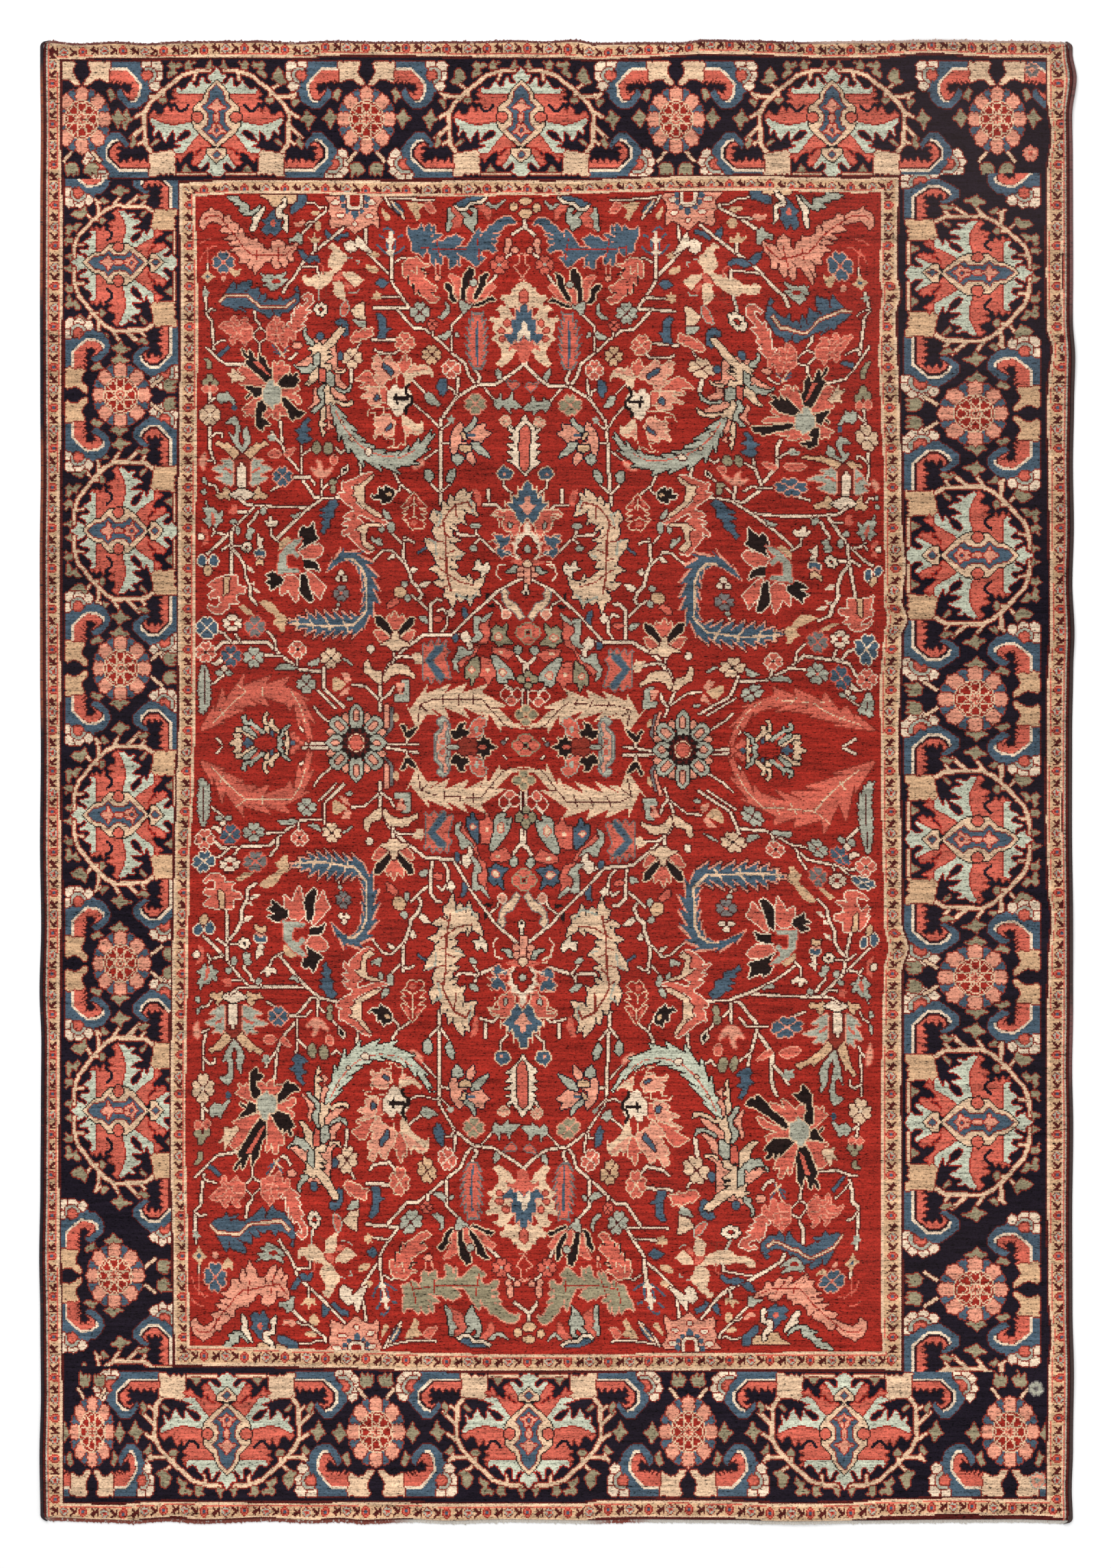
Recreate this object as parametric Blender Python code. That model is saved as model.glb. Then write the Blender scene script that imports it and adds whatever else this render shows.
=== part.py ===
"""A room-size hand-knotted Persian rug, lying flat, in metres with +Z up.

The rug lies with its length along Y and its origin on the floor under its centre. It is made as
the real one is: one knotted body, an overcast cord along each long side, and a narrow woven web
that closes each end. The four edges keep the slight unevenness of hand work, and the body lifts
a few millimetres off the floor in shallow ripples along its edges.
"""

import math

import bmesh
import bpy
from mathutils import Matrix

# Overall size, to the mean line of each edge
WIDTH = 2.508
LENGTH = 3.598

# Thicknesses
PILE_HEIGHT = 0.0080          # knotted body, foundation and pile together
RIM_SHARE = 0.60              # how much of that height is left where the pile ends
RIM_ROUNDING = 0.008          # how far in from its edge the body reaches full height
SELVEDGE_HEIGHT = 0.0070
WEB_HEIGHT = 0.0030

# Widths of the edge pieces, and the gap that parts them from the body
LEFT_SELVEDGE = 0.0080
RIGHT_SELVEDGE = 0.0095
TOP_WEB = 0.0050
BOTTOM_WEB = 0.0070
GAP = 0.0003

CORNER_RADIUS = 0.014         # the selvedges draw in round the corners
CORNER_STEPS = (0.0015, 0.0035)

# How fine the surfaces are divided
COLUMNS = 42
ROWS = 60
SELVEDGE_COLUMNS = 6
WEB_ROWS = 2

# How far each edge stands out from its mean line: (place along the edge, outward), left to right
# for the ends and from the photo's lower end to its upper end for the sides
LEFT_WAVE = (
    (-1.79, 0.0005), (-1.64, 0.0028), (-1.49, -0.0006), (-1.30, 0.0008), (-1.16, 0.0034),
    (-0.98, 0.0006), (-0.79, -0.0006), (-0.63, -0.0016), (-0.51, 0.0026), (-0.35, -0.0012),
    (-0.15, 0.0015), (0.07, -0.0004), (0.28, 0.0014), (0.55, 0.0022), (0.75, -0.0002),
    (0.95, 0.0010), (1.18, 0.0018), (1.40, 0.0010), (1.58, -0.0003), (1.74, 0.0012),
)
RIGHT_WAVE = (
    (-1.79, 0.0010), (-1.72, -0.0015), (-1.62, 0.0015), (-1.44, 0.0035), (-1.28, 0.0002),
    (-1.05, -0.0004), (-0.84, 0.0020), (-0.70, -0.0005), (-0.55, 0.0018), (-0.33, 0.0014),
    (-0.10, -0.0010), (0.12, -0.0006), (0.27, 0.0018), (0.36, 0.0046), (0.48, 0.0000),
    (0.62, 0.0036), (0.77, 0.0014), (0.92, 0.0040), (1.03, 0.0062), (1.12, 0.0010),
    (1.24, 0.0018), (1.40, 0.0014), (1.52, 0.0010), (1.62, -0.0008), (1.71, 0.0100),
    (1.77, 0.0005),
)
TOP_WAVE = (
    (-1.23, 0.0000), (-1.16, -0.0060), (-1.07, -0.0015), (-1.00, -0.0060), (-0.92, -0.0010),
    (-0.71, 0.0008), (-0.64, -0.0035), (-0.55, 0.0000), (-0.45, -0.0020), (-0.20, -0.0008),
    (-0.10, 0.0022), (-0.03, -0.0010), (0.04, 0.0030), (0.10, -0.0045), (0.22, -0.0030),
    (0.30, -0.0045), (0.36, 0.0030), (0.47, 0.0012), (0.60, -0.0025), (0.72, -0.0006),
    (0.97, 0.0016), (1.14, 0.0000), (1.23, -0.0030),
)
BOTTOM_WAVE = (
    (-1.23, -0.0045), (-1.10, 0.0000), (-1.03, 0.0030), (-0.95, -0.0024), (-0.86, 0.0030),
    (-0.70, -0.0030), (-0.59, 0.0022), (-0.53, -0.0010), (-0.47, 0.0042), (-0.36, -0.0002),
    (-0.26, 0.0034), (-0.12, 0.0000), (0.09, 0.0026), (0.20, 0.0000), (0.41, 0.0016),
    (0.56, 0.0044), (0.73, 0.0030), (0.97, 0.0006), (1.12, 0.0000), (1.23, 0.0030),
)

# Ripples that lift the rug at an edge: (edge, place along it, half length, height)
RIPPLES = (
    ("top", -0.52, 0.16, 0.0045),
    ("top", 0.33, 0.12, 0.0060),
    ("top", 0.92, 0.17, 0.0060),
    ("right", 1.66, 0.12, 0.0060),
    ("right", 1.03, 0.14, 0.0060),
    ("right", 0.36, 0.13, 0.0050),
    ("right", -0.36, 0.15, 0.0035),
    ("right", -1.43, 0.12, 0.0035),
    ("bottom", 0.60, 0.16, 0.0035),
)
RIPPLE_REACH = 0.24           # how far in from the edge a ripple dies out

PILE_RED = (0.42, 0.035, 0.026, 1.0)
SELVEDGE_BROWN = (0.022, 0.018, 0.022, 1.0)
WEB_CREAM = (0.52, 0.47, 0.38, 1.0)


def clear_scene():
    """Remove every object that the file starts with."""
    for obj in list(bpy.data.objects):
        bpy.data.objects.remove(obj)


def wool(name, color, roughness):
    """A matt yarn colour as a Principled material."""
    material = bpy.data.materials.new(name)
    material.use_nodes = True
    shader = material.node_tree.nodes["Principled BSDF"]
    shader.inputs["Base Color"].default_value = color
    shader.inputs["Roughness"].default_value = roughness
    shader.inputs["Metallic"].default_value = 0.0
    material.diffuse_color = color
    return material


def wave(table, place):
    """The outward offset at one place along an edge, eased between the table's points."""
    if place <= table[0][0]:
        return table[0][1]
    for (start, low), (end, high) in zip(table, table[1:]):
        if place <= end:
            share = (place - start) / (end - start)
            return low + (high - low) * share * share * (3 - 2 * share)
    return table[-1][1]


def corner(distance):
    """How far a selvedge has drawn in at this distance from the rug's end."""
    if distance >= CORNER_RADIUS:
        return 0.0
    across = CORNER_RADIUS - distance
    return CORNER_RADIUS - math.sqrt(CORNER_RADIUS ** 2 - across ** 2)


def plan(across, along):
    """The floor position of a point given by its distances from the left and the lower edge."""
    x = across - WIDTH / 2
    y = along - LENGTH / 2
    pull = corner(min(along, LENGTH - along))
    left = -WIDTH / 2 - wave(LEFT_WAVE, y) + pull
    right = WIDTH / 2 + wave(RIGHT_WAVE, y) - pull
    low = -LENGTH / 2 - wave(BOTTOM_WAVE, x)
    high = LENGTH / 2 + wave(TOP_WAVE, x)
    return (
        left + (right - left) * across / WIDTH,
        low + (high - low) * along / LENGTH,
    )


def lift(x, y):
    """How far the rug's underside stands off the floor in its edge ripples."""
    edges = {
        "top": (x, LENGTH / 2 - y),
        "bottom": (x, y + LENGTH / 2),
        "right": (y, WIDTH / 2 - x),
    }
    height = 0.0
    for edge, place, half_length, crest in RIPPLES:
        along, inward = edges[edge]
        off = abs(along - place) / half_length
        depth = max(inward, 0.0) / RIPPLE_REACH
        if off < 1 and depth < 1:
            swell = 0.5 + 0.5 * math.cos(math.pi * off)
            fade = 0.5 + 0.5 * math.cos(math.pi * depth)
            height = max(height, crest * swell * fade)
    return height


def spaced(start, end, count):
    """Evenly spaced places from start to end, in count steps."""
    return [start + (end - start) * i / count for i in range(count + 1)]


def across_stations():
    """Where the body is divided across its width, finer where its pile rounds over."""
    start = LEFT_SELVEDGE + GAP
    end = WIDTH - RIGHT_SELVEDGE - GAP
    inner = spaced(start + RIM_ROUNDING, end - RIM_ROUNDING, COLUMNS)
    return [start, start + RIM_ROUNDING / 3] + inner + [end - RIM_ROUNDING / 3, end]


def along_stations():
    """Where every long piece is divided along the length, the same for all so they fit."""
    foot = BOTTOM_WEB + GAP
    head = LENGTH - TOP_WEB - GAP
    low_end = [0.0, *CORNER_STEPS, foot, foot + RIM_ROUNDING / 3]
    high_end = [head - RIM_ROUNDING / 3, head, *(LENGTH - s for s in reversed(CORNER_STEPS)), LENGTH]
    return low_end + spaced(foot + RIM_ROUNDING, head - RIM_ROUNDING, ROWS) + high_end


def sheet(name, across, along, height, material):
    """One closed sheet over a grid of stations.

    height(column share, inset) gives the top's height above the underside, from how far across
    the piece the point is and from its distance to the nearest rim.
    """
    mesh = bmesh.new()
    columns, rows = len(across) - 1, len(along) - 1
    bmesh.ops.create_grid(mesh, x_segments=columns, y_segments=rows, size=0.5)
    places = {}
    for vert in mesh.verts:
        column = round((vert.co.x + 0.5) * columns)
        row = round((vert.co.y + 0.5) * rows)
        inset = min(
            across[column] - across[0], across[-1] - across[column],
            along[row] - along[0], along[-1] - along[row],
        )
        x, y = plan(across[column], along[row])
        vert.co = (x, y, lift(x, y))
        places[vert] = height(column / columns, inset)
    under = list(mesh.verts)
    result = bmesh.ops.extrude_face_region(mesh, geom=mesh.faces[:], use_keep_orig=True)
    tops = [item for item in result["geom"] if isinstance(item, bmesh.types.BMVert)]
    nearest = {(round(v.co.x, 7), round(v.co.y, 7)): places[v] for v in under}
    for vert in tops:
        vert.co.z += nearest[(round(vert.co.x, 7), round(vert.co.y, 7))]
    bmesh.ops.recalc_face_normals(mesh, faces=mesh.faces[:])
    data = bpy.data.meshes.new(name)
    mesh.to_mesh(data)
    mesh.free()
    data.materials.append(material)
    data.shade_smooth()
    data.set_sharp_from_angle(angle=math.radians(40))
    obj = bpy.data.objects.new(name, data)
    bpy.context.scene.collection.objects.link(obj)
    return obj


def pile_profile(_column, inset):
    """The body's height: full inside, rounded over at its rim."""
    share = min(inset / RIM_ROUNDING, 1.0)
    return PILE_HEIGHT * (RIM_SHARE + (1 - RIM_SHARE) * math.sqrt(share * (2 - share)))


def selvedge_profile(column, _inset):
    """The selvedge's height: a low round cord with a flat underside."""
    across = 2 * column - 1
    return SELVEDGE_HEIGHT * (0.3 + 0.7 * math.sqrt(max(1 - across * across, 0.0)))


def web_profile(_column, _inset):
    """The end web's height: a flat woven band."""
    return WEB_HEIGHT


def centre(objects):
    """Move the whole rug so that the middle of its outline is over the origin."""
    xs = [vert.co.x for obj in objects for vert in obj.data.vertices]
    ys = [vert.co.y for obj in objects for vert in obj.data.vertices]
    middle = ((min(xs) + max(xs)) / 2, (min(ys) + max(ys)) / 2)
    for obj in objects:
        obj.data.transform(Matrix.Translation((-middle[0], -middle[1], 0.0)))


def build():
    """Make the five sub-parts."""
    clear_scene()
    pile = wool("pile_wool", PILE_RED, 0.95)
    overcast = wool("selvedge_wool", SELVEDGE_BROWN, 0.9)
    web = wool("web_cotton", WEB_CREAM, 0.95)
    across = across_stations()
    along = along_stations()
    body_along = [s for s in along if BOTTOM_WEB < s < LENGTH - TOP_WEB]
    left = spaced(0.0, LEFT_SELVEDGE, SELVEDGE_COLUMNS)
    right = spaced(WIDTH - RIGHT_SELVEDGE, WIDTH, SELVEDGE_COLUMNS)
    low_end = spaced(0.0, BOTTOM_WEB, WEB_ROWS)
    high_end = spaced(LENGTH - TOP_WEB, LENGTH, WEB_ROWS)
    centre([
        sheet("rug_pile", across, body_along, pile_profile, pile),
        sheet("selvedge_left", left, along, selvedge_profile, overcast),
        sheet("selvedge_right", right, along, selvedge_profile, overcast),
        sheet("end_web_bottom", across, low_end, web_profile, web),
        sheet("end_web_top", across, high_end, web_profile, web),
    ])


build()
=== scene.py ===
"""The looks of a room-size hand-knotted Persian rug, laid flat and seen from straight above.

The rug is dressed the way it is woven. A weaver's cartoon, drawn in the classes below, is
read knot by knot into a chart of yarn numbers. The pile is one sheet whose faces each carry a few
rows of that chart, and its material turns the yarn numbers into dyed wool.
"""

import logging
import math
from collections.abc import Callable, Iterable, Sequence
from dataclasses import dataclass, field, replace
from enum import IntEnum

import bmesh
import bpy
import numpy as np
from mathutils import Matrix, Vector

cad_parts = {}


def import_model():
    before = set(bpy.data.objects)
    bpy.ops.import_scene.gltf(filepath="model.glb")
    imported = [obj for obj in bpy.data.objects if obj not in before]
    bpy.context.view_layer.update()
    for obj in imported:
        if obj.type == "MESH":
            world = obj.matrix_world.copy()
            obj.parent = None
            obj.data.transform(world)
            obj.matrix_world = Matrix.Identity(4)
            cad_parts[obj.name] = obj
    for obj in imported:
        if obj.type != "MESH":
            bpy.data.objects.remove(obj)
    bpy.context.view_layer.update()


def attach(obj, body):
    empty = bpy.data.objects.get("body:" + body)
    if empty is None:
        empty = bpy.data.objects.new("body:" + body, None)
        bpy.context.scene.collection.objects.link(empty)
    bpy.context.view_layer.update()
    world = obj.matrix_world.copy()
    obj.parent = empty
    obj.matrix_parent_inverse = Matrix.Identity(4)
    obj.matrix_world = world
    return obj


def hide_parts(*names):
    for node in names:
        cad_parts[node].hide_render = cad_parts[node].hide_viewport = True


LOG = logging.getLogger("rug")
Shape = np.ndarray
Shapes = list[np.ndarray]

# Keeps a length that something is divided by off nought
TINY = 1e-6

# A leaf without teeth is drawn at this many stations along its spine
PLAIN_STATIONS = 17
# How wide the cut between two teeth is, as a share of a tooth
CUT_SHARE = 0.02
# How far ahead and behind a station the spine is sighted, as a share of its length
SIGHT = 0.02
# A corner whose two sides run together more closely than this cosine is a sharp notch
SHARP = -0.35

# Each face of the sheet carries a block of knots. A row of the block is packed into one number,
# with a yarn to each of its digits
KNOTS_ACROSS = 5
KNOTS_ALONG = 4
DIGIT_BASE = 16


class Yarn(IntEnum):
    """The dyed yarns, numbered as the chart holds them."""

    MADDER = 0
    NAVY = 1
    BLUE = 2
    SKY = 3
    CORAL = 4
    ROSE = 5
    IVORY = 6
    CAMEL = 7
    CREAM = 8
    SAGE = 9
    BLACK = 10
    MAROON = 11
    RUST = 12
    SLATE = 13
    MIST = 14


(MADDER, NAVY, BLUE, SKY, CORAL, ROSE, IVORY, CAMEL, CREAM, SAGE, BLACK, MAROON, RUST, SLATE, MIST) = Yarn


# ---------------------------------------------------------------- shapes of the cartoon


def outline(*numbers: float) -> Shapes:
    """A closed outline from its points, x and y in turn."""
    return [np.array(numbers, dtype=float).reshape(-1, 2)]


def outlines(*points: Sequence[float]) -> Shapes:
    """Several closed outlines, each from its own points."""
    return [outline(*numbers)[0] for numbers in points]


def halved(*numbers: float) -> Shapes:
    """A closed outline that is alike on both sides of x = 0, from the points of one half."""
    half = np.array(numbers, dtype=float).reshape(-1, 2)
    return [np.vstack([half, half[::-1] * (-1, 1)])]


def both(shapes: Shapes) -> Shapes:
    """The shapes and their mirror image across x = 0."""
    return shapes + [shape * (-1, 1) for shape in shapes]


def moved(shapes: Shapes, x: float, y: float, turn: float = 0.0, size: float = 1.0) -> Shapes:
    """The shapes enlarged, turned by some degrees and moved.

    Args:
        shapes: The outlines, about their own origin.
        x: Where that origin goes, across.
        y: Where that origin goes, down.
        turn: Degrees from x towards y.
        size: How many times larger.

    Returns:
        The moved outlines.
    """
    angle = math.radians(turn)
    spin = np.array(((math.cos(angle), math.sin(angle)), (-math.sin(angle), math.cos(angle))))
    return [shape @ spin * size + (x, y) for shape in shapes]


def curve(points: np.ndarray, steps: int = 6) -> np.ndarray:
    """A smooth line through the points.

    Args:
        points: The points, one row each.
        steps: How many short runs go between two of them.

    Returns:
        The points of the smooth line.
    """
    if len(points) < 3:
        return points
    padded = np.vstack([2 * points[0] - points[1], points, 2 * points[-1] - points[-2]])
    t = np.arange(steps)[:, None] / steps
    runs = []
    for a, b, c, d in zip(padded, padded[1:], padded[2:], padded[3:]):
        runs.append(0.5 * (2 * b + (c - a) * t + (2 * a - 5 * b + 4 * c - d) * t ** 2
                           + (3 * b - a - 3 * c + d) * t ** 3))
    return np.vstack(runs + [points[-1:]])


def leaf(spine: Sequence[float], left: Sequence[float], right: Sequence[float] | None = None,
         teeth: int = 0, bite: float = 0.45, hook: float = 0.35) -> Shapes:
    """A leaf, limb or stem that follows a curved spine.

    Args:
        spine: The spine's points, x and y in turn, from its foot to its tip.
        left: Widths from the spine to one rim, evenly spaced from foot to tip.
        right: The same for the other rim, or None where both are alike.
        teeth: How many teeth each rim is cut into.
        bite: How deep the cuts go, as a share of the width.
        hook: How far each tooth leans towards the tip, as a share of its own length.

    Returns:
        One outline.
    """
    line = curve(np.array(spine, dtype=float).reshape(-1, 2))
    runs = np.hypot(*np.diff(line, axis=0).T)
    far = np.concatenate([[0.0], np.cumsum(runs)])
    lean = hook * far[-1] / teeth if teeth else 0.0
    far /= far[-1]
    stations = np.linspace(0, 1, PLAIN_STATIONS)
    if teeth:
        cuts = np.arange(teeth) / teeth
        stations = np.sort(np.concatenate([cuts + CUT_SHARE / teeth, cuts + (1 - CUT_SHARE) / teeth, [0, 1]]))
    middle = np.column_stack([np.interp(stations, far, line[:, i]) for i in (0, 1)])
    ahead = np.column_stack([np.interp(stations + SIGHT, far, line[:, i]) for i in (0, 1)])
    behind = np.column_stack([np.interp(stations - SIGHT, far, line[:, i]) for i in (0, 1)])
    along = ahead - behind
    along /= np.maximum(np.hypot(*along.T), TINY)[:, None]
    across = along[:, ::-1] * (1, -1)
    rims = []
    for side, widths in ((1, left), (-1, left if right is None else right)):
        reach = np.interp(stations, np.linspace(0, 1, len(widths)), widths)
        lead = np.zeros_like(reach)
        if teeth:
            share = (stations * teeth) % 1.0
            reach = reach * (1 - bite * (1 - share))
            lead = lean * (share > 0.5)
        rims.append(middle + across * side * reach[:, None] + along * lead[:, None])
    return [np.vstack([rims[0], rims[1][::-1]])]


def stem(width: float, *spine: float) -> Shapes:
    """A stem of even width along a smooth line."""
    return leaf(spine, (width / 2,) * 2)


def straight(width: float, *points: float) -> Shapes:
    """A line of even width with straight runs between its points."""
    line = np.array(points, dtype=float).reshape(-1, 2)
    runs = [leaf((*a, *b), (width / 2,) * 2)[0] for a, b in zip(line, line[1:])]
    joints = [disc(x, y, width / 2)[0] for x, y in line[1:-1]]
    return runs + joints


def strokes(width: float, *runs: Sequence[float]) -> Shapes:
    """Several straight lines of one width, each from its own points."""
    return [part for points in runs for part in straight(width, *points)]


def nicks(shape: Shapes, depth: float, width: float = 2.2) -> Shapes:
    """Short cuts that carry an outline's sharp notches further in.

    Args:
        shape: One outline.
        depth: How far each cut goes in.
        width: How wide it is.

    Returns:
        One short line for each notch.
    """
    points = shape[0]
    behind, ahead = np.roll(points, 1, axis=0) - points, np.roll(points, -1, axis=0) - points
    runs = [way / np.maximum(np.hypot(*way.T), TINY)[:, None] for way in (behind, ahead)]
    turn = behind[:, 1] * ahead[:, 0] - behind[:, 0] * ahead[:, 1]
    area = (points[:, 0] * np.roll(points[:, 1], -1) - points[:, 1] * np.roll(points[:, 0], -1)).sum()
    notched = ((runs[0] * runs[1]).sum(axis=1) > SHARP) & (turn * area < 0)
    cuts: Shapes = []
    for place, way in zip(points[notched], (runs[0] + runs[1])[notched]):
        far = place - way / max(float(np.hypot(*way)), TINY) * depth
        cuts += straight(width, *place, *far)
    return cuts


def disc(x: float, y: float, across: float, down: float | None = None, sides: int = 14) -> Shapes:
    """A round or oval blot from its centre and its half sizes."""
    angles = np.arange(sides) * 2 * math.pi / sides
    down = across if down is None else down
    return [np.column_stack([x + across * np.cos(angles), y + down * np.sin(angles)])]


def discs(*blots: Sequence[float]) -> Shapes:
    """Several blots, each from its centre and its half sizes."""
    return [disc(*blot)[0] for blot in blots]


def ring(shapes: Shapes, count: int, start: float = 0.0, x: float = 0.0, y: float = 0.0) -> Shapes:
    """Copies of a shape set round a centre at even angles."""
    turned = (moved(shapes, x, y, start + 360 * i / count) for i in range(count))
    return [shape for copy in turned for shape in copy]


def star(x: float, y: float, points: int, tip: float, notch: float, turn: float = -90.0) -> Shapes:
    """A star or a flower with pointed petals."""
    angles = np.radians(turn) + np.arange(2 * points) * math.pi / points
    reach = np.where(np.arange(2 * points) % 2, notch, tip)
    return [np.column_stack([x + reach * np.cos(angles), y + reach * np.sin(angles)])]


# ---------------------------------------------------------------- the chart


@dataclass(frozen=True)
class Cartoon:
    """The full-size drawing that the weaver reads: its unit and where the knotted part lies on it.

    One unit is a 1508th of the rug's width. Places count across from the drawing's left and down
    from its top, with a margin round the rug.
    """

    unit: float = 0.001663
    middle_x: float = 815.5
    middle_y: float = 1142.5
    left: float = 66.5
    right: float = 1563.7
    top: float = 63.9
    bottom: float = 2219.9


@dataclass
class Chart:
    """The knot chart: one yarn number for each knot, its first row at the foot of the drawing."""

    cartoon: Cartoon = field(default_factory=Cartoon)
    columns: int = 710
    rows: int = 1020
    margin: int = 2
    knots: np.ndarray = field(init=False)
    mask: np.ndarray | None = None

    def __post_init__(self) -> None:
        """Start with an all-red rug."""
        self.knots = np.full((self.rows, self.columns), int(MADDER), dtype=np.uint8)
        self.scratch = np.zeros(self.knots.shape, dtype=bool)
        span = np.arange(self.columns) + 0.5
        lift = np.arange(self.rows) + 0.5
        cartoon = self.cartoon
        self.pitch_x = (cartoon.right - cartoon.left) / self.columns
        self.pitch_y = (cartoon.bottom - cartoon.top) / self.rows
        self.x = cartoon.left + span * self.pitch_x
        self.y = cartoon.bottom - lift * self.pitch_y

    def paint(self, yarn: Yarn, shapes: Shapes, edge: Yarn | None = None) -> None:
        """Knot some shapes in one yarn, with a line of another round their joint outline.

        Args:
            yarn: What fills the shapes.
            shapes: Their outlines, on the drawing.
            edge: What the line round them is knotted in, or None for no line.
        """
        boxes = []
        for shape in shapes:
            low, high = shape.min(axis=0), shape.max(axis=0)
            first = max(int((low[0] - self.cartoon.left) / self.pitch_x) - self.margin, 0)
            last = min(int((high[0] - self.cartoon.left) / self.pitch_x) + 1 + self.margin, self.columns)
            under = max(int((self.cartoon.bottom - high[1]) / self.pitch_y) - self.margin, 0)
            over = min(int((self.cartoon.bottom - low[1]) / self.pitch_y) + 1 + self.margin, self.rows)
            if first < last and under < over:
                boxes.append(np.s_[under:over, first:last])
                self.scratch[boxes[-1]] |= self.covered(shape, self.x[first:last], self.y[under:over])
        if edge is not None:
            for box in boxes:
                self.knots[box][self.grown(box)] = int(edge)
        for box in boxes:
            inside = self.scratch[box] if self.mask is None else self.scratch[box] & self.mask[box]
            self.knots[box][inside] = int(yarn)
        for box in boxes:
            self.scratch[box] = False

    def grown(self, box: tuple[slice, slice]) -> np.ndarray:
        """The blot in one window of the scratch grid, a knot wider all round."""
        inside = self.scratch[box]
        wider = inside.copy()
        wider[1:] |= inside[:-1]
        wider[:-1] |= inside[1:]
        wider[:, 1:] |= inside[:, :-1]
        wider[:, :-1] |= inside[:, 1:]
        return wider if self.mask is None else wider & self.mask[box]

    @staticmethod
    def covered(shape: Shape, x: np.ndarray, y: np.ndarray) -> np.ndarray:
        """Which places of a small grid lie inside an outline, by its winding."""
        turns = np.zeros((len(y), len(x)), dtype=np.int16)
        rows = y[:, None]
        for (ax, ay), (bx, by) in zip(shape, np.roll(shape, -1, axis=0)):
            if ay == by:
                continue
            low, high = min(ay, by), max(ay, by)
            reach = np.nonzero((y > low) & (y <= high))[0]
            if len(reach):
                crossing = ax + (rows[reach] - ay) * (bx - ax) / (by - ay)
                turns[reach] += np.where(x[None, :] < crossing, 1 if by > ay else -1, 0).astype(np.int16)
        return turns != 0


Placing = Callable[[np.ndarray], np.ndarray]


@dataclass
class Pen:
    """Draws one motif in its own units and knots it where it belongs on the chart."""

    chart: Chart
    place: Placing

    def __call__(self, yarn: Yarn, shapes: Shapes, edge: Yarn | None = None) -> None:
        """Knot shapes that are given in the motif's own units."""
        self.chart.paint(yarn, [self.place(shape) for shape in shapes], edge)


def eased(table: Sequence[tuple[float, float]], places: np.ndarray) -> np.ndarray:
    """Values along a drawn line, eased between its points.

    Args:
        table: The line's points as (place, value), in order of place.
        places: Where the values are wanted.

    Returns:
        One value for each place.
    """
    marks = np.array(table)
    at = np.clip(places, marks[0, 0], marks[-1, 0])
    i = np.clip(np.searchsorted(marks[:, 0], at, side="right") - 1, 0, len(marks) - 2)
    share = (at - marks[i, 0]) / (marks[i + 1, 0] - marks[i, 0])
    return marks[i, 1] + (marks[i + 1, 1] - marks[i, 1]) * share * share * (3 - 2 * share)


# ---------------------------------------------------------------- borders


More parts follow.
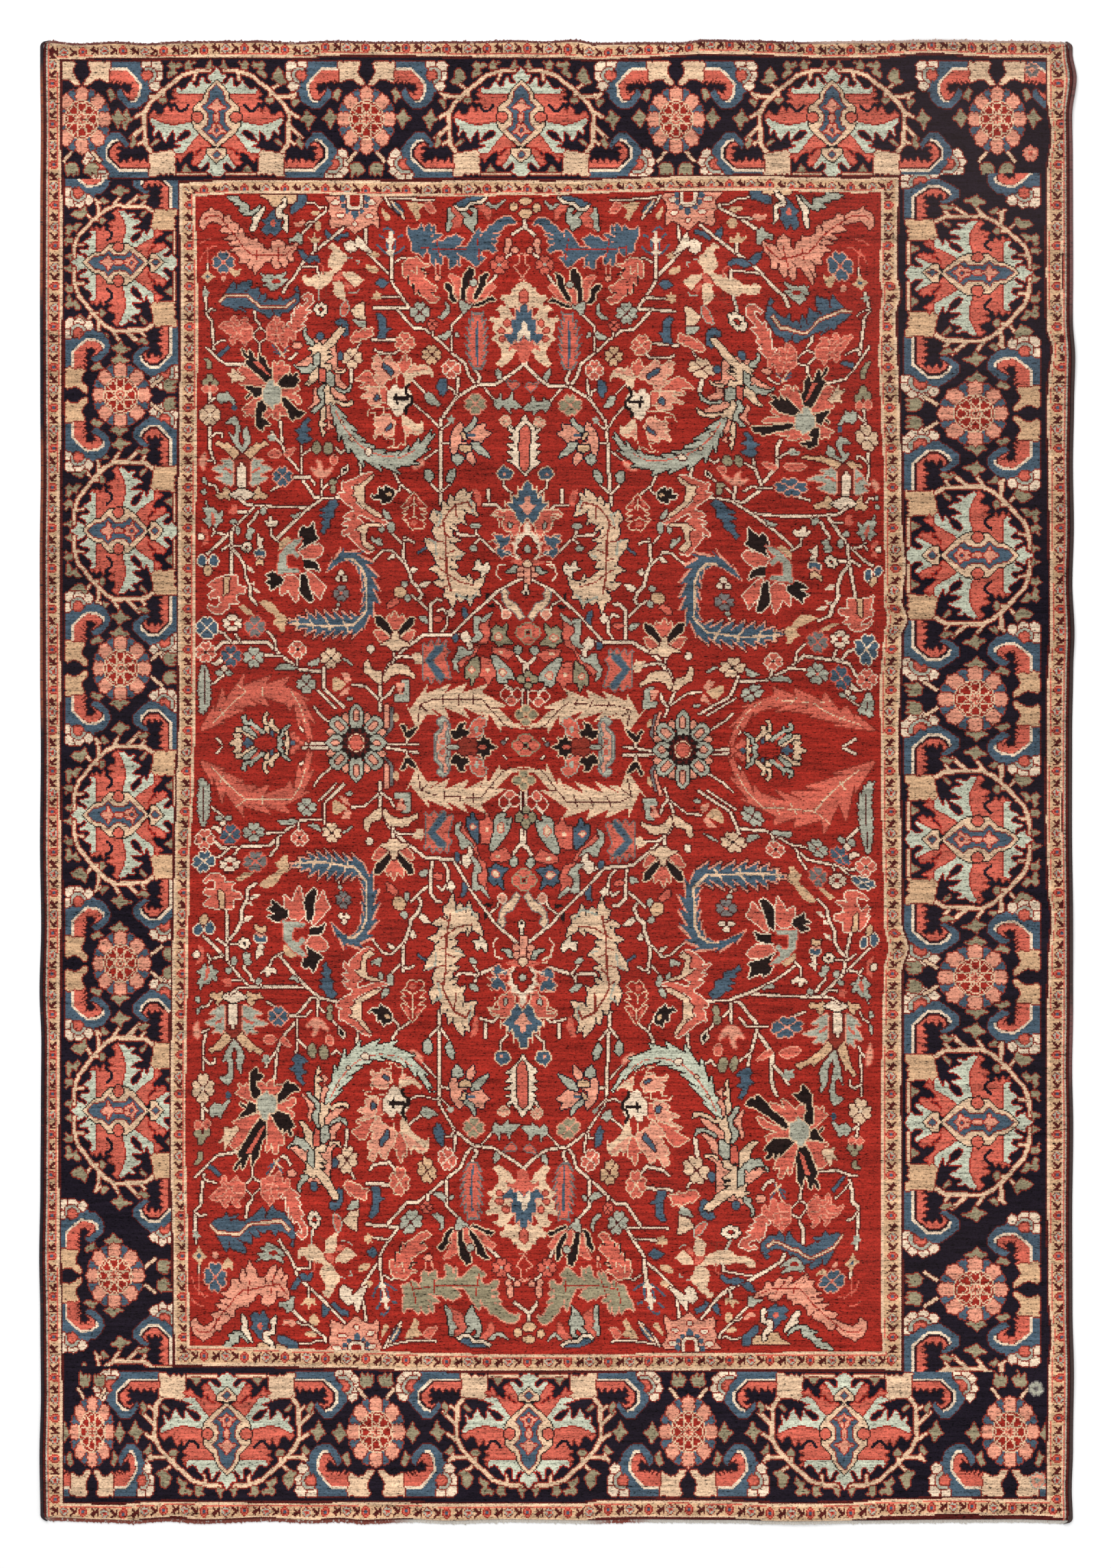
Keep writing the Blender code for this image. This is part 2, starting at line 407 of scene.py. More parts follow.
@dataclass(frozen=True)
class Lines:
    """The uneven lines that part the bands, as (place along, place across) on the drawing."""

    left_outer: tuple = ((90, 90), (200, 90.5), (300, 93), (400, 94), (500, 92.5), (600, 92), (700, 90),
        (900, 90), (1000, 91), (1100, 89.5), (1300, 92), (1400, 90), (1700, 88.5), (1800, 89), (1900, 91),
        (2100, 94), (2200, 94))
    left_inner: tuple = ((250, 265), (300, 265), (400, 267), (480, 267), (660, 264), (760, 263), (850, 263),
        (1050, 264), (1150, 261), (1260, 257.5), (1430, 254.5), (1600, 252), (1680, 252), (1850, 256),
        (2010, 258))
    left_field: tuple = ((280, 287), (400, 291), (480, 292), (560, 291), (660, 290), (850, 287), (1050, 288),
        (1150, 285), (1260, 280), (1430, 276.5), (1600, 274), (1680, 274), (1850, 278), (1980, 280))
    right_outer: tuple = ((60, 1532), (150, 1533), (200, 1539), (250, 1533), (400, 1531), (480, 1532),
        (510, 1540), (560, 1534), (600, 1532), (700, 1535), (920, 1537), (1000, 1533), (1200, 1531),
        (1300, 1534), (1340, 1539), (1400, 1535), (1500, 1532), (1700, 1532), (1900, 1535), (1950, 1539),
        (2000, 1535), (2180, 1532))
    right_inner: tuple = ((280, 1314), (400, 1312), (430, 1318), (460, 1311), (600, 1316), (680, 1319),
        (760, 1320), (830, 1325), (880, 1320), (905, 1328), (930, 1319), (1080, 1315), (1250, 1319),
        (1350, 1320), (1385, 1329), (1420, 1320), (1600, 1318), (2010, 1320))
    right_field: tuple = ((280, 1289), (350, 1289), (400, 1287), (430, 1291), (460, 1288), (520, 1286),
        (600, 1289), (680, 1293), (830, 1295), (880, 1293), (905, 1299), (930, 1293), (1000, 1288),
        (1150, 1290), (1350, 1294), (1385, 1300), (1420, 1293), (1600, 1290), (1900, 1289), (1990, 1292))
    top_outer: tuple = ((60, 88), (100, 87.5), (150, 85), (250, 85.5), (400, 84), (450, 86), (480, 82),
        (560, 81), (700, 84), (800, 84), (870, 88), (950, 84), (1000, 81), (1050, 80), (1150, 82), (1220, 86),
        (1280, 84), (1360, 79), (1450, 84), (1570, 84))
    top_inner: tuple = ((90, 266), (270, 268), (350, 264), (450, 264), (620, 266.5), (700, 264), (750, 264),
        (800, 266), (850, 265), (920, 262), (1000, 259), (1100, 258), (1200, 261), (1260, 262), (1310, 260),
        (1540, 257))
    top_field: tuple = ((280, 288), (350, 284), (450, 284), (550, 287), (620, 288), (700, 289), (750, 285),
        (800, 287), (850, 284), (920, 282), (1000, 279), (1100, 279), (1200, 281), (1260, 283), (1310, 280))
    bottom_field: tuple = ((260, 1966), (300, 1967), (500, 1972), (650, 1977), (750, 1979.5), (850, 1979),
        (1000, 1977), (1200, 1975.5), (1310, 1975.5))
    bottom_inner: tuple = ((90, 1993), (260, 1994.5), (400, 1996), (500, 1998.5), (600, 2001.5), (700, 2003),
        (850, 2003), (1000, 2001.5), (1100, 2000.5), (1540, 2002))
    bottom_outer: tuple = ((60, 2197), (180, 2198), (220, 2195), (260, 2193.5), (330, 2195.5), (450, 2196),
        (560, 2194.5), (650, 2197), (850, 2197), (880, 2193), (1000, 2192), (1050, 2193), (1150, 2197),
        (1240, 2196), (1300, 2191), (1400, 2189), (1500, 2191), (1570, 2192))


class Bands:
    """Lays the grounds of field and borders, and the two narrow guard borders with their repeat."""

    # One repeat of a guard: a red flower, a leaf pair, a grey flower and a leaf pair, in knots.
    # The first row is the one nearest the rug's edge.
    REPEAT = (
        "..rr......d......mm...d.....",
        ".rccr....dd..d..mssm..dd....",
        "rcrrcr..dddd.d.mscssm..ddd..",
        "rcbbcr...ddddd.sscrcs...ddd.",
        "rcbbcr....dddd.scrrcs..dddd.",
        "rcrrcr...dd.dd.mssssm.ddd.d.",
        ".rccr....d...d..msmm..dd..d.",
        "..rr..........d..mm..d......",
    )
    SIGNS = {".": CAMEL, "r": MADDER, "c": CORAL, "b": BLUE, "d": MAROON, "m": RUST, "s": MIST}

    # The distance inside the band lines at which a guard's repeat starts: left, right, top, bottom.
    OUTER_STARTS = (-19.0, -23.5, -20.0, -21.0)
    INNER_STARTS = (5.0, 5.0, 5.0, 5.0)

    # The lines beside the guards, each from one distance inside its band line to another.
    OUTER_LINES = ((0, 3, MAROON), (-3.5, 0, CREAM), (-5, -3.5, CORAL), (-23, -20.5, CREAM), (-60, -23, MAROON))
    RIM_LINES = ((0, 3.4, MAROON), (3.4, 6.2, MIST), (6.2, 7.4, CORAL))
    INNER_LINES = ((-3, 0, MAROON), (0, 3.6, CREAM))
    FIELD_LINES = ((-3.8, 0, CREAM), (-5.2, -3.8, CORAL))

    # How wide the dark line is that the main border's motifs stop at.
    LINE = 3

    def __init__(self, chart: Chart, lines: Lines) -> None:
        """Work out where every knot lies between the band lines.

        Args:
            chart: The chart to knot.
            lines: The band lines.
        """
        self.chart = chart
        self.wide = np.broadcast_to(chart.x[None, :], chart.knots.shape)
        self.tall = np.broadcast_to(chart.y[:, None], chart.knots.shape)
        self.outer = self.inside(lines.left_outer, lines.right_outer, lines.top_outer, lines.bottom_outer)
        self.inner = self.inside(lines.left_inner, lines.right_inner, lines.top_inner, lines.bottom_inner)
        self.field = self.inside(lines.left_field, lines.right_field, lines.top_field, lines.bottom_field)
        self.in_outer, self.in_inner, self.in_field = (
            np.minimum.reduce(sides) for sides in (self.outer, self.inner, self.field))
        self.field_mask = self.in_field > 0
        self.main_mask = (self.in_outer > self.LINE) & (self.in_inner < -self.LINE)
        self.ends_mask = self.main_mask & ((self.inner[2] < -self.LINE) | (self.inner[3] < -self.LINE))
        self.sides_mask = self.main_mask & ~self.ends_mask

    def inside(self, left: tuple, right: tuple, top: tuple, bottom: tuple) -> tuple[np.ndarray, ...]:
        """How far each knot lies inside each of four band lines."""
        x, y = self.chart.x, self.chart.y
        return (self.wide - eased(left, y)[:, None], eased(right, y)[:, None] - self.wide,
                self.tall - eased(top, x)[None, :], eased(bottom, x)[None, :] - self.tall)

    def stripes(self, table: Iterable[tuple[float, float, Yarn]], distance: np.ndarray) -> None:
        """Knot the lines of a band, each between two distances from a band line."""
        for low, high, yarn in table:
            self.chart.knots[(distance >= low) & (distance < high)] = int(yarn)

    def knot_grounds(self) -> None:
        """Knot the navy border ground and the red field."""
        self.chart.knots[:] = int(CAMEL)
        self.chart.knots[self.in_outer > 0] = int(NAVY)
        self.chart.knots[self.in_inner > 0] = int(CAMEL)
        self.chart.knots[self.field_mask] = int(MADDER)

    def knot_guards(self) -> None:
        """Knot both guards: their ground, repeat and edge lines."""
        self.repeats(self.outer, self.OUTER_STARTS, self.in_outer < 0)
        self.repeats(self.inner, self.INNER_STARTS, (self.in_inner > 0) & (self.in_field < 0))
        cartoon = self.chart.cartoon
        rim = np.minimum(self.wide - cartoon.left, cartoon.right - self.wide)
        self.stripes(self.OUTER_LINES, self.in_outer)
        self.stripes(self.RIM_LINES, rim)
        self.stripes(self.INNER_LINES, self.in_inner)
        self.stripes(self.FIELD_LINES, self.in_field)

    def repeats(self, distances: Sequence[np.ndarray], starts: Sequence[float], where: np.ndarray) -> None:
        """Knot a guard's repeat along its four sides.

        Args:
            distances: Each knot's distance inside the four band lines: left, right, top, bottom.
            starts: The distance at which the repeat's first row lies, on each side.
            where: The knots that belong to this guard.
        """
        nearest = np.argmin(np.stack(distances), axis=0)
        art = np.array([[int(self.SIGNS[sign]) for sign in row] for row in self.REPEAT])
        depth, length = art.shape
        for side, distance in enumerate(distances):
            along = self.tall if side < 2 else self.wide
            row = np.floor((distance - starts[side]) / self.chart.pitch_y).astype(int)
            column = np.floor(along / self.chart.pitch_x + 0.5).astype(int) % length
            here = where & (nearest == side) & (row >= 0) & (row < depth)
            self.chart.knots[here] = art[row[here], column[here]]


@dataclass(frozen=True)
class Stretch:
    """How a border's motifs are set on one side of the rug."""

    middle: float
    along: float
    outward: float
    inward: float
    turn: int

    def at(self, chart: Chart, place: float, middle: float | None = None) -> Pen:
        """A pen for a motif at one place along the side.

        Args:
            chart: The chart to knot.
            place: Where along the side the motif's own centre lies.
            middle: Where across the band it lies, or None for the side's own middle line.

        Returns:
            The pen, in units along the side and outward from the field.
        """
        centre = self.middle if middle is None else middle

        def placed(shape: np.ndarray) -> np.ndarray:
            """The motif's points turned to this side and set at their place."""
            u = shape[:, 0] * self.along
            v = np.where(shape[:, 1] > 0, shape[:, 1] * self.outward, shape[:, 1] * self.inward)
            return {
                0: np.column_stack([place + u, centre + v]),
                1: np.column_stack([centre - v, place + u]),
                2: np.column_stack([place - u, centre - v]),
                3: np.column_stack([centre + v, place - u]),
            }[self.turn]

        return Pen(chart, placed)


class MainBorder:
    """The wide navy border: rosettes and palmettes in turn, joined by scrolls and arched vines."""

    # Each side: how its motifs are set, and the places of its rosettes and of its palmettes.
    SIDES = ((Stretch(178.0, 0.95, 0.86, 0.97, 1), (578, 977, 1408, 1864), (384, 776, 1191, 1623)),
        (Stretch(1428.0, 0.95, 1.0, 1.2, 3), (605, 1022, 1428, 1884), (399, 812, 1227, 1640)), )
    ENDS = ((Stretch(175.0, 1.0, 0.9, 0.98, 2), (122, 538, 990, 1459), (319, 764, 1218)),
        (Stretch(2092.0, 1.0, 1.0, 1.0, 0), (137, 552, 1008, 1478), (334, 775, 1236)), )

    # The palmettes that run in under the lower end, and the scroll that runs in under the upper one.
    BEYOND, ABOVE = (2089, 2100), 192

    # The rosette that is squeezed into the lower left corner, and the one above it that leans out.
    CORNER, LEANING, ASIDE = 137, 1864, 169.0

    # How long the last palmette, the corner rosette and the first palmette of a side are drawn.
    DRAWN_OUT, SQUEEZED, CROWDED = 1.06, 0.76, 0.78

    # How far the crowded palmette's ground reaches to either side of the border's middle.
    HALF_BAND = 120

    # How wide and how high the rosettes' flower heads are drawn on the sides and on the ends.
    SIDE_HEAD, END_HEAD = (0.96, 0.9), (0.82, 1.0)

    # Flowers dropped into leftover corners: their place, petals and heart.
    ODD_FLOWERS = ((1508, 225, ROSE, CORAL), (1516, 2029, MIST, SLATE), (1518, 2163, ROSE, MIST),
        (1510, 104, SLATE, ROSE))

    def __init__(self, chart: Chart, bands: Bands) -> None:
        """Keep what the border is knotted into."""
        self.chart = chart
        self.bands = bands
        self.head, self.block = self.SIDE_HEAD, CAMEL

    def knot(self) -> None:
        """Knot the long sides first and then the ends, which run the full width."""
        self.chart.mask = self.bands.sides_mask
        for (stretch, _, palmettes), beyond in zip(self.SIDES, self.BEYOND):
            for place in (*palmettes, beyond):
                share = self.DRAWN_OUT if place == palmettes[-1] else 1.0
                self.palmette(replace(stretch, along=share * stretch.along).at(self.chart, place))
            self.crowded(stretch, palmettes[0])
            self.outer_scrolls(stretch.at(self.chart, self.ABOVE))
        self.knot_rosettes(self.SIDES)
        self.chart.mask = self.bands.ends_mask
        self.head, self.block = self.END_HEAD, CREAM
        for stretch, _, palmettes in self.ENDS:
            for place in palmettes:
                self.palmette(stretch.at(self.chart, place))
        self.knot_rosettes(self.ENDS)
        self.odd_flowers()
        self.chart.mask = None

    def knot_rosettes(self, sides: Iterable[tuple]) -> None:
        """Knot the rosettes of two sides."""
        for stretch, rosettes, _ in sides:
            for place in rosettes:
                drawn = replace(stretch, along=self.SQUEEZED) if place == self.CORNER else stretch
                self.rosette(drawn.at(self.chart, place, self.ASIDE if place == self.LEANING else None))

    def crowded(self, stretch: Stretch, place: float) -> None:
        """Knot again the half palmette that the weaver had to crowd in under the upper end."""
        self.chart.mask = self.bands.sides_mask & (self.bands.tall < place)
        near = self.chart.mask & (np.abs(self.bands.wide - stretch.middle) < self.HALF_BAND)
        self.chart.knots[near] = int(NAVY)
        self.palmette(replace(stretch, along=self.CROWDED).at(self.chart, place))
        self.chart.mask = self.bands.sides_mask

    def odd_flowers(self) -> None:
        """The few flowers that the weaver dropped into leftover corners."""
        for x, y, yarn, heart in self.ODD_FLOWERS:
            self.chart.paint(yarn, ring(disc(7, 0, 3.4), 7, 10, x, y), heart)
            self.chart.paint(heart, disc(x, y, 3.6))

    def rosette(self, pen: Pen) -> None:
        """A round rosette with its yoke, the scrolls beside it and the leaves round it."""
        self.outer_scrolls(pen)
        yoke = outline(3, 55, 13, 57, 18, 64, 26, 66, 34, 62, 38, 59, 40, 66, 39, 78, 42, 84, 41, 94, 34, 91,
            31, 94, 13, 94, 9, 90, 12, 84, 13.5, 76, 10, 68, 5, 62)
        pen(self.block, both(yoke), RUST)
        pen(CREAM, both(stem(4.5, 13, -46, 27, -64)), MAROON)
        pen(SAGE, both(outline(5, -84, 8, -79, 13, -86, 15, -79, 22, -87, 23, -76, 25, -70, 18, -65, 8, -67,
            4, -75)), RUST)
        four = outline(0, -16, 4, -6, 12, -1, 5, 5, 1, 15, -4, 7, -10, 2, -5, -6)
        pen(SAGE, both(moved(four, 53, 2)), RUST)
        pen(SAGE, both(outline(42, 28, 46, 34, 50, 34, 46, 44, 42, 50, 37, 46, 40, 38)), RUST)
        self.flower_head(pen)

    def flower_head(self, pen: Pen) -> None:
        """The rosette's own eight petals, bars and star-like middle."""
        petal = outline(28, -5, 32, -9, 37, -11, 42, -9, 45, -11, 49, -8, 50, -3, 53, 0, 50, 3, 49, 8, 45, 11,
            42, 9, 37, 11, 32, 9, 28, 5)
        head = ((BLUE, ring(leaf((27, 0, 50, 0), (4, 6, 5.4)), 8, 22.5), RUST), (ROSE, ring(petal, 8), RUST),
            (MADDER, disc(0, 0, 29, 29, 24), CREAM), (MADDER, ring(outline(11, 0, 16, -4.5, 21, -6.6, 26, -5,
            24, 0, 26, 5, 21, 6.6, 16, 4.5), 8), CREAM), (CORAL, disc(0, 0, 8), CREAM),
            (CREAM, ring(straight(1.6, 3, 0, 8, 0), 8, 22.5), None), (RUST, disc(0, 0, 2.6), None))
        for yarn, shapes, edge in head:
            pen(yarn, [shape * self.head for shape in shapes], edge)

    def outer_scrolls(self, pen: Pen) -> None:
        """The pair of hooked scrolls that spring from the yoke, each with a fan."""
        band = outline(42, 94, 90, 94, 90, 82, 86, 77, 94, 64, 105, 54, 106, 47, 98, 42, 96, 31, 86, 21, 77, 17,
            66, 19, 57, 29, 51, 38, 52, 45, 57, 50, 60, 42, 68, 30, 78, 29, 84, 38, 87, 54, 74, 73, 65, 82,
            42, 82)
        flesh = outline(39, 79, 65, 79, 73, 71, 84, 54, 81, 38, 76, 32, 68, 33, 61, 41, 58, 49, 66, 42, 73, 38,
            69, 44, 75, 48, 72, 54, 75, 59, 63, 57, 66, 63, 57, 56, 60, 64, 52, 56, 55, 65, 45, 56, 48, 65,
            39, 58)
        light = straight(3.6, 42, 81, 65, 81, 74, 72, 86, 56, 84, 39, 78, 29, 71, 28)
        fan = outlines((99, 54, 102, 48, 109, 46, 115, 52, 112, 60, 104, 61),
            (106, 63, 113, 61, 118, 67, 117, 77, 109, 78), (107, 80, 117, 79, 118, 87, 113, 94, 104, 94,
            102, 84), (88, 84, 92, 81, 100, 85, 101, 94, 87, 94))
        stalk = stem(4, 98, 59, 105, 65, 107, 73, 102, 81, 92, 81)
        eye = outline(92, 63, 100, 65, 103, 72, 99, 78, 90, 77, 88, 70)
        self.scroll(pen, flesh, band, light, fan, stalk, eye)

    @staticmethod
    def scroll(pen: Pen, flesh: Shapes, band: Shapes, light: Shapes, fan: Shapes, stalk: Shapes,
               eye: Shapes) -> None:
        """Knot a pair of hooked scrolls.

        Args:
            pen: The motif's pen.
            flesh: The toothed coral part inside the hook.
            band: The blue hook itself.
            light: The pale line along it.
            fan: The petals at its end, one outline each.
            stalk: The line that the petals stand on.
            eye: The coral spot inside the fan.
        """
        pen(CORAL, both(flesh), MAROON)
        pen(BLUE, both(band), MAROON)
        pen(IVORY, both(light))
        for petal in fan:
            pen(IVORY, both([petal]), RUST)
        pen(MIST, both(stalk), RUST)
        pen(CORAL, both(eye), RUST)

    def palmette(self, pen: Pen) -> None:
        """A crowned palmette under its arched vine, between two square blocks."""
        self.inner_scrolls(pen)
        self.arch(pen)
        self.limbs(pen)
        self.cartouche(pen)

    def inner_scrolls(self, pen: Pen) -> None:
        """The square blocks beside the palmette, and the scrolls that run away from them."""
        band = outline(99, -88, 157, -88, 158, -77, 171, -65, 177, -52, 176, -46, 167, -34, 155, -21, 142, -20,
            134, -29, 128, -38, 132, -44, 136, -37, 144, -30, 152, -34, 161, -44, 161, -58, 142, -77, 99, -77)
        flesh = outline(98, -72, 140, -72, 155, -56, 155, -46, 149, -38, 142, -35, 135, -41, 143, -39, 149, -44,
            140, -48, 148, -52, 143, -58, 148, -60, 140, -66, 135, -60, 131, -66, 125, -57, 122, -65, 115, -59,
            112, -66, 106, -58, 103, -66, 97, -61)
        light = straight(3.6, 99, -76, 142, -76, 161, -58, 161, -44, 152, -33, 144, -31)
        fan = outlines((158, -81, 160, -90, 169, -91, 170, -81), (171, -81, 171, -91, 180, -90, 185, -84,
            179, -78), (180, -77, 186, -84, 193, -78, 190, -71, 183, -71),
            (184, -69, 191, -70, 196, -64, 192, -57, 184, -59), (180, -57, 191, -56, 190, -49, 183, -44,
            177, -48, 177, -54))
        stalk = stem(4, 162, -79, 173, -79, 180, -73, 183, -66, 180, -59, 174, -56)
        eye = outline(163, -75, 173, -75, 178, -69, 176, -62, 169, -60, 171, -67)
        self.scroll(pen, flesh, band, light, fan, stalk, eye)
        block = outline(60, -84, 66, -80, 70, -83, 73, -80, 77, -84, 83, -80, 88, -85, 99, -85, 97, -70,
            99, -53, 92, -50, 76, -49, 67, -46, 60, -52, 62, -68)
        pen(self.block, both(block), RUST)

    def arch(self, pen: Pen) -> None:
        """The arched vine with its twigs and the small leaves that hang from it."""
        pen(CREAM, both(straight(3.4, 14, -82, 58, -82)), RUST)
        pen(CREAM, both(straight(5.4, 95, -50, 104, -38, 106, 8, 98, 25, 86, 38, 78, 47, 62, 60, 52, 70, 40, 75,
            28, 78, 8, 79) + straight(4.8, 88, 37, 114, 38) + straight(3.6, 110, 32, 118, 44)
            + straight(4.2, 78, 46, 78, 30) + straight(3.8, 31, 77, 33, 62) + straight(4.0, 82, 50, 95, 60)
            + straight(4.8, 106, -10, 126, -30) + straight(4.6, 103, 14, 120, 2)
            + straight(3.6, 104, -30, 115, -38)), RUST)
        hanging = outlines((37, -79, 52, -79, 45, -68), (93, 56, 104, 60, 97, 66, 96, 78, 90, 83, 85, 76,
            81, 66, 86, 62), (71, 66, 64, 72, 58, 74, 62, 82, 50, 86, 54, 92, 60, 89, 66, 93, 71, 88, 66, 80,
            72, 74), (45, 80, 36, 80, 37, 88, 30, 93, 38, 91, 41, 95, 46, 90),
            (16, 81, 4, 84, 8, 88, 9, 96, 13, 89), (78, 25, 84, 29, 83, 35, 73, 35, 72, 29),
            (97, -40, 90, -38, 84, -32, 89, -30, 94, -36), (118, -38, 124, -44, 127, -38, 123, -32, 124, -24,
            117, -32))
        pen(SAGE, both(hanging), RUST)
        pen(SAGE, both(outlines((134, -17, 130, -5, 121, -1, 128, 5, 131, 16, 137, 6, 144, 2, 138, -6),
            (112, 18, 118, 26, 122, 30, 116, 33, 110, 28))), RUST)

    def limbs(self, pen: Pen) -> None:
        """The palmette's coral and pale wings, notched like oak leaves."""
        crown = halved(0, -85, 6, -84, 10, -80, 15, -79, 9, -73, 9, -66, 14, -64, 19, -69, 24, -74, 28, -72,
            24, -66, 20, -60, 16, -53, 0, -56)
        horn = outline(14, -42, 13, -50, 18, -58, 25, -65, 33, -69, 36, -64, 32, -59, 35, -54, 28, -55, 25, -49,
            19, -44)
        coral_arm = outline(25, -23, 31, -30, 39, -40, 47, -50, 57, -53, 63, -57, 56, -58, 54, -64, 50, -58,
            47, -54, 42, -50, 36, -47, 32, -52, 30, -46, 26, -45, 22, -41, 14, -43, 8, -40)
        pale_wing = outline(34, -3, 47, -6.5, 57, -8.5, 67, -9, 77, -6.5, 87, -2.5, 95, 2, 97, -2, 94, -8,
            89, -12, 91, -18, 92, -25, 87, -18, 84, -16, 81, -20, 79, -27, 74, -33, 72, -26, 67, -20, 63, -16,
            61, -24, 61, -33, 57, -27, 54, -22, 47, -16.5, 40, -15.5, 36, -20, 40, -26, 48, -32, 54, -33,
            62, -38, 54, -38, 50, -40, 57, -43, 65, -46, 61, -50, 53, -51, 47, -49, 40, -39, 32, -28, 24, -20,
            30, -12)
        coral_wing = outline(32, -2, 47, -5.5, 57, -7.5, 67, -8, 77, -5.5, 87, -1.5, 94, 3, 98, 2, 96, 8,
            91, 13, 89, 8, 85, 6, 80, 6, 77, 10, 75, 16, 72, 21, 69, 15, 67, 9, 64, 13, 62, 20, 57, 24, 60, 27,
            67, 28, 61, 31, 57, 33, 60, 37, 67, 39, 60, 43, 64, 49, 57, 46, 55, 40, 14, 40, 14, 34, 22, 26,
            28, 20, 30, 10)
        foot = halved(0, 84, 5, 76, 8, 72, 14, 73, 11, 65, 7, 59, 12, 56, 17, 60, 20, 68, 23, 68, 24, 60,
            24, 54, 30, 51, 35, 56, 37, 62, 41, 57, 45, 50, 51, 47, 58, 52, 59, 46, 56, 41, 14, 41, 14, 48,
            0, 60)
        pen(CORAL, both(horn), MADDER)
        pen(SKY, crown, MADDER)
        pen(CORAL, both(coral_arm), MADDER)
        pen(CORAL, both(coral_wing), RUST)
        pen(SKY, both(pale_wing), MADDER)
        pen(SKY, foot, MADDER)
        pen(NAVY, both(straight(4.6, 63, 26, 58, 18, 54, 13.5, 49, 13.5, 44, 18, 40, 24)))

    def cartouche(self, pen: Pen) -> None:
        """The pointed shield in the palmette's middle, and the small diamond at its head."""
        pen(CREAM, halved(0, -43, 7, -37, 17, -29, 27, -20, 33, -12, 35, -6, 34, -1, 33, 9, 33, 19, 25, 27,
            18, 33, 17, 42, 10, 53, 0, 63), BLACK)
        pen(CORAL, both(disc(28, 3, 8) + outline(28, -1, 36, 0, 36, 8, 28, 7)), BLACK)
        pen(BLUE, halved(0, -36, 20, -14.5, 13, -9, 11, 0, 12, 10, 16, 15, 21, 20, 13, 27, 11, 35, 9, 45,
            0, 55), RUST)
        pen(ROSE, halved(0, -27, 4, -22, 13, -19, 7, -15, 6, -9, 2, -6, 0, -12), MADDER)
        pen(ROSE, both(disc(0, 3, 3.6, 8)), MADDER)
        pen(ROSE, halved(0, 10, 3, 14, 7, 17, 16, 20, 6, 22, 5, 27, 0, 33), MADDER)
        pen(BLUE, disc(0, -17, 2.6), MADDER)
        pen(CREAM, halved(0, -65, 6, -60, 14, -53, 14, -45, 4, -45, 0, -42), BLACK)
        pen(BLUE, star(0, -53, 4, 5.5, 4), RUST)


# ---------------------------------------------------------------- the field


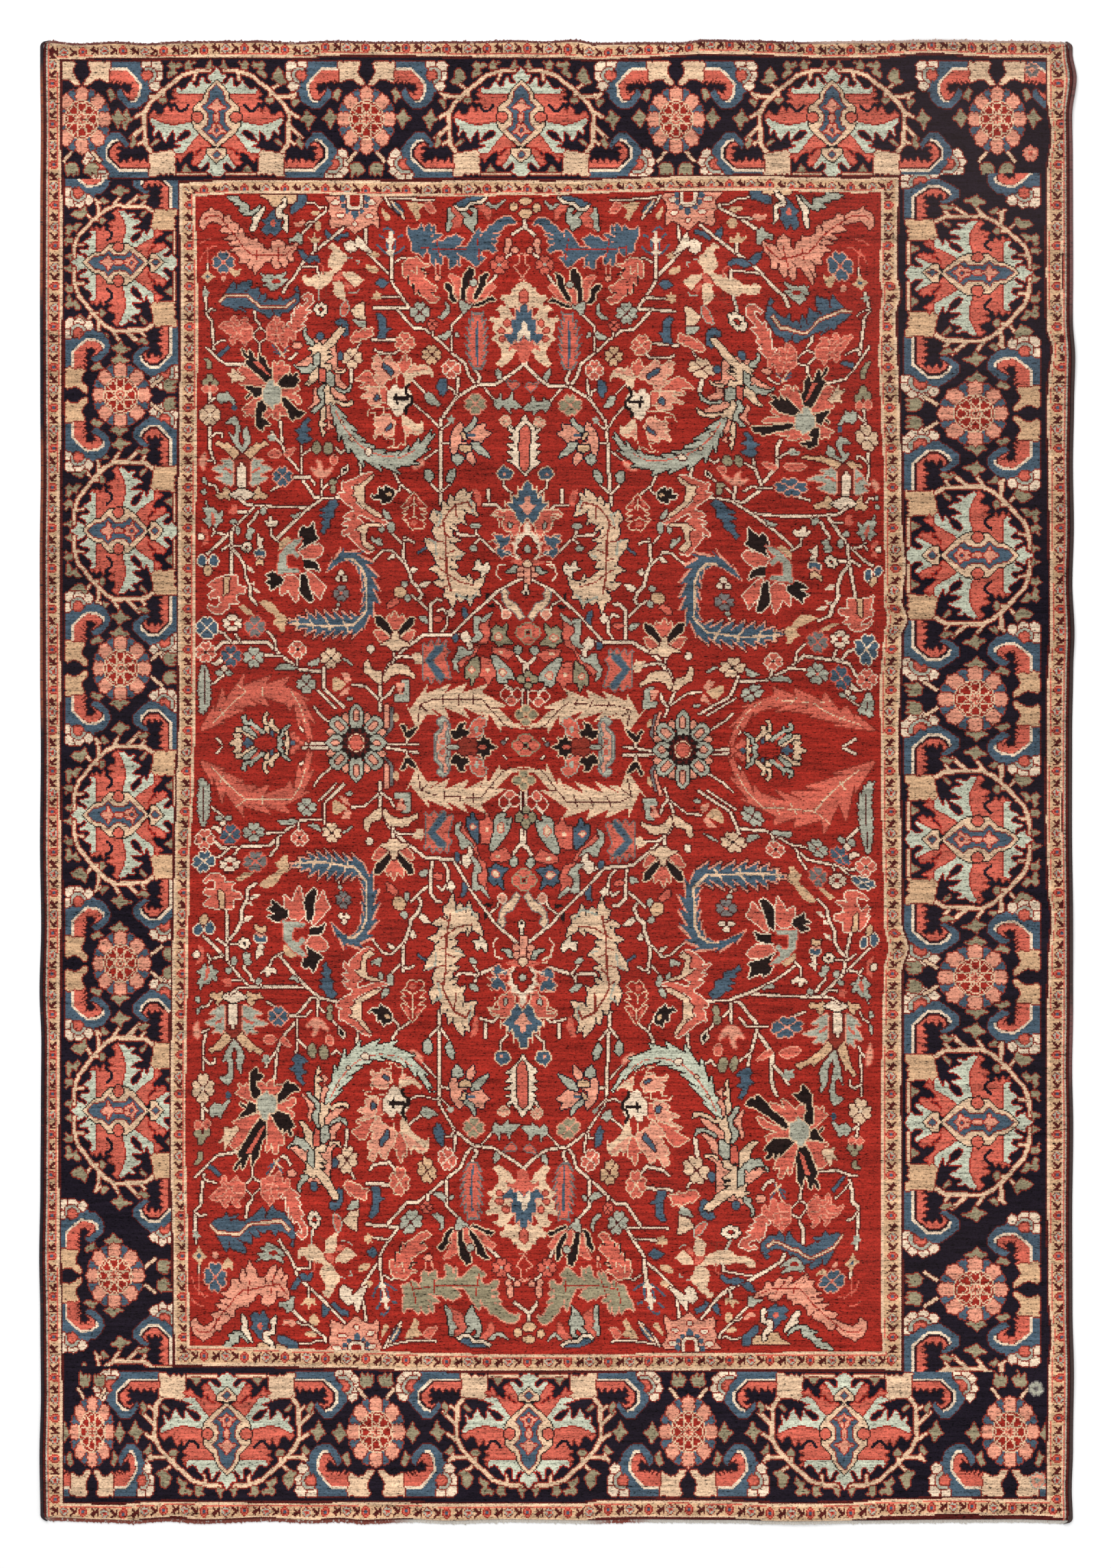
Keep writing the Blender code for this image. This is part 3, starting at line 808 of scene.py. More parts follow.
@dataclass(frozen=True)
class Quarters:
    """How the field's upper left quarter comes back, mirrored and uneven, in the other three.

    The pairs hold a place in the upper left quarter and where the weaver set it in another one.
    """

    axis: float = 770.0
    waist: float = 1090.0
    softness: float = 160.0
    fall: float = 1.6
    across: tuple = ((289, 300, 1287, 300), (292, 480, 1287, 470), (288, 650, 1292, 690), (288, 850, 1294, 860),
        (287, 1085, 1290, 1085), (369, 359, 1183, 356), (404, 320, 1152, 303), (512, 317, 1016, 311),
        (496, 397, 1035, 400), (382, 442, 1180, 482), (404, 413, 1169, 429), (350, 483, 1218, 510),
        (413, 486, 1145, 527), (399, 575, 1180, 615), (585, 585, 935, 590), (445, 629, 1099, 649),
        (356, 693, 1239, 705), (522, 747, 1015, 745), (436, 827, 1131, 838), (334, 859, 1260, 894),
        (426, 911, 1145, 928), (522, 1085, 1000, 1095), (388, 1085, 1128, 1088), (665, 1095, 860, 1097),
        (678, 355, 855, 355), (690, 416, 839, 419), (611, 407, 923, 407), (698, 496, 835, 496),
        (667, 799, 876, 799), (687, 645, 850, 645), (639, 967, 907, 980), (579, 932, 974, 942),
        (687, 308, 843, 308), (770, 300, 770, 302), (770, 500, 770, 500), (770, 700, 771, 700),
        (770, 900, 772, 900), (770, 1090, 770, 1090), (732, 388, 798, 388), (741, 588, 789, 591),
        (342, 910, 1229, 933), (303, 953, 1269, 994))
    down: tuple = ((289, 300, 277, 1965), (292, 480, 275, 1750), (288, 700, 279, 1480), (288, 850, 282, 1330),
        (288, 1000, 287, 1180), (287, 1090, 287, 1090), (369, 359, 356, 1900), (404, 320, 385, 1945),
        (512, 317, 515, 1951), (496, 397, 484, 1846), (382, 442, 369, 1795), (404, 413, 401, 1830),
        (350, 483, 337, 1741), (413, 486, 405, 1734), (399, 575, 391, 1616), (585, 585, 580, 1610),
        (356, 693, 343, 1486), (415, 696, 409, 1486), (436, 827, 445, 1359), (334, 859, 327, 1311),
        (426, 911, 430, 1262), (522, 1085, 522, 1095), (388, 1085, 388, 1095), (665, 1095, 665, 1095),
        (767, 483, 767, 1757), (678, 355, 674, 1888), (690, 416, 685, 1821), (611, 407, 591, 1840),
        (698, 496, 690, 1744), (667, 799, 667, 1405), (687, 645, 687, 1595), (639, 967, 643, 1215),
        (579, 932, 577, 1245), (770, 655, 767, 1588), (687, 308, 693, 1951), (764, 305, 770, 1945),
        (741, 588, 738, 1652), (773, 744, 766, 1490), (773, 792, 766, 1440), (773, 926, 767, 1286),
        (773, 1020, 770, 1165), (732, 388, 736, 1852))

    def drift(self, points: np.ndarray, pairs: tuple, flip: tuple[float, float],
              shift: tuple[float, float]) -> np.ndarray:
        """Mirror points and pull them towards where the weaver set their neighbours.

        Args:
            points: Places in the upper left quarter.
            pairs: The known pairs of places.
            flip: 1 or -1 for each axis.
            shift: What is added after the flip.

        Returns:
            The places in the other quarter.
        """
        known = np.array(pairs, dtype=float)
        home, away = known[:, :2], known[:, 2:]
        pull = away - (home * flip + shift)
        far = ((points[:, None, :] - home[None, :, :]) ** 2).sum(axis=-1)
        weight = (far + self.softness) ** -self.fall
        return points * flip + shift + (weight[..., None] * pull).sum(axis=1) / weight.sum(axis=1)[:, None]

    def right(self, points: np.ndarray) -> np.ndarray:
        """The points set in the upper right quarter."""
        return self.drift(points, self.across, (-1.0, 1.0), (2 * self.axis, 0.0))

    def low(self, points: np.ndarray) -> np.ndarray:
        """The points set in the lower left quarter."""
        return self.drift(points, self.down, (1.0, -1.0), (0.0, 2 * self.waist))

    def low_right(self, points: np.ndarray) -> np.ndarray:
        """The points set in the lower right quarter."""
        return self.right(points) + self.low(points) - points


class Field:
    """The red field: an all-over scroll of vines with large serrated leaves and palmettes.

    Every method draws the upper left quarter in the drawing's own places, and the pen sets it in
    all four.
    """

    # How wide a vine is knotted for the width that it is drawn with.
    VINE = 0.76

    # One petal of the small flowers, its length taken as 1, and the size of their eyes.
    PETAL = halved(0, 0.12, 0.4, 0.42, 0.5, 0.64, 0.47, 0.84, 0.26, 1, 0, 0.82)[0]
    EYE = 2.4

    def __init__(self, chart: Chart, bands: Bands) -> None:
        """Keep what the field is knotted into."""
        self.chart = chart
        self.bands = bands
        self.quarters = Quarters()

    def pen(self, yarn: Yarn, shapes: Shapes, edge: Yarn | None = None, low: Yarn | None = None) -> None:
        """Knot shapes in all four quarters.

        Args:
            yarn: What fills them.
            shapes: Their outlines in the upper left quarter.
            edge: What the line round them is knotted in, or None for no line.
            low: What fills them in the lower half, or None where it is the same.
        """
        quarters = self.quarters
        self.chart.paint(yarn, shapes + [quarters.right(shape) for shape in shapes], edge)
        self.chart.paint(yarn if low is None else low,
                         [quarters.low(shape) for shape in shapes]
                         + [quarters.low_right(shape) for shape in shapes], edge)

    def serrated(self, yarn: Yarn, shape: Shapes, edge: Yarn, depth: float, low: Yarn | None = None) -> None:
        """Knot a leaf whose notches are cut in further than its outline."""
        self.pen(yarn, shape, edge, low=low)
        self.pen(edge, nicks(shape, depth))

    def petals(self, yarn: Yarn, x: float, y: float, reach: float, edge: Yarn | None = None,
               heart: Yarn | None = None) -> None:
        """Knot a small flower of four heart-shaped petals.

        Args:
            yarn: What its petals are knotted in.
            x: Its middle, across.
            y: Its middle, down.
            reach: How far its petals reach.
            edge: What the line round them is knotted in, or None for no line.
            heart: What its eye is knotted in, or None for no eye.
        """
        side, out = (self.PETAL * reach).T
        for dx, dy in ((0, -1), (-1, 0), (1, 0), (0, 1)):
            self.pen(yarn, [np.column_stack((x + dx * out + dy * side, y + dy * out + dx * side))], edge)
        if heart is not None:
            self.pen(heart, disc(x, y, self.EYE))

    def knot(self) -> None:
        """Knot the whole field."""
        self.chart.mask = self.bands.field_mask
        self.vines()
        self.top_edge()
        self.upper_leaves()
        self.upper_flowers()
        self.sceptres()
        self.bursts()
        self.centre_palmettes()
        self.middle_vines()
        self.side_flowers()
        self.crescents()
        self.split_palmettes()
        self.pale_leaves()
        self.axis_palmette()
        self.axis_cluster()
        self.rosettes()
        self.wreaths()
        self.chart.mask = None

    def vines(self) -> None:
        """The cream vines of the upper half of a quarter."""
        runs = ((4.5, 505, 334, 465, 366, 445, 384, 441, 392, 430, 409, 423, 416, 415, 430),
            (3, 450, 298, 462, 298, 470, 305, 479, 304), (4, 479, 303, 478, 310, 462, 323, 443, 343),
            (2.6, 449, 329, 453, 325, 462, 324), (3, 444, 390, 466, 391, 468, 405), (3.5, 463, 368, 463, 355),
            (2, 469, 423, 469, 443), (4, 302, 418, 303, 440, 304, 460, 312, 470, 314, 500, 315, 512),
            (3, 304, 458, 311, 452, 318, 455), (3, 315, 505, 324, 499, 333, 497), (3, 306, 385, 306, 396),
            (4, 374, 454, 376, 468, 382, 475, 382, 479), (2.6, 382, 479, 373, 488, 373, 494, 382, 502, 393, 494,
            393, 487, 382, 479), (4, 382, 502, 381, 526), (3.5, 303, 508, 322, 526, 333, 533, 360, 533),
            (4, 309, 574, 309, 592), (3, 310, 588, 319, 580), (4, 309, 625, 309, 655, 314, 672, 318, 678),
            (3, 309, 641, 318, 633, 326, 634, 327, 640), (3, 314, 674, 300, 672),
            (4, 412, 616, 415, 650, 419, 664, 443, 692), (3.4, 414, 650, 403, 638, 396, 641),
            (3, 403, 638, 399, 630), (4.4, 443, 645, 443, 700, 455, 716, 462, 728, 500, 729),
            (3.4, 443, 666, 459, 656), (3.6, 432, 698, 455, 698, 463, 709), (4, 472, 700, 472, 728),
            (3, 474, 716, 482, 708), (3.4, 511, 655, 500, 663, 493, 655), (3, 503, 692, 492, 702),
            (3.6, 398, 718, 413, 710), (5, 515, 538, 516, 560), (3, 529, 502, 523, 511),
            (3, 562, 291, 638, 293), (4, 565, 289, 570, 298, 580, 310, 594, 320),
            (4.4, 536, 328, 537, 368, 573, 404), (5.5, 574, 373, 574, 410),
            (4.4, 574, 410, 578, 418, 588, 433, 601, 451, 547, 451), (3, 560, 434, 588, 435),
            (4.2, 582, 453, 607, 480, 622, 481, 640, 495, 662, 516), (3, 579, 384, 590, 377, 600, 380),
            (4, 545, 497, 580, 497), (4, 635, 482, 635, 492), (5, 770, 320, 768, 332, 750, 344),
            (4, 750, 371, 738, 379), (4.4, 730, 400, 716, 417), (4.6, 680, 458, 662, 477, 662, 516),
            (4.6, 662, 516, 682, 532, 688, 550, 698, 564), (5, 697, 541, 704, 553, 698, 564),
            (5, 698, 564, 727, 562, 757, 542, 772, 530), (5, 698, 564, 669, 582, 653, 605, 646, 616),
            (5.6, 646, 612, 646, 738), (3, 646, 628, 632, 612, 606, 590), (3, 604, 555, 626, 577),
            (3.6, 672, 552, 671, 575, 668, 582), (3.2, 655, 566, 665, 570, 668, 578), (3, 709, 566, 725, 586),
            (3, 648, 628, 661, 618), (4, 648, 648, 661, 648), (3, 642, 658, 618, 675),
            (3.4, 549, 511, 556, 516, 578, 518, 590, 509), (3.4, 646, 721, 632, 708), (3.4, 648, 719, 660, 708),
            (4, 578, 686, 580, 696, 587, 708), (3.6, 587, 708, 587, 716, 580, 721), (3.2, 587, 708, 605, 722),
            (3.4, 738, 700, 739, 712, 751, 722), (3, 748, 622, 754, 632), (4.4, 528, 668, 530, 694),
            (3.6, 305, 708, 316, 710, 322, 720), (4, 422, 526, 430, 524, 436, 516))
        for width, *spine in runs:
            self.pen(IVORY, straight(self.VINE * width, *spine), MAROON)
        for x, y in ((303, 429), (399, 640), (662, 614)):
            self.pen(MIST, star(x, y, 5, 7, 4))

    def top_edge(self) -> None:
        """The half blossoms that the upper and lower guards cut off."""
        self.pen(MIST, outline(333, 287, 352, 287, 352, 291, 358, 297, 366, 300, 367, 311, 375, 307, 386, 298,
            380, 308, 372, 315, 357, 316, 359, 312, 349, 309, 354, 306, 353, 301, 345, 300, 348, 296, 340, 295),
            BLACK)
        self.pen(IVORY, outline(390, 301, 382, 309, 376, 314, 370, 320, 373, 325, 369, 332, 368, 339, 374, 338,
            379, 331, 380, 324, 384, 318, 389, 306), BLACK)
        self.pen(CAMEL, outline(380, 286, 438, 286, 436, 296, 428, 299, 422, 298, 413, 296, 408, 302, 399, 302,
            395, 293), MAROON)
        self.pen(RUST, outline(422, 300, 427, 302, 426, 330, 422, 334, 420, 318, 412, 312))
        self.pen(IVORY, outline(421, 290, 414, 292, 417, 298, 407, 304, 405, 310, 402, 316, 410, 322, 416, 318,
            419, 326, 414, 334, 423, 341, 422, 316, 412, 312, 420, 302), BLACK)
        self.pen(BLUE, outline(438, 286, 450, 286, 449, 300, 440, 306, 434, 312, 427, 313, 426, 304, 432, 298,
            438, 296), MAROON)
        self.pen(BLUE, outline(405, 306, 398, 312, 393, 320, 385, 323, 391, 329, 384, 338, 392, 345, 398, 340,
            404, 347, 409, 340, 414, 335, 411, 328, 414, 322, 406, 322, 404, 315), MAROON)
        self.pen(CORAL, disc(401, 327, 4, 5))
        self.pen(MIST, outline(443, 343, 437, 341, 433, 347, 424, 351, 425, 355, 434, 353, 438, 358, 444, 358,
            443, 350), MAROON)
        self.pen(CAMEL, discs((463, 312, 6, 4), (467, 331, 5, 7)))
        self.pen(ROSE, outline(431, 325, 438, 327, 444, 322, 449, 326, 442, 333, 434, 333))
        # the coral half palmette with its blue cup
        self.pen(ROSE, outline(477, 287, 485, 300, 482, 310, 486, 318, 484, 328, 487, 335, 495, 333, 505, 330,
            512, 335, 521, 342, 530, 336, 540, 330, 548, 328, 556, 335, 556, 320, 552, 310, 556, 300, 562, 292,
            556, 287), MAROON)
        self.pen(IVORY, discs((493, 297, 6, 4), (500, 316, 6, 3), (545, 297, 6, 4), (542, 317, 6, 3)), MADDER)
        self.pen(BLUE, discs((503, 291, 5), (504, 302, 4), (510, 309, 4), (521, 312, 5, 9), (538, 291, 5),
            (537, 302, 4), (531, 309, 4)))
        self.pen(IVORY, outline(508, 286, 509, 304, 515, 308, 526, 308, 532, 304, 533, 286), MAROON)
        self.pen(MADDER, outline(513, 286, 513, 300, 516, 303, 525, 303, 528, 300, 528, 286))
        self.pen(IVORY, disc(521, 328, 3.4), MADDER)
        self.pen(BLUE, moved(disc(0, 0, 12, 5), 583, 305, 50), MAROON)
        self.pen(CREAM, straight(3, 574, 295, 592, 316))
        self.pen(CAMEL, outline(596, 296, 606, 296, 622, 300, 614, 308, 618, 318, 612, 324, 606, 312, 600, 305))
        self.pen(CORAL, outline(622, 300, 630, 296, 640, 312, 628, 310), ROSE)
        self.pen(CAMEL, outline(559, 303, 565, 310, 573, 317, 572, 322, 566, 324, 560, 312))
        # the curled half motif beside the axis
        self.pen(MIST, outline(656, 305, 662, 304, 663, 312, 668, 318, 663, 324, 664, 330, 658, 338, 654, 339,
            656, 325), BLACK)
        self.pen(CORAL, outlines((664, 302, 672, 308, 678, 314, 680, 322, 676, 331, 666, 334, 661, 338,
            665, 330, 664, 323, 669, 316, 663, 311), (694, 303, 704, 301, 712, 297, 720, 306, 719, 320,
            714, 322, 708, 311)), RUST)
        self.pen(MIST, outline(674, 309, 684, 311, 691, 318, 694, 312, 687, 304, 697, 304, 700, 314, 700, 325,
            695, 332, 694, 340, 688, 335, 680, 328, 679, 321, 684, 320), BLACK)
        self.pen(BLUE, outline(664, 299, 673, 296, 680, 292, 690, 289, 712, 288, 700, 295, 688, 298, 680, 303,
            668, 304), MAROON)
        self.pen(IVORY, straight(4, 667, 301, 673, 307, 682, 307, 690, 298, 704, 297, 714, 289), BLACK)
        self.pen(MIST, outline(710, 298, 718, 297, 724, 302, 733, 297, 742, 291, 736, 299, 728, 306, 720, 305),
            MAROON)
        self.pen(CAMEL, discs((770, 294, 9, 4), (753, 303, 6), (770, 312, 9, 6)), MAROON)

    def upper_leaves(self) -> None:
        """The large serrated leaves near the ends."""
        self.serrated(ROSE, outline(300, 337, 294, 332, 295, 322, 300, 313, 309, 308, 311, 303, 316, 308,
            324, 310, 330, 318, 337, 315, 340, 324, 350, 328, 352, 335, 358, 334, 359, 345, 366, 350, 372, 351,
            378, 349, 380, 356, 387, 358, 388, 364, 393, 366, 399, 363, 399, 355, 409, 351, 417, 355, 420, 361,
            430, 359, 437, 355, 436, 365, 430, 370, 430, 376, 432, 384, 424, 382, 420, 392, 413, 388, 410, 395,
            403, 392, 398, 382, 389, 383, 384, 392, 378, 397, 375, 402, 371, 393, 366, 395, 364, 385, 352, 385,
            353, 378, 345, 368, 338, 368, 348, 361, 335, 358, 344, 352, 330, 351, 341, 343, 322, 339, 330, 331,
            320, 326, 312, 324, 304, 330), MAROON, 6)
        self.pen(MADDER, strokes(1.8, (301, 322, 307, 317, 323, 317, 335, 332, 343, 342, 350, 350, 358, 362,
            370, 373, 420, 373, 434, 361), (378, 366, 378, 382), (410, 361, 410, 384)))
        self.serrated(BLUE, outline(322, 442, 330, 432, 338, 420, 344, 412, 349, 418, 355, 414, 362, 412,
            370, 410, 371, 416, 366, 424, 372, 424, 380, 421, 383, 432, 392, 430, 392, 438, 400, 437, 402, 441,
            408, 441, 411, 434, 416, 440, 424, 438, 432, 432, 436, 428, 433, 422, 437, 419, 440, 430, 440, 442,
            432, 450, 425, 457, 415, 458, 410, 464, 402, 459, 396, 466, 388, 460, 378, 455, 370, 450, 357, 451,
            364, 458, 350, 452, 346, 456, 340, 450, 330, 448), MAROON, 6)
        self.pen(CREAM, straight(2.8, 322, 442, 333, 433, 364, 433, 382, 449, 421, 449, 433, 439), RUST)
        self.serrated(BLUE, outline(598, 331, 603, 337, 611, 337, 618, 329, 622, 334, 630, 327, 633, 334,
            638, 329, 638, 340, 636, 344, 650, 342, 638, 353, 650, 353, 657, 346, 660, 348, 668, 343, 672, 347,
            680, 349, 672, 361, 684, 361, 690, 352, 696, 342, 702, 335, 706, 342, 713, 338, 717, 331, 724, 328,
            730, 322, 738, 318, 748, 317, 754, 322, 757, 330, 750, 327, 741, 330, 735, 337, 727, 342, 734, 343,
            725, 350, 730, 353, 724, 358, 729, 368, 722, 370, 716, 365, 708, 366, 704, 374, 712, 378, 704, 384,
            700, 390, 694, 388, 688, 382, 680, 376, 674, 375, 675, 390, 670, 387, 664, 392, 659, 393, 660, 380,
            655, 375, 648, 375, 648, 388, 640, 384, 636, 390, 632, 383, 632, 374, 626, 368, 620, 376, 612, 370,
            604, 368, 604, 355, 599, 345), ROSE, 5, low=SAGE)
        self.pen(MADDER, strokes(1.6, (616, 362, 640, 365, 705, 364), (617, 342, 617, 376),
            (700, 350, 703, 380), (640, 350, 645, 376)))
        self.pen(CORAL, outline(592, 405, 592, 386, 597, 380, 604, 379, 611, 377, 616, 381, 621, 387, 630, 388,
            620, 392, 620, 398, 627, 400, 620, 408, 627, 411, 634, 417, 641, 420, 637, 427, 630, 427, 636, 434,
            644, 437, 638, 443, 629, 441, 622, 434, 614, 430, 614, 424, 609, 431, 607, 412, 602, 418, 600, 402,
            596, 406), CREAM)
        self.pen(BLACK, straight(3, 618, 393, 623, 397) + straight(2.6, 621, 401, 630, 402)
            + straight(3, 631, 428, 637, 428) + strokes(2.4, (606, 415, 607, 430), (614, 424, 615, 431),
            (599, 404, 599, 417)))
        self.pen(CREAM, straight(1.6, 600, 386, 600, 400) + straight(1.8, 611, 389, 611, 403)
            + straight(1.6, 602, 395, 609, 401))
        self.pen(SLATE, leaf((700, 541, 699, 500, 700, 457), (11, 18, 19, 17, 10), teeth=7, bite=0.42,
            hook=0.3))
        self.pen(CORAL, leaf((700, 538, 699, 500, 700, 461), (9, 14.5, 15.5, 13.5, 7), teeth=7, bite=0.52,
            hook=0.3))
        self.pen(BLUE, leaf((700, 536, 699, 500, 700, 470), (1.4, 1.6, 1.4)))
        self.pen(CORAL, outline(433, 486, 425, 480, 423, 471, 430, 475, 430, 458, 433, 464, 434, 451, 437, 454,
            441, 446, 444, 449, 450, 444, 453, 439, 451, 434, 446, 438, 444, 435, 452, 429, 459, 433, 460, 443,
            453, 449, 449, 454, 456, 456, 449, 461, 446, 466, 452, 466, 446, 471, 441, 476, 449, 476, 442, 481),
            IVORY)
        blossoms = outlines((322, 478, 328, 473, 333, 471, 339, 472, 341, 466, 343, 463, 348, 463, 345, 468,
            351, 471, 352, 479, 357, 473, 356, 468, 361, 465, 365, 466, 362, 471, 368, 476, 371, 482, 371, 494,
            366, 498, 360, 500, 363, 506, 359, 505, 357, 500, 350, 495, 345, 497, 346, 504, 342, 505, 339, 498,
            341, 490, 334, 487, 330, 482), (394, 498, 394, 478, 398, 472, 404, 468, 405, 464, 410, 467,
            409, 474, 414, 471, 418, 471, 415, 480, 422, 478, 430, 484, 434, 488, 434, 497, 430, 498, 428, 492,
            424, 492, 422, 500, 420, 508, 416, 506, 412, 500, 408, 502, 405, 503, 398, 498))
        for shape in blossoms:
            self.pen(CORAL, [shape], ROSE)
        self.pen(ROSE, strokes(1.8, (330, 475, 342, 478, 348, 487, 358, 492), (341, 470, 350, 478),
            (353, 490, 356, 481, 370, 482), (342, 496, 349, 488), (396, 480, 407, 484, 409, 491, 397, 489),
            (409, 490, 418, 486, 415, 480), (409, 490, 412, 502)) + straight(1.6, 404, 470, 408, 484))
        self.pen(MIST, outline(380, 399, 390, 404, 393, 401, 404, 404, 414, 401, 422, 397, 419, 404, 412, 409,
            424, 408, 416, 417, 405, 424, 399, 426, 394, 420, 388, 418, 395, 413, 384, 411, 389, 406), MAROON)
        self.pen(MADDER, disc(406, 412, 7, 3.5))

    def upper_flowers(self) -> None:
        """The small and middling flowers of the upper half of a quarter."""
        blue_leaves = outlines((477, 336, 483, 340, 487, 346, 480, 350, 478, 343),
            (490, 351, 500, 343, 511, 341, 512, 347, 502, 348, 495, 353), (438, 366, 445, 367, 452, 376,
            447, 381, 440, 372), (449, 382, 455, 375, 465, 374, 470, 381, 469, 386, 462, 381, 455, 385),
            (550, 415, 556, 409, 563, 408, 570, 414, 563, 422, 558, 420), (552, 460, 558, 459, 566, 466,
            567, 480, 575, 481, 568, 485, 565, 495, 553, 495, 557, 485, 556, 470),
            (452, 611, 457, 614, 452, 618, 450, 624, 459, 628, 451, 632, 452, 638, 460, 641, 453, 646, 443, 649,
            436, 642, 441, 636, 433, 630, 441, 626, 444, 618), (645, 555, 655, 553, 656, 570, 650, 579,
            645, 578, 645, 572, 640, 568, 641, 562)) + straight(5, 322, 521, 337, 507)
        self.pen(BLUE, blue_leaves, MAROON)
        pale = outline(452, 347, 458, 355, 470, 355, 471, 347, 465, 350, 462, 341, 459, 350) + star(306, 405, 4,
            11, 6) + outlines((336, 392, 348, 396, 355, 393, 352, 403, 346, 406, 340, 400),
            (540, 366, 548, 368, 558, 372, 556, 377, 550, 378, 544, 374), (538, 387, 550, 390, 556, 396,
            554, 400, 546, 400, 536, 393)) + star(553, 433, 6, 9, 5)
        self.pen(CAMEL, pale)
        self.pen(BLUE, disc(306, 405, 2.6))
        self.petals(BLUE, 329, 384, 16, ROSE, CORAL)
        self.pen(ROSE, disc(329, 408, 4))
        self.pen(CORAL, straight(1.8, 305, 362, 305, 386) + strokes(1.6, (294, 358, 302, 352, 312, 349),
            (305, 368, 314, 360, 320, 362), (295, 382, 299, 372, 305, 366)))
        # the iris
        self.pen(CREAM, outlines((481, 363, 484, 357, 491, 356, 493, 360, 498, 362, 502, 369, 508, 372,
            510, 381, 505, 385, 501, 393, 501, 396, 490, 396, 483, 391, 481, 384, 484, 376, 488, 368, 486, 363),
            (444, 405, 449, 402, 452, 407, 458, 407, 462, 402, 467, 401, 468, 406, 473, 396, 478, 399, 484, 397,
            492, 394, 500, 395, 492, 400, 488, 406, 487, 411, 480, 417, 473, 423, 467, 424, 463, 423, 460, 418,
            452, 419, 446, 414), (504, 397, 508, 399, 520, 398, 525, 403, 532, 408, 535, 409, 528, 416,
            521, 421, 518, 418, 511, 412, 504, 404), (488, 413, 496, 411, 503, 413, 506, 424, 507, 440,
            502, 439, 494, 434, 489, 428, 490, 420)))
        self.pen(CORAL, outlines((488, 410, 492, 402, 500, 397, 503, 398, 502, 408, 496, 412),
            (504, 411, 512, 415, 519, 422, 512, 425, 506, 420)) + straight(1.8, 467, 388, 470, 386, 474, 390,
            474, 402))
        self.pen(MIST, straight(1.8, 468, 424, 468, 440) + straight(1.6, 510, 378, 517, 378)
            + strokes(1.8, (525, 388, 528, 382, 522, 382), (512, 429, 524, 428, 528, 423)))
        self.pen(RUST, strokes(1.8, (470, 438, 480, 434, 488, 428), (478, 420, 478, 432)))
        self.pen(IVORY, ring(disc(7, 0, 3.2), 7, 20, 471, 453), BLACK)
        self.pen(MADDER, disc(471, 453, 2.6))
        # the blue and ivory flower
        self.pen(BLUE, strokes(3, (562, 338, 567, 334, 573, 336, 578, 342), (556, 344, 564, 349),
            (592, 344, 583, 348), (553, 358, 560, 366, 570, 373), (594, 361, 586, 368, 577, 373),
            (567, 352, 569, 366), (580, 352, 579, 366)))
        self.pen(IVORY, outline(571, 339, 576, 339, 576, 348, 582, 350, 576, 356, 575, 366, 581, 368, 575, 374,
            572, 374, 565, 368, 571, 366, 571, 356, 564, 351, 571, 349))
        for yarn, x, y, reach, edge, heart in (
                (MIST, 616, 457, 15, MAROON, None),
                (CORAL, 732, 388, 13.4, MAROON, MIST),
                (CAMEL, 633, 519, 14, MAROON, None),
                (CORAL, 662, 540, 12.8, IVORY, None),
                (CORAL, 594, 501, 13.6, CREAM, None),
                (SAGE, 697, 591, 15, ROSE, None),
                (CORAL, 634, 475, 7.5, MAROON, None),
                (CREAM, 309, 607, 16, MAROON, IVORY),
                (CREAM, 517, 524, 15, MAROON, None),
                (BLUE, 415, 697, 14.1, ROSE, None),
                (ROSE, 741, 616, 7.4, CREAM, None)):
            self.petals(yarn, x, y, reach, edge, heart)
        self.pen(ROSE, discs((642, 407, 4), (745, 356, 4.6, 8), (742, 367, 3.6, 5), (755, 366, 4.6, 4),
            (437, 506, 7, 5)), MAROON)
        self.pen(ROSE, strokes(2, (638, 390, 640, 402), (646, 390, 645, 402)))
        # the tulip with dark petals
        self.pen(CORAL, outlines((658, 402, 666, 403, 675, 408, 676, 425, 674, 438, 669, 436, 668, 420,
            663, 410), (688, 420, 694, 420, 696, 430, 694, 443, 686, 443, 685, 430),
            (716, 418, 722, 415, 727, 420, 718, 427, 712, 435, 706, 444, 698, 444, 704, 434, 710, 425)), ROSE)
        self.pen(BLACK, outlines((652, 416, 657, 414, 664, 422, 664, 430, 668, 438, 672, 443, 665, 443,
            660, 438, 658, 428, 652, 420), (680, 400, 685, 396, 687, 391, 694, 394, 694, 404, 690, 410,
            688, 418, 683, 424, 683, 440, 677, 440, 676, 425, 678, 415), (711, 400, 717, 399, 713, 408,
            712, 416, 706, 426, 700, 436, 694, 440, 694, 432, 699, 424, 703, 414, 703, 406),
            (722, 434, 727, 440, 716, 441, 708, 446, 700, 449, 692, 448, 700, 444, 710, 440, 716, 436)), CREAM)
        self.pen(MIST, disc(694, 414, 5.5, 5) + outline(674, 440, 680, 441, 688, 447, 694, 443, 690, 450,
            684, 455, 682, 460, 679, 460, 674, 450), MAROON)
        self.pen(MIST, outlines((643, 492, 652, 488, 659, 483, 662, 490, 655, 497, 647, 496),
            (666, 486, 670, 486, 674, 494, 668, 493), (646, 462, 655, 452, 653, 442, 658, 446, 658, 460,
            650, 467, 641, 466), (728, 538, 735, 544, 736, 552, 730, 556, 727, 548)), MAROON)
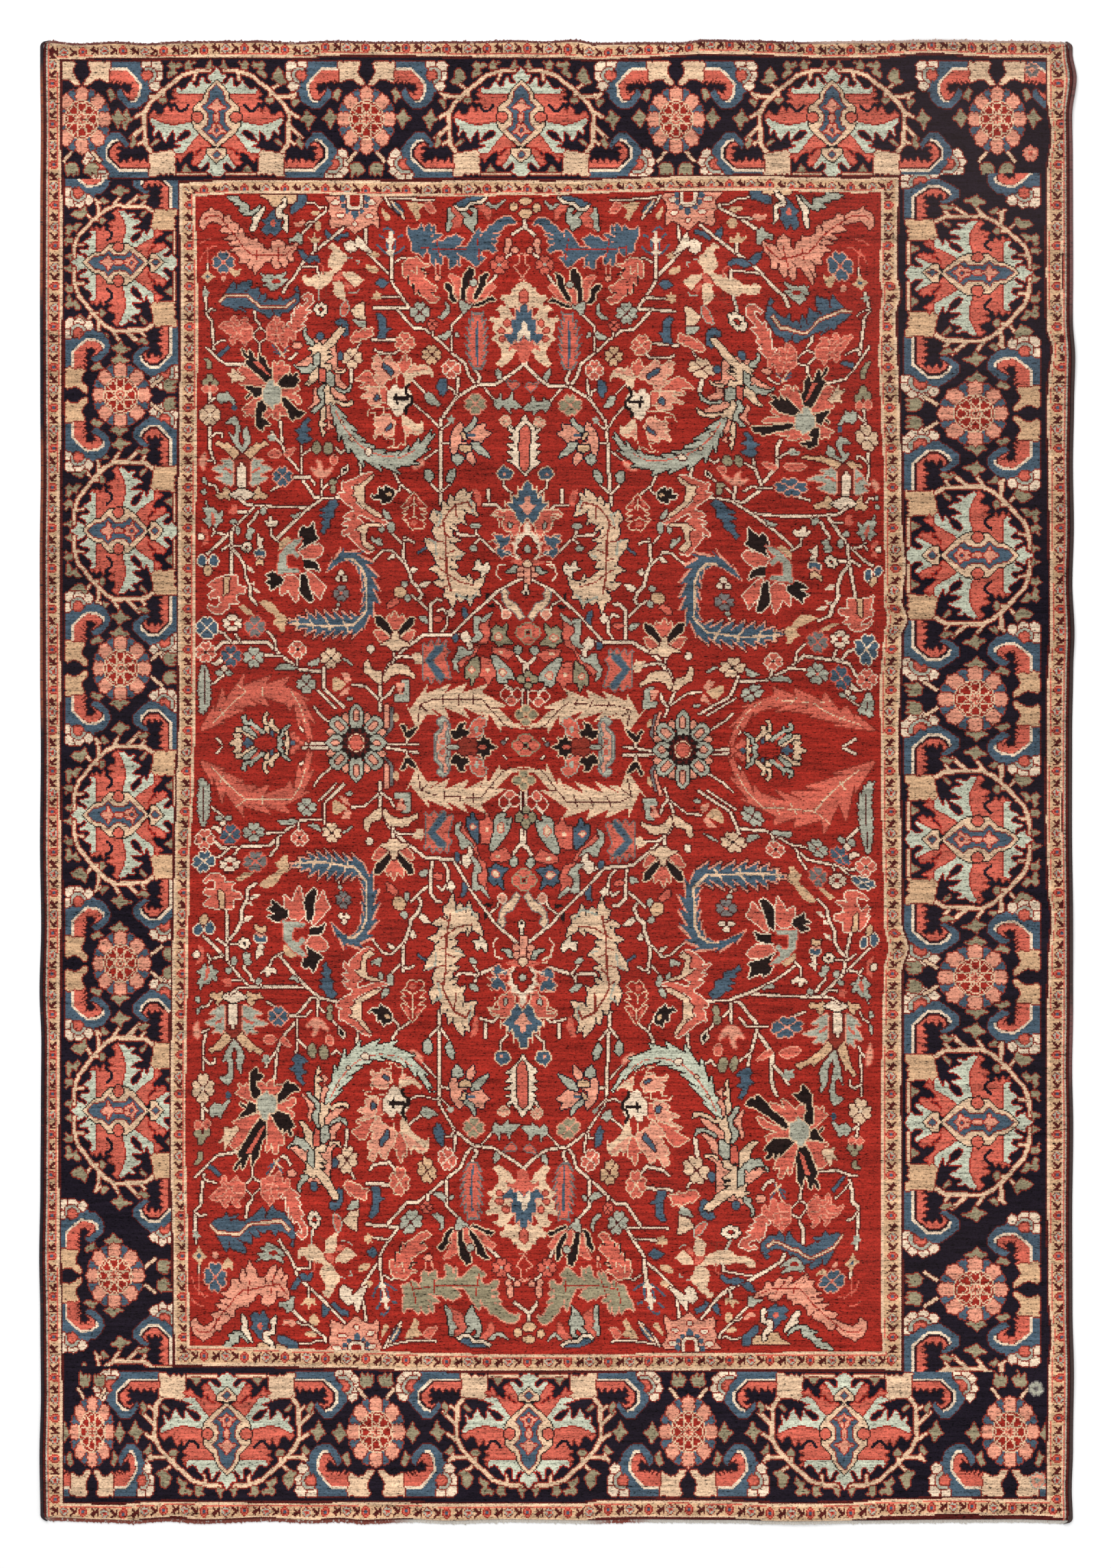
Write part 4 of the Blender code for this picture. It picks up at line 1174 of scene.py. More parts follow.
        # left edge plants
        self.pen(SAGE, outline(300, 524, 306, 524, 312, 530, 312, 540, 306, 540, 305, 532)
            + discs((309, 553, 5, 6), (303, 560, 5), (316, 560, 5), (465, 655, 6, 9), (482, 656, 7, 9),
            (489, 705, 5, 5), (489, 716, 4, 6)), MAROON)
        self.pen(CORAL, discs((303, 569, 4.4), (315, 569, 4.4), (490, 673, 5, 6), (404, 664, 8, 5.5))
            + outline(418, 664, 424, 658, 434, 656, 428, 664, 422, 668), ROSE)
        self.pen(MIST, outlines((319, 578, 324, 574, 328, 577, 335, 572, 338, 578, 342, 582, 348, 590, 344, 592,
            338, 586, 332, 588, 326, 590, 320, 586), (622, 575, 630, 574, 636, 578, 640, 586, 648, 592,
            642, 594, 634, 592, 625, 588), (298, 696, 303, 700, 305, 708, 299, 706),
            (296, 718, 303, 714, 304, 722, 298, 724)), MAROON)
        self.pen(BLUE, discs((345, 597, 4, 4.4), (435, 583, 0.1)))
        self.pen(ROSE, outlines((464, 672, 470, 675, 474, 684, 475, 690, 484, 685, 489, 682, 486, 690, 478, 698,
            466, 698, 458, 688, 456, 683, 464, 687, 468, 682), (296, 668, 302, 662, 304, 672, 300, 688,
            294, 678), (604, 684, 612, 676, 622, 672, 622, 680, 612, 685)), CORAL)
        self.pen(IVORY, outline(501, 686, 511, 679, 512, 689, 502, 696), MAROON)
        self.pen(BLACK, outline(503, 687, 509, 682, 510, 688, 504, 692))
        self.pen(MIST, outline(724, 585, 732, 582, 735, 573, 735, 586, 745, 584, 751, 574, 752, 585, 757, 588,
            765, 596, 756, 598, 748, 597, 749, 605, 742, 598, 736, 594, 730, 600, 725, 594), MAROON)
        self.pen(CORAL, outline(742, 556, 750, 560, 758, 558, 760, 564, 752, 570, 746, 564), SLATE)
        self.bunches()

    def bunches(self) -> None:
        """The mixed bunches beside the upright vine, and the buds under them."""
        self.pen(ROSE, outlines((661, 640, 664, 630, 672, 620, 676, 618, 680, 626, 676, 636, 676, 646, 684, 648,
            680, 654, 672, 650, 670, 662, 664, 666, 660, 655), (688, 630, 700, 622, 712, 619, 710, 628,
            720, 634, 710, 642, 706, 648, 694, 644, 686, 640), (684, 664, 692, 662, 697, 672, 695, 682,
            688, 676, 684, 672)), NAVY)
        self.pen(MIST, outlines((680, 628, 690, 620, 697, 608, 699, 616, 694, 626, 684, 634),
            (690, 646, 702, 648, 708, 655, 716, 664, 718, 670, 708, 666, 700, 662, 694, 656),
            (664, 666, 672, 664, 680, 668, 678, 676, 670, 681, 664, 674)), NAVY)
        self.pen(CAMEL, outlines((674, 632, 682, 634, 684, 644, 680, 642),
            (674, 652, 691, 652, 690, 659, 682, 662, 674, 658)), NAVY)
        self.pen(BLUE, straight(4, 685, 637, 697, 637))
        self.pen(BLUE, outline(731, 688, 735, 685, 738, 682, 742, 685, 748, 687, 752, 692, 748, 699, 742, 700,
            734, 700, 729, 694), CREAM)
        self.pen(ROSE, disc(739, 694, 2.6))
        self.pen(MIST, outlines((623, 688, 630, 686, 636, 692, 636, 700, 630, 705, 624, 700),
            (655, 698, 660, 688, 667, 686, 668, 696, 662, 706, 656, 704)), BLACK)

    def sceptres(self) -> None:
        """The broken stems of many colours with their long sky-blue leaves."""
        self.pen(MIST, leaf((486, 590, 498, 614, 514, 644, 534, 664, 560, 673, 588, 676, 612, 662, 632, 638),
            (5, 15, 19, 19, 18, 18, 15, 5), (5, 12, 16, 17, 17, 16, 13, 3), teeth=9, bite=0.6, hook=0.42),
            BLACK, low=SKY)
        self.pen(CORAL, straight(1.8, 492, 600, 503, 622, 520, 644, 538, 659, 562, 667, 588, 669, 608, 659))
        self.pen(IVORY, disc(541, 661, 5, 4.4), MAROON)
        self.pen(CREAM, discs((502, 618, 2), (517, 642, 2.4)), MAROON)
        self.pen(BLUE, outline(492, 470, 500, 466, 508, 470, 512, 478, 512, 490, 506, 493, 501, 488, 506, 482,
            502, 475, 495, 477), MAROON)
        self.pen(ROSE, outlines((493, 500, 494, 533, 496, 539, 505, 541, 498, 544, 490, 542, 486, 534, 474, 533,
            486, 508), (460, 496, 484, 497, 478, 504, 462, 504), (436, 534, 450, 524, 455, 521, 460, 523,
            460, 533, 455, 537, 448, 534, 444, 538)), BLACK)
        self.pen(CREAM, outline(499, 479, 507, 480, 505, 486, 498, 494, 494, 501, 486, 508, 478, 514, 487, 514,
            478, 520, 489, 520, 475, 533, 486, 534, 487, 541, 482, 545, 477, 538, 471, 537, 470, 512, 462, 518,
            457, 521, 460, 511, 452, 511, 460, 506, 460, 501, 465, 505, 470, 501, 472, 507, 480, 500, 490, 489),
            BLACK)
        self.pen(BLACK, strokes(1.8, (478, 514, 486, 514), (478, 520.5, 488, 520.5)))
        self.pen(MIST, outlines((450, 480, 446, 484, 446, 490, 448, 495, 452, 499, 450, 504, 460, 505, 460, 499,
            455, 495, 451, 491, 449, 486), (430, 531, 437, 538, 449, 538, 456, 533, 462, 536, 468, 535,
            461, 542, 456, 546, 450, 545, 443, 546, 440, 540, 433, 537), (462, 519, 469, 515, 469, 533,
            464, 538, 461, 530)), BLACK)
        self.pen(CREAM, outlines((468, 535, 469, 552, 464, 556, 460, 560, 454, 564, 447, 563, 455, 556,
            456, 546, 462, 542), (493, 541, 497, 544, 502, 543, 508, 539, 506, 545, 498, 547, 492, 545)), BLACK)
        self.pen(CORAL, outline(470, 540, 477, 540, 477, 558, 470, 560), BLACK)
        self.pen(ROSE, outlines((493, 548, 499, 549, 500, 557, 509, 566, 506, 569, 495, 564, 492, 558),
            (491, 567, 502, 576, 512, 587, 502, 587, 492, 580, 484, 574, 484, 567),
            (464, 566, 466, 580, 470, 588, 463, 592, 452, 600, 453, 596, 461, 588, 462, 578, 460, 572),
            (479, 596, 483, 592, 484, 604, 489, 611, 482, 617, 490, 625, 480, 629, 484, 615, 479, 608)), MAROON)
        self.pen(MIST, outlines((479, 546, 484, 543, 491, 549, 490, 565, 481, 566, 479, 560),
            (492, 565, 500, 570, 508, 571, 513, 566, 517, 560, 514, 572, 505, 575, 494, 571),
            (467, 571, 474, 562, 477, 563, 474, 572, 477, 582, 476, 592, 468, 598, 462, 604, 456, 603, 462, 597,
            470, 590, 473, 584, 468, 578)), BLACK)
        self.pen(CREAM, outlines((480, 562, 483, 564, 483, 575, 489, 580, 490, 586, 496, 585, 502, 589,
            511, 590, 518, 584, 517, 592, 510, 595, 500, 593, 494, 588, 490, 593, 485, 588, 479, 594, 478, 580,
            476, 570), (471, 600, 477, 595, 478, 612, 473, 617, 480, 621, 473, 626, 478, 631, 474, 639,
            470, 622)), BLACK)
        self.pen(CORAL, outline(502, 448, 508, 440, 512, 452, 508, 460, 500, 462), MIST)
        self.pen(BLUE, discs((500, 521, 4, 6), (470, 492, 5, 6)), MAROON)
        self.pen(BLUE, strokes(2, (400, 505, 412, 518, 420, 522), (424, 506, 414, 520, 402, 514)))
        self.pen(CREAM, strokes(2, (404, 502, 418, 524), (424, 512, 410, 522)))
        # the ivory leaf that sweeps in from the side, and the green spray beside it
        self.pen(IVORY, outline(507, 366, 505, 357, 514, 352, 522, 355, 524, 344, 530, 350, 540, 362, 548, 372,
            536, 368, 526, 362, 520, 360, 524, 366, 514, 370), MAROON)
        self.pen(CREAM, outline(514, 455, 524, 446, 534, 442, 536, 468, 524, 466), MAROON)
        self.pen(MIST, outline(518, 468, 536, 470, 536, 480, 526, 478), MAROON)
        self.pen(CORAL, leaf((516, 498, 530, 490, 546, 486), (6, 9, 6), teeth=3), CREAM)

    def bursts(self) -> None:
        """The bursting flower, the carnation and the lotus."""
        black = (outline(356, 510, 359, 513, 363, 519, 366, 521, 367, 512, 371, 516, 373, 522, 377, 527,
            380, 528, 381, 516, 384, 520, 389, 524, 391, 530, 394, 537, 400, 541, 400, 555, 395, 557, 390, 558,
            380, 549, 368, 538, 360, 531, 363, 527, 366, 526, 360, 522, 357, 517),
            outline(405, 564, 409, 560, 414, 553, 421, 546, 423, 551, 427, 544, 429, 551, 434, 545, 439, 545,
            435, 552, 441, 555, 437, 561, 432, 567, 420, 568, 410, 567), outline(414, 583, 418, 581, 424, 585,
            430, 592, 440, 601, 449, 603, 441, 611, 434, 610, 431, 616, 425, 610, 423, 600, 417, 593),
            outline(379, 589, 386, 586, 391, 590, 391, 600, 385, 604, 385, 612, 391, 614, 397, 621, 388, 623,
            386, 631, 380, 626, 376, 622, 377, 600), outline(360, 565, 385, 567, 386, 576, 380, 580, 375, 583,
            371, 576, 361, 586, 362, 580, 370, 574, 364, 570))
        coral = (outline(401, 529, 405, 531, 408, 537, 411, 528, 416, 528, 418, 536, 425, 536, 424, 543,
            420, 547, 409, 557, 404, 562, 401, 558), outline(413, 569, 428, 568, 438, 563, 439, 570, 427, 576,
            440, 580, 442, 590, 437, 590, 432, 584, 426, 583, 422, 579, 414, 581),
            outline(392, 592, 398, 598, 402, 594, 412, 590, 418, 595, 423, 602, 422, 608, 414, 607, 411, 603,
            409, 615, 403, 611, 400, 604, 393, 611, 386, 610, 384, 604, 389, 600),
            outline(384, 581, 386, 584, 378, 590, 376, 602, 371, 610, 368, 604, 360, 610, 362, 602, 355, 599,
            364, 592, 374, 584), outline(350, 541, 355, 536, 362, 537, 368, 541, 380, 552, 392, 562, 385, 564,
            366, 564, 350, 563, 358, 559, 362, 552, 354, 546))
        for shape in coral:
            self.pen(CORAL, shape, CREAM)
        for shape in black:
            self.pen(BLACK, shape, CREAM)
        self.pen(CORAL, outline(371, 529, 379, 529, 387, 537, 399, 551, 390, 546, 378, 535))
        self.pen(CREAM, outline(332, 545, 341, 547, 342, 537, 350, 545, 354, 549, 362, 552, 357, 558, 350, 557,
            340, 561, 341, 553), RUST)
        self.pen(MIST, outline(391, 565, 395, 557, 401, 557, 403, 566, 410, 565, 413, 570, 413, 586, 410, 590,
            403, 591, 401, 598, 397, 593, 390, 590, 386, 583, 386, 572, 389, 568), CREAM)
        self.carnation()
        self.lotus()

    def carnation(self) -> None:
        """The large side-on carnation with its dark cross."""
        self.pen(CORAL, outlines((522, 556, 530, 549, 533, 545, 541, 543, 546, 549, 552, 556, 555, 563,
            554, 568, 548, 566, 540, 563, 532, 568, 529, 566, 537, 560, 530, 557),
            (556, 567, 566, 568, 568, 573, 568, 588, 560, 588, 558, 580), (588, 530, 591, 523, 595, 519,
            597, 529, 601, 525, 602, 533, 599, 541, 592, 546, 586, 542, 583, 532)), CREAM)
        self.pen(ROSE, outlines((548, 523, 555, 520, 559, 527, 563, 529, 567, 523, 572, 521, 576, 529, 581, 532,
            584, 537, 587, 545, 584, 549, 577, 550, 573, 554, 566, 556, 561, 567, 557, 562, 552, 557, 548, 552,
            556, 549, 551, 545, 554, 541, 547, 539, 548, 532, 554, 531, 550, 529),
            (529, 566, 540, 567, 548, 566, 555, 568, 556, 575, 558, 583, 559, 593, 550, 593, 543, 592, 541, 587,
            545, 583, 538, 581, 530, 581, 540, 574, 543, 571), (561, 608, 572, 606, 574, 614, 580, 617,
            577, 624, 577, 637, 572, 636, 566, 641, 564, 633, 555, 634, 550, 641, 551, 630, 556, 625, 549, 622,
            553, 618, 549, 612, 556, 612)), CREAM)
        self.pen(CREAM, outlines((592, 547, 598, 540, 602, 535, 606, 534, 609, 529, 612, 536, 618, 533,
            626, 534, 633, 540, 636, 547, 634, 555, 631, 549, 622, 548, 613, 550, 607, 553, 603, 559, 600, 568,
            594, 568, 593, 556), (590, 606, 598, 610, 603, 614, 610, 620, 616, 619, 619, 615, 622, 624,
            621, 632, 612, 637, 606, 636, 602, 633, 598, 641, 593, 633, 590, 622)))
        self.pen(ROSE, outlines((596, 547, 602, 538, 608, 533, 612, 539, 624, 536, 630, 540, 620, 542,
            610, 544), (592, 621, 600, 626, 606, 630, 616, 631, 610, 634, 601, 631, 597, 637, 593, 631)))
        self.pen(CREAM, strokes(1.8, (539, 609, 541, 600, 550, 596, 562, 596, 576, 598),
            (552, 612, 550, 604, 543, 604), (571, 642, 579, 643, 577, 651, 568, 656), (595, 630, 595, 652),
            (574, 655, 583, 655, 588, 649, 594, 652)) + strokes(1.6, (583, 550, 581, 564),
            (563, 596, 563, 608)))
        eyes = outlines((563, 532, 567, 534, 577, 542, 576, 547, 573, 550, 568, 543, 563, 539),
            (551, 577, 556, 577, 557, 583, 552, 587, 550, 586), (567, 626, 574, 619, 576, 624, 572, 628,
            567, 630))
        for shape in eyes:
            self.pen(BLUE, [shape], MAROON)
        self.pen(IVORY, outline(568, 572, 574, 570, 575, 564, 582, 563, 587, 571, 594, 566, 600, 570, 604, 577,
            606, 590, 600, 594, 597, 600, 590, 606, 583, 610, 577, 605, 574, 596, 568, 590), RUST)
        self.pen(BLACK, straight(4.6, 602, 561, 595, 569, 597, 577, 604, 582, 604, 590, 597, 595, 594, 601,
            597, 607) + straight(5, 576, 583, 600, 583) + straight(3.4, 581, 575, 583, 592))

    def lotus(self) -> None:
        """The tall lotus at the field's side."""
        x, y = 356, 700
        frame = outline(-13, 10, -13, -24, -6, -35, 6, -35, 13, -24, 13, 10)
        candle = outline(-6, 11, -6, -17, -2, -18, -2, -23, 2, -23, 2, -18, 6, -17, 6, 11, 3, 14, -3, 14)
        crown = outline(0, -38, -5, -44, -12, -52, -16, -60, -20, -68, -12, -62, -9, -67, -10, -77, -15, -81,
            -24, -81, -18, -88, -10, -91, -5, -84, -3, -76, -4, -66, -4, -54, 0, -46, 4, -54, 2, -62, 2, -70,
            8, -78, 9, -68, 13, -60, 12, -52, 6, -44)
        bowl = outline(-19, 23, -8, 17, -4, 14, 4, 14, 8, 17, 19, 23, 10, 29, 5, 31, 0, 36, -5, 31, -10, 29)
        self.pen(RUST, moved(frame, x, y), MAROON)
        self.pen(MIST, moved(crown, x, y), MAROON)
        for flip in (1, -1):
            arm = outline(-5, -35, -12, -28, -22, -39, -31, -47, -40, -50, -34, -55, -26, -50, -21, -53,
                -17, -48, -12, -46, -4, -38)
            wing = outline(-15, 10, -22, 9, -30, 4, -38, -1, -28, -2, -27, -7, -35, -10, -44, -14, -36, -18,
                -29, -19, -26, -23, -33, -28, -26, -28, -22, -27, -18, -31, -14, -24, -13, 8)
            foot = outline(-16, 24, -18, 18, -24, 11, -28, 15, -26, 19, -38, 24, -34, 31, -26, 28, -18, 32)
            for yarn, shape, edge in ((CAMEL, arm, MAROON), (MIST, wing, ROSE),
                                      (CORAL, straight(4, -27, -15, -20, -13, -15, -8), None),
                                      (CAMEL, foot, MAROON)):
                self.pen(yarn, moved([part * (flip, 1) for part in shape], x, y), edge)
        self.pen(IVORY, moved(candle, x, y), MAROON)
        self.pen(IVORY, moved(bowl, x, y), BLACK)

    def centre_palmettes(self) -> None:
        """The palmettes and the capsule that stand on the axis."""
        self.pen(ROSE, strokes(1.8, (761, 386, 761, 374, 767, 370, 774, 374),
            (761, 386, 753, 390, 768, 410, 772, 408)))
        crown = ((CREAM, (0, 411, 6, 414, 11, 417, 11, 421, 17, 422, 19, 429, 24, 433, 31, 431, 35, 438,
            28, 442, 27, 448, 35, 447, 42, 454, 35, 457, 35, 465, 42, 466, 48, 462, 52, 470, 44, 472, 46, 482,
            41, 490, 48, 497, 40, 501, 36, 508, 32, 514, 34, 524, 41, 532, 34, 538, 26, 533, 17, 525, 14, 518,
            0, 505), None), (MADDER, (0, 446, 10, 449, 23, 451, 18, 460, 12, 466, 0, 466), None),
            (CREAM, (0, 440, 5, 442, 14, 452, 9, 452, 0, 452), None), (BLUE,
            (0, 442, 5, 449, 6, 457, 11, 452, 11, 468, 18, 467, 18, 478, 16, 486, 20, 490, 28, 488, 29, 491,
            23, 499, 18, 504, 14, 498, 0, 500), ROSE), (IVORY, (0, 470, 4, 474, 4, 482, 10, 487, 9, 501, 4, 495,
            0, 490), None), (CORAL, (0, 491, 4, 498, 8, 502, 12, 497, 14, 504, 22, 507, 24, 515, 16, 510,
            11, 512, 8, 520, 7, 529, 0, 531), None), (CORAL, (0, 423, 5, 428, 5, 441, 0, 444), RUST))
        for yarn, half, edge in crown:
            self.chart_pair(yarn, moved(halved(*half), 768, 0), edge)
        for side in (-1, 1):
            self.chart_pair(CORAL, discs((768 + side * 25, 473, 4, 5), (768 + side * 33, 484, 4.4, 3.6),
                (768 + side * 32, 496, 4, 3.4)), RUST)
        self.chart_pair(IVORY, outline(769, 607, 773, 613, 775, 618, 781, 622, 784, 627, 784, 631, 787, 629,
            792, 624, 791, 631, 787, 634, 784, 639, 791, 639, 785, 644, 783, 648, 792, 650, 786, 657, 783, 661,
            791, 661, 786, 668, 783, 672, 792, 675, 787, 681, 782, 684, 776, 689, 771, 698, 764, 689, 757, 683,
            752, 678, 743, 673, 753, 672, 749, 666, 744, 661, 754, 660, 749, 655, 742, 650, 753, 650, 754, 646,
            750, 642, 745, 640, 752, 638, 752, 634, 746, 630, 746, 624, 751, 628, 755, 630, 757, 625, 763, 619,
            765, 611), BLACK)
        self.chart_pair(CORAL, outline(770, 621, 776, 627, 777, 634, 776, 650, 775, 682, 769, 691, 762, 682,
            761, 650, 763, 628), BLACK)

    def middle_vines(self) -> None:
        """The cream vines of the middle of the rug."""
        runs = ((4.5, 350, 727, 362, 738, 400, 741, 452, 742), (4.5, 500, 728, 474, 729, 455, 742, 430, 765,
            406, 789), (3.4, 398, 770, 399, 783, 410, 793), (4.5, 374, 741, 360, 755, 341, 776, 320, 797,
            304, 811), (4, 350, 749, 364, 749), (5, 340, 776, 340, 842), (4, 314, 773, 320, 779, 333, 782),
            (3, 312, 785, 317, 777), (4, 392, 742, 378, 750, 374, 758, 365, 767, 365, 772),
            (3, 343, 798, 357, 798), (4, 325, 805, 339, 796), (4.5, 342, 803, 352, 813, 360, 828, 361, 842,
            368, 858, 368, 873, 379, 885), (3, 498, 884, 494, 893), (3, 576, 781, 581, 786, 592, 797),
            (5, 593, 784, 592, 818, 601, 838, 604, 851, 613, 859, 619, 870, 613, 879),
            (3.6, 592, 790, 600, 789, 609, 794), (3.4, 546, 820, 562, 805, 574, 804, 592, 822),
            (3.4, 603, 869, 614, 879, 633, 896), (5, 632, 926, 632, 884, 641, 876, 648, 878),
            (4, 646, 926, 656, 914, 656, 898, 649, 890, 641, 894), (5.4, 557, 1040, 557, 1000, 571, 972,
            592, 950, 622, 928, 675, 928), (4.6, 664, 926, 690, 900, 718, 876, 730, 864, 766, 845),
            (3, 722, 876, 733, 884, 737, 894), (4.6, 716, 714, 717, 738), (3.6, 708, 738, 728, 738, 737, 747,
            742, 746), (4, 667, 775, 673, 782, 701, 784, 732, 813), (3.6, 698, 774, 699, 783),
            (3.4, 693, 797, 705, 787), (5, 315, 952, 328, 939, 394, 939, 404, 950, 415, 960, 441, 979, 475, 982,
            475, 1006, 506, 1035), (4, 322, 923, 330, 926, 340, 938), (3.6, 346, 925, 353, 938),
            (4, 393, 922, 404, 936, 406, 952), (4, 390, 958, 416, 959), (4.4, 476, 974, 476, 1006),
            (4, 436, 960, 436, 977), (3.4, 466, 1008, 494, 1036), (4.4, 301, 970, 301, 976),
            (4, 312, 1001, 330, 986), (3.6, 515, 1001, 536, 1003, 556, 1023),
            (3.6, 461, 1032, 470, 1045, 488, 1060), (4, 578, 1003, 572, 1014, 558, 1024),
            (5, 578, 948, 578, 966, 568, 986), (4.4, 580, 963, 588, 959, 608, 962), (4.6, 443, 1087, 481, 1087),
            (4, 440, 1062, 452, 1074, 455, 1086), (4.5, 567, 1088, 615, 1088), (3.6, 597, 1088, 598, 1078),
            (3.4, 318, 1078, 328, 1089), (4.4, 757, 958, 764, 966, 773, 970, 774, 982),
            (3.4, 774, 1004, 774, 1030), (3, 745, 1078, 739, 1084), (3.4, 733, 994, 752, 1010))
        for width, *spine in runs:
            self.pen(IVORY, straight(self.VINE * width, *spine), MAROON)

    def side_flowers(self) -> None:
        """The small flowers along the sides of the middle."""
        self.pen(MIST, outline(303, 731, 308, 742, 317, 744, 321, 751, 329, 746, 326, 758, 330, 762, 322, 765,
            318, 772, 313, 764, 309, 773, 304, 765, 298, 761, 305, 756, 303, 750, 298, 743, 304, 742), MAROON)
        self.pen(CORAL, outlines((310, 748, 314, 751, 318, 762, 314, 769, 311, 762),
            (296, 770, 306, 776, 307, 784, 298, 782), (306, 784, 307, 794, 297, 799, 300, 790),
            (335, 748, 341, 743, 341, 738, 350, 738, 349, 750, 341, 753)))
        self.pen(IVORY, disc(296, 785, 5) + outline(388, 760, 395, 763, 396, 755, 400, 755, 401, 763, 408, 760,
            409, 765, 404, 770, 393, 770), MAROON)
        self.pen(MIST, discs((344, 763, 5, 4), (350, 776, 4, 6), (387, 748, 4, 5))
            + outline(427, 754, 436, 752, 443, 748, 438, 756, 432, 759) + discs((369, 776, 5, 4),
            (366, 784, 5, 5), (574, 771, 5, 8), (560, 774, 4, 5)) + outlines((561, 744, 570, 750, 574, 759,
            567, 760, 562, 752), (545, 783, 550, 789, 558, 787, 562, 798, 557, 798, 545, 790),
            (614, 902, 624, 901, 628, 908, 626, 912, 618, 908)), MAROON)
        self.pen(IVORY, ring(disc(5, 0, 2.6), 7, 10, 363, 800), BLACK)
        self.pen(IVORY, outline(379, 780, 384, 787, 389, 789, 384, 794, 388, 800, 381, 803, 378, 790), MAROON)
        self.pen(BLUE, outline(375, 806, 382, 804, 389, 807, 388, 814, 382, 811, 376, 814)
            + discs((298, 820, 6, 8), (315, 820, 6, 8)), IVORY)
        self.pen(ROSE, outline(376, 814, 382, 811, 388, 815, 387, 820, 382, 817, 377, 820))
        self.pen(CAMEL, outline(376, 821, 382, 817, 388, 820, 388, 828, 382, 824, 376, 828)
            + disc(306, 834, 6.5, 7.5), MAROON)
        self.pen(IVORY, outlines((362, 826, 370, 830, 375, 838, 366, 835), (366, 852, 375, 851, 374, 857),
            (371, 858, 378, 861, 385, 868, 376, 867)))
        self.pen(CORAL, outline(306, 855, 318, 847, 328, 843, 341, 842, 350, 843, 350, 856, 361, 859, 360, 866,
            348, 869, 347, 876, 352, 882, 337, 882, 336, 889, 328, 896, 317, 897, 308, 891, 306, 883, 312, 887,
            320, 888, 325, 882, 324, 871, 310, 875, 307, 870, 317, 862), IVORY)
        self.pen(CAMEL, outline(330, 843, 338, 843, 336, 866, 329, 871), MAROON)
        self.pen(CAMEL, outlines((380, 881, 390, 877, 400, 881, 406, 888, 412, 897, 420, 900, 423, 909,
            418, 915, 420, 923, 413, 924, 408, 916, 400, 912, 406, 904, 402, 898, 395, 895),
            (351, 886, 359, 884, 370, 894, 375, 901, 362, 898)))
        for yarn, x, y, reach, edge, heart in (
                (BLUE, 305, 918, 16, IVORY, CREAM),
                (IVORY, 342, 911, 14, MAROON, MADDER),
                (SLATE, 375, 916, 15, CORAL, CORAL),
                (CORAL, 303, 953, 14, IVORY, BLACK),
                (BLUE, 340, 959, 15, CORAL, CREAM),
                (MIST, 373, 961, 15, MAROON, CORAL),
                (CORAL, 437, 950, 12, IVORY, BLACK),
                (CREAM, 486, 962, 15, MAROON, BLACK),
                (MIST, 450, 1000, 14, MAROON, MAROON),
                (SLATE, 501, 868, 12, MAROON, CORAL)):
            self.petals(yarn, x, y, reach, edge, heart)
        self.pen(IVORY, discs((342, 903, 8, 4), (342, 919, 8, 4), (501, 838, 4), (496, 846, 4), (506, 846, 4)),
            MAROON)
        self.pen(MADDER, disc(342, 911, 4))
        self.pen(MIST, outlines((404, 979, 412, 971, 425, 971, 437, 976, 430, 980, 414, 979),
            (450, 971, 462, 965, 471, 961, 466, 973, 458, 974), (502, 962, 510, 964, 520, 973, 514, 972))
            + discs((323, 984, 5, 4), (337, 984, 5, 4), (513, 1021, 5, 2.6), (497, 884, 3)), MAROON)
        self.pen(IVORY, disc(330, 977, 4.4) + outline(310, 970, 318, 967, 326, 960, 328, 969, 318, 973)
            + disc(544, 949, 5, 6), MAROON)
        self.pen(CAMEL, outline(487, 1000, 490, 989, 498, 992, 509, 1000, 500, 1008, 490, 1012))
        self.pen(ROSE, outlines((501, 984, 512, 983, 516, 995, 508, 999),
            (504, 1008, 514, 1003, 511, 1014, 496, 1019)))
        # the feather leaf on the very edge
        self.pen(MIST, leaf((300, 973, 301, 990, 301, 1010, 302, 1026, 296, 1042), (4, 10, 11, 10, 4), teeth=10,
            bite=0.35), MAROON)
        self.pen(MAROON, straight(1.6, 301, 978, 301, 1030))

    def crescents(self) -> None:
        """The crescent flower, the blue leaves and the feathered blue crook beside it."""
        petals = outlines((440, 806, 450, 798, 462, 790, 460, 797, 469, 796, 475, 801, 472, 810, 464, 817,
            448, 817), (450, 834, 458, 838, 468, 848, 479, 858, 474, 865, 470, 877, 463, 867, 456, 861,
            450, 850), (413, 849, 419, 843, 432, 841, 440, 849, 440, 862, 436, 881, 430, 874, 423, 862,
            419, 867, 413, 870))
        for shape in petals:
            self.pen(CORAL, [shape], IVORY)
        sepals = outlines((439, 805, 446, 795, 440, 786, 441, 774, 446, 769, 450, 774, 456, 769, 460, 764,
            463, 781, 469, 787, 460, 793, 450, 798), (442, 819, 456, 819, 465, 823, 470, 836, 460, 831,
            447, 830), (443, 838, 451, 843, 453, 856, 461, 878, 455, 880, 446, 873, 440, 864, 442, 852),
            (391, 841, 401, 836, 407, 838, 416, 846, 415, 853, 407, 857, 397, 864, 398, 856, 391, 851,
            400, 846))
        for shape in sepals:
            self.pen(BLACK, [shape], IVORY)
        self.pen(CAMEL, outline(409, 806, 410, 795, 418, 787, 423, 785, 430, 790, 418, 801))
        self.pen(MADDER, outline(420, 808, 440, 812, 446, 822, 446, 832, 420, 832))
        self.pen(MIST, outline(444, 787, 432, 790, 420, 799, 410, 812, 408, 839, 428, 838, 440, 837, 438, 831,
            422, 831, 421, 812, 429, 809, 436, 817, 440, 812, 432, 802, 440, 795), CORAL)
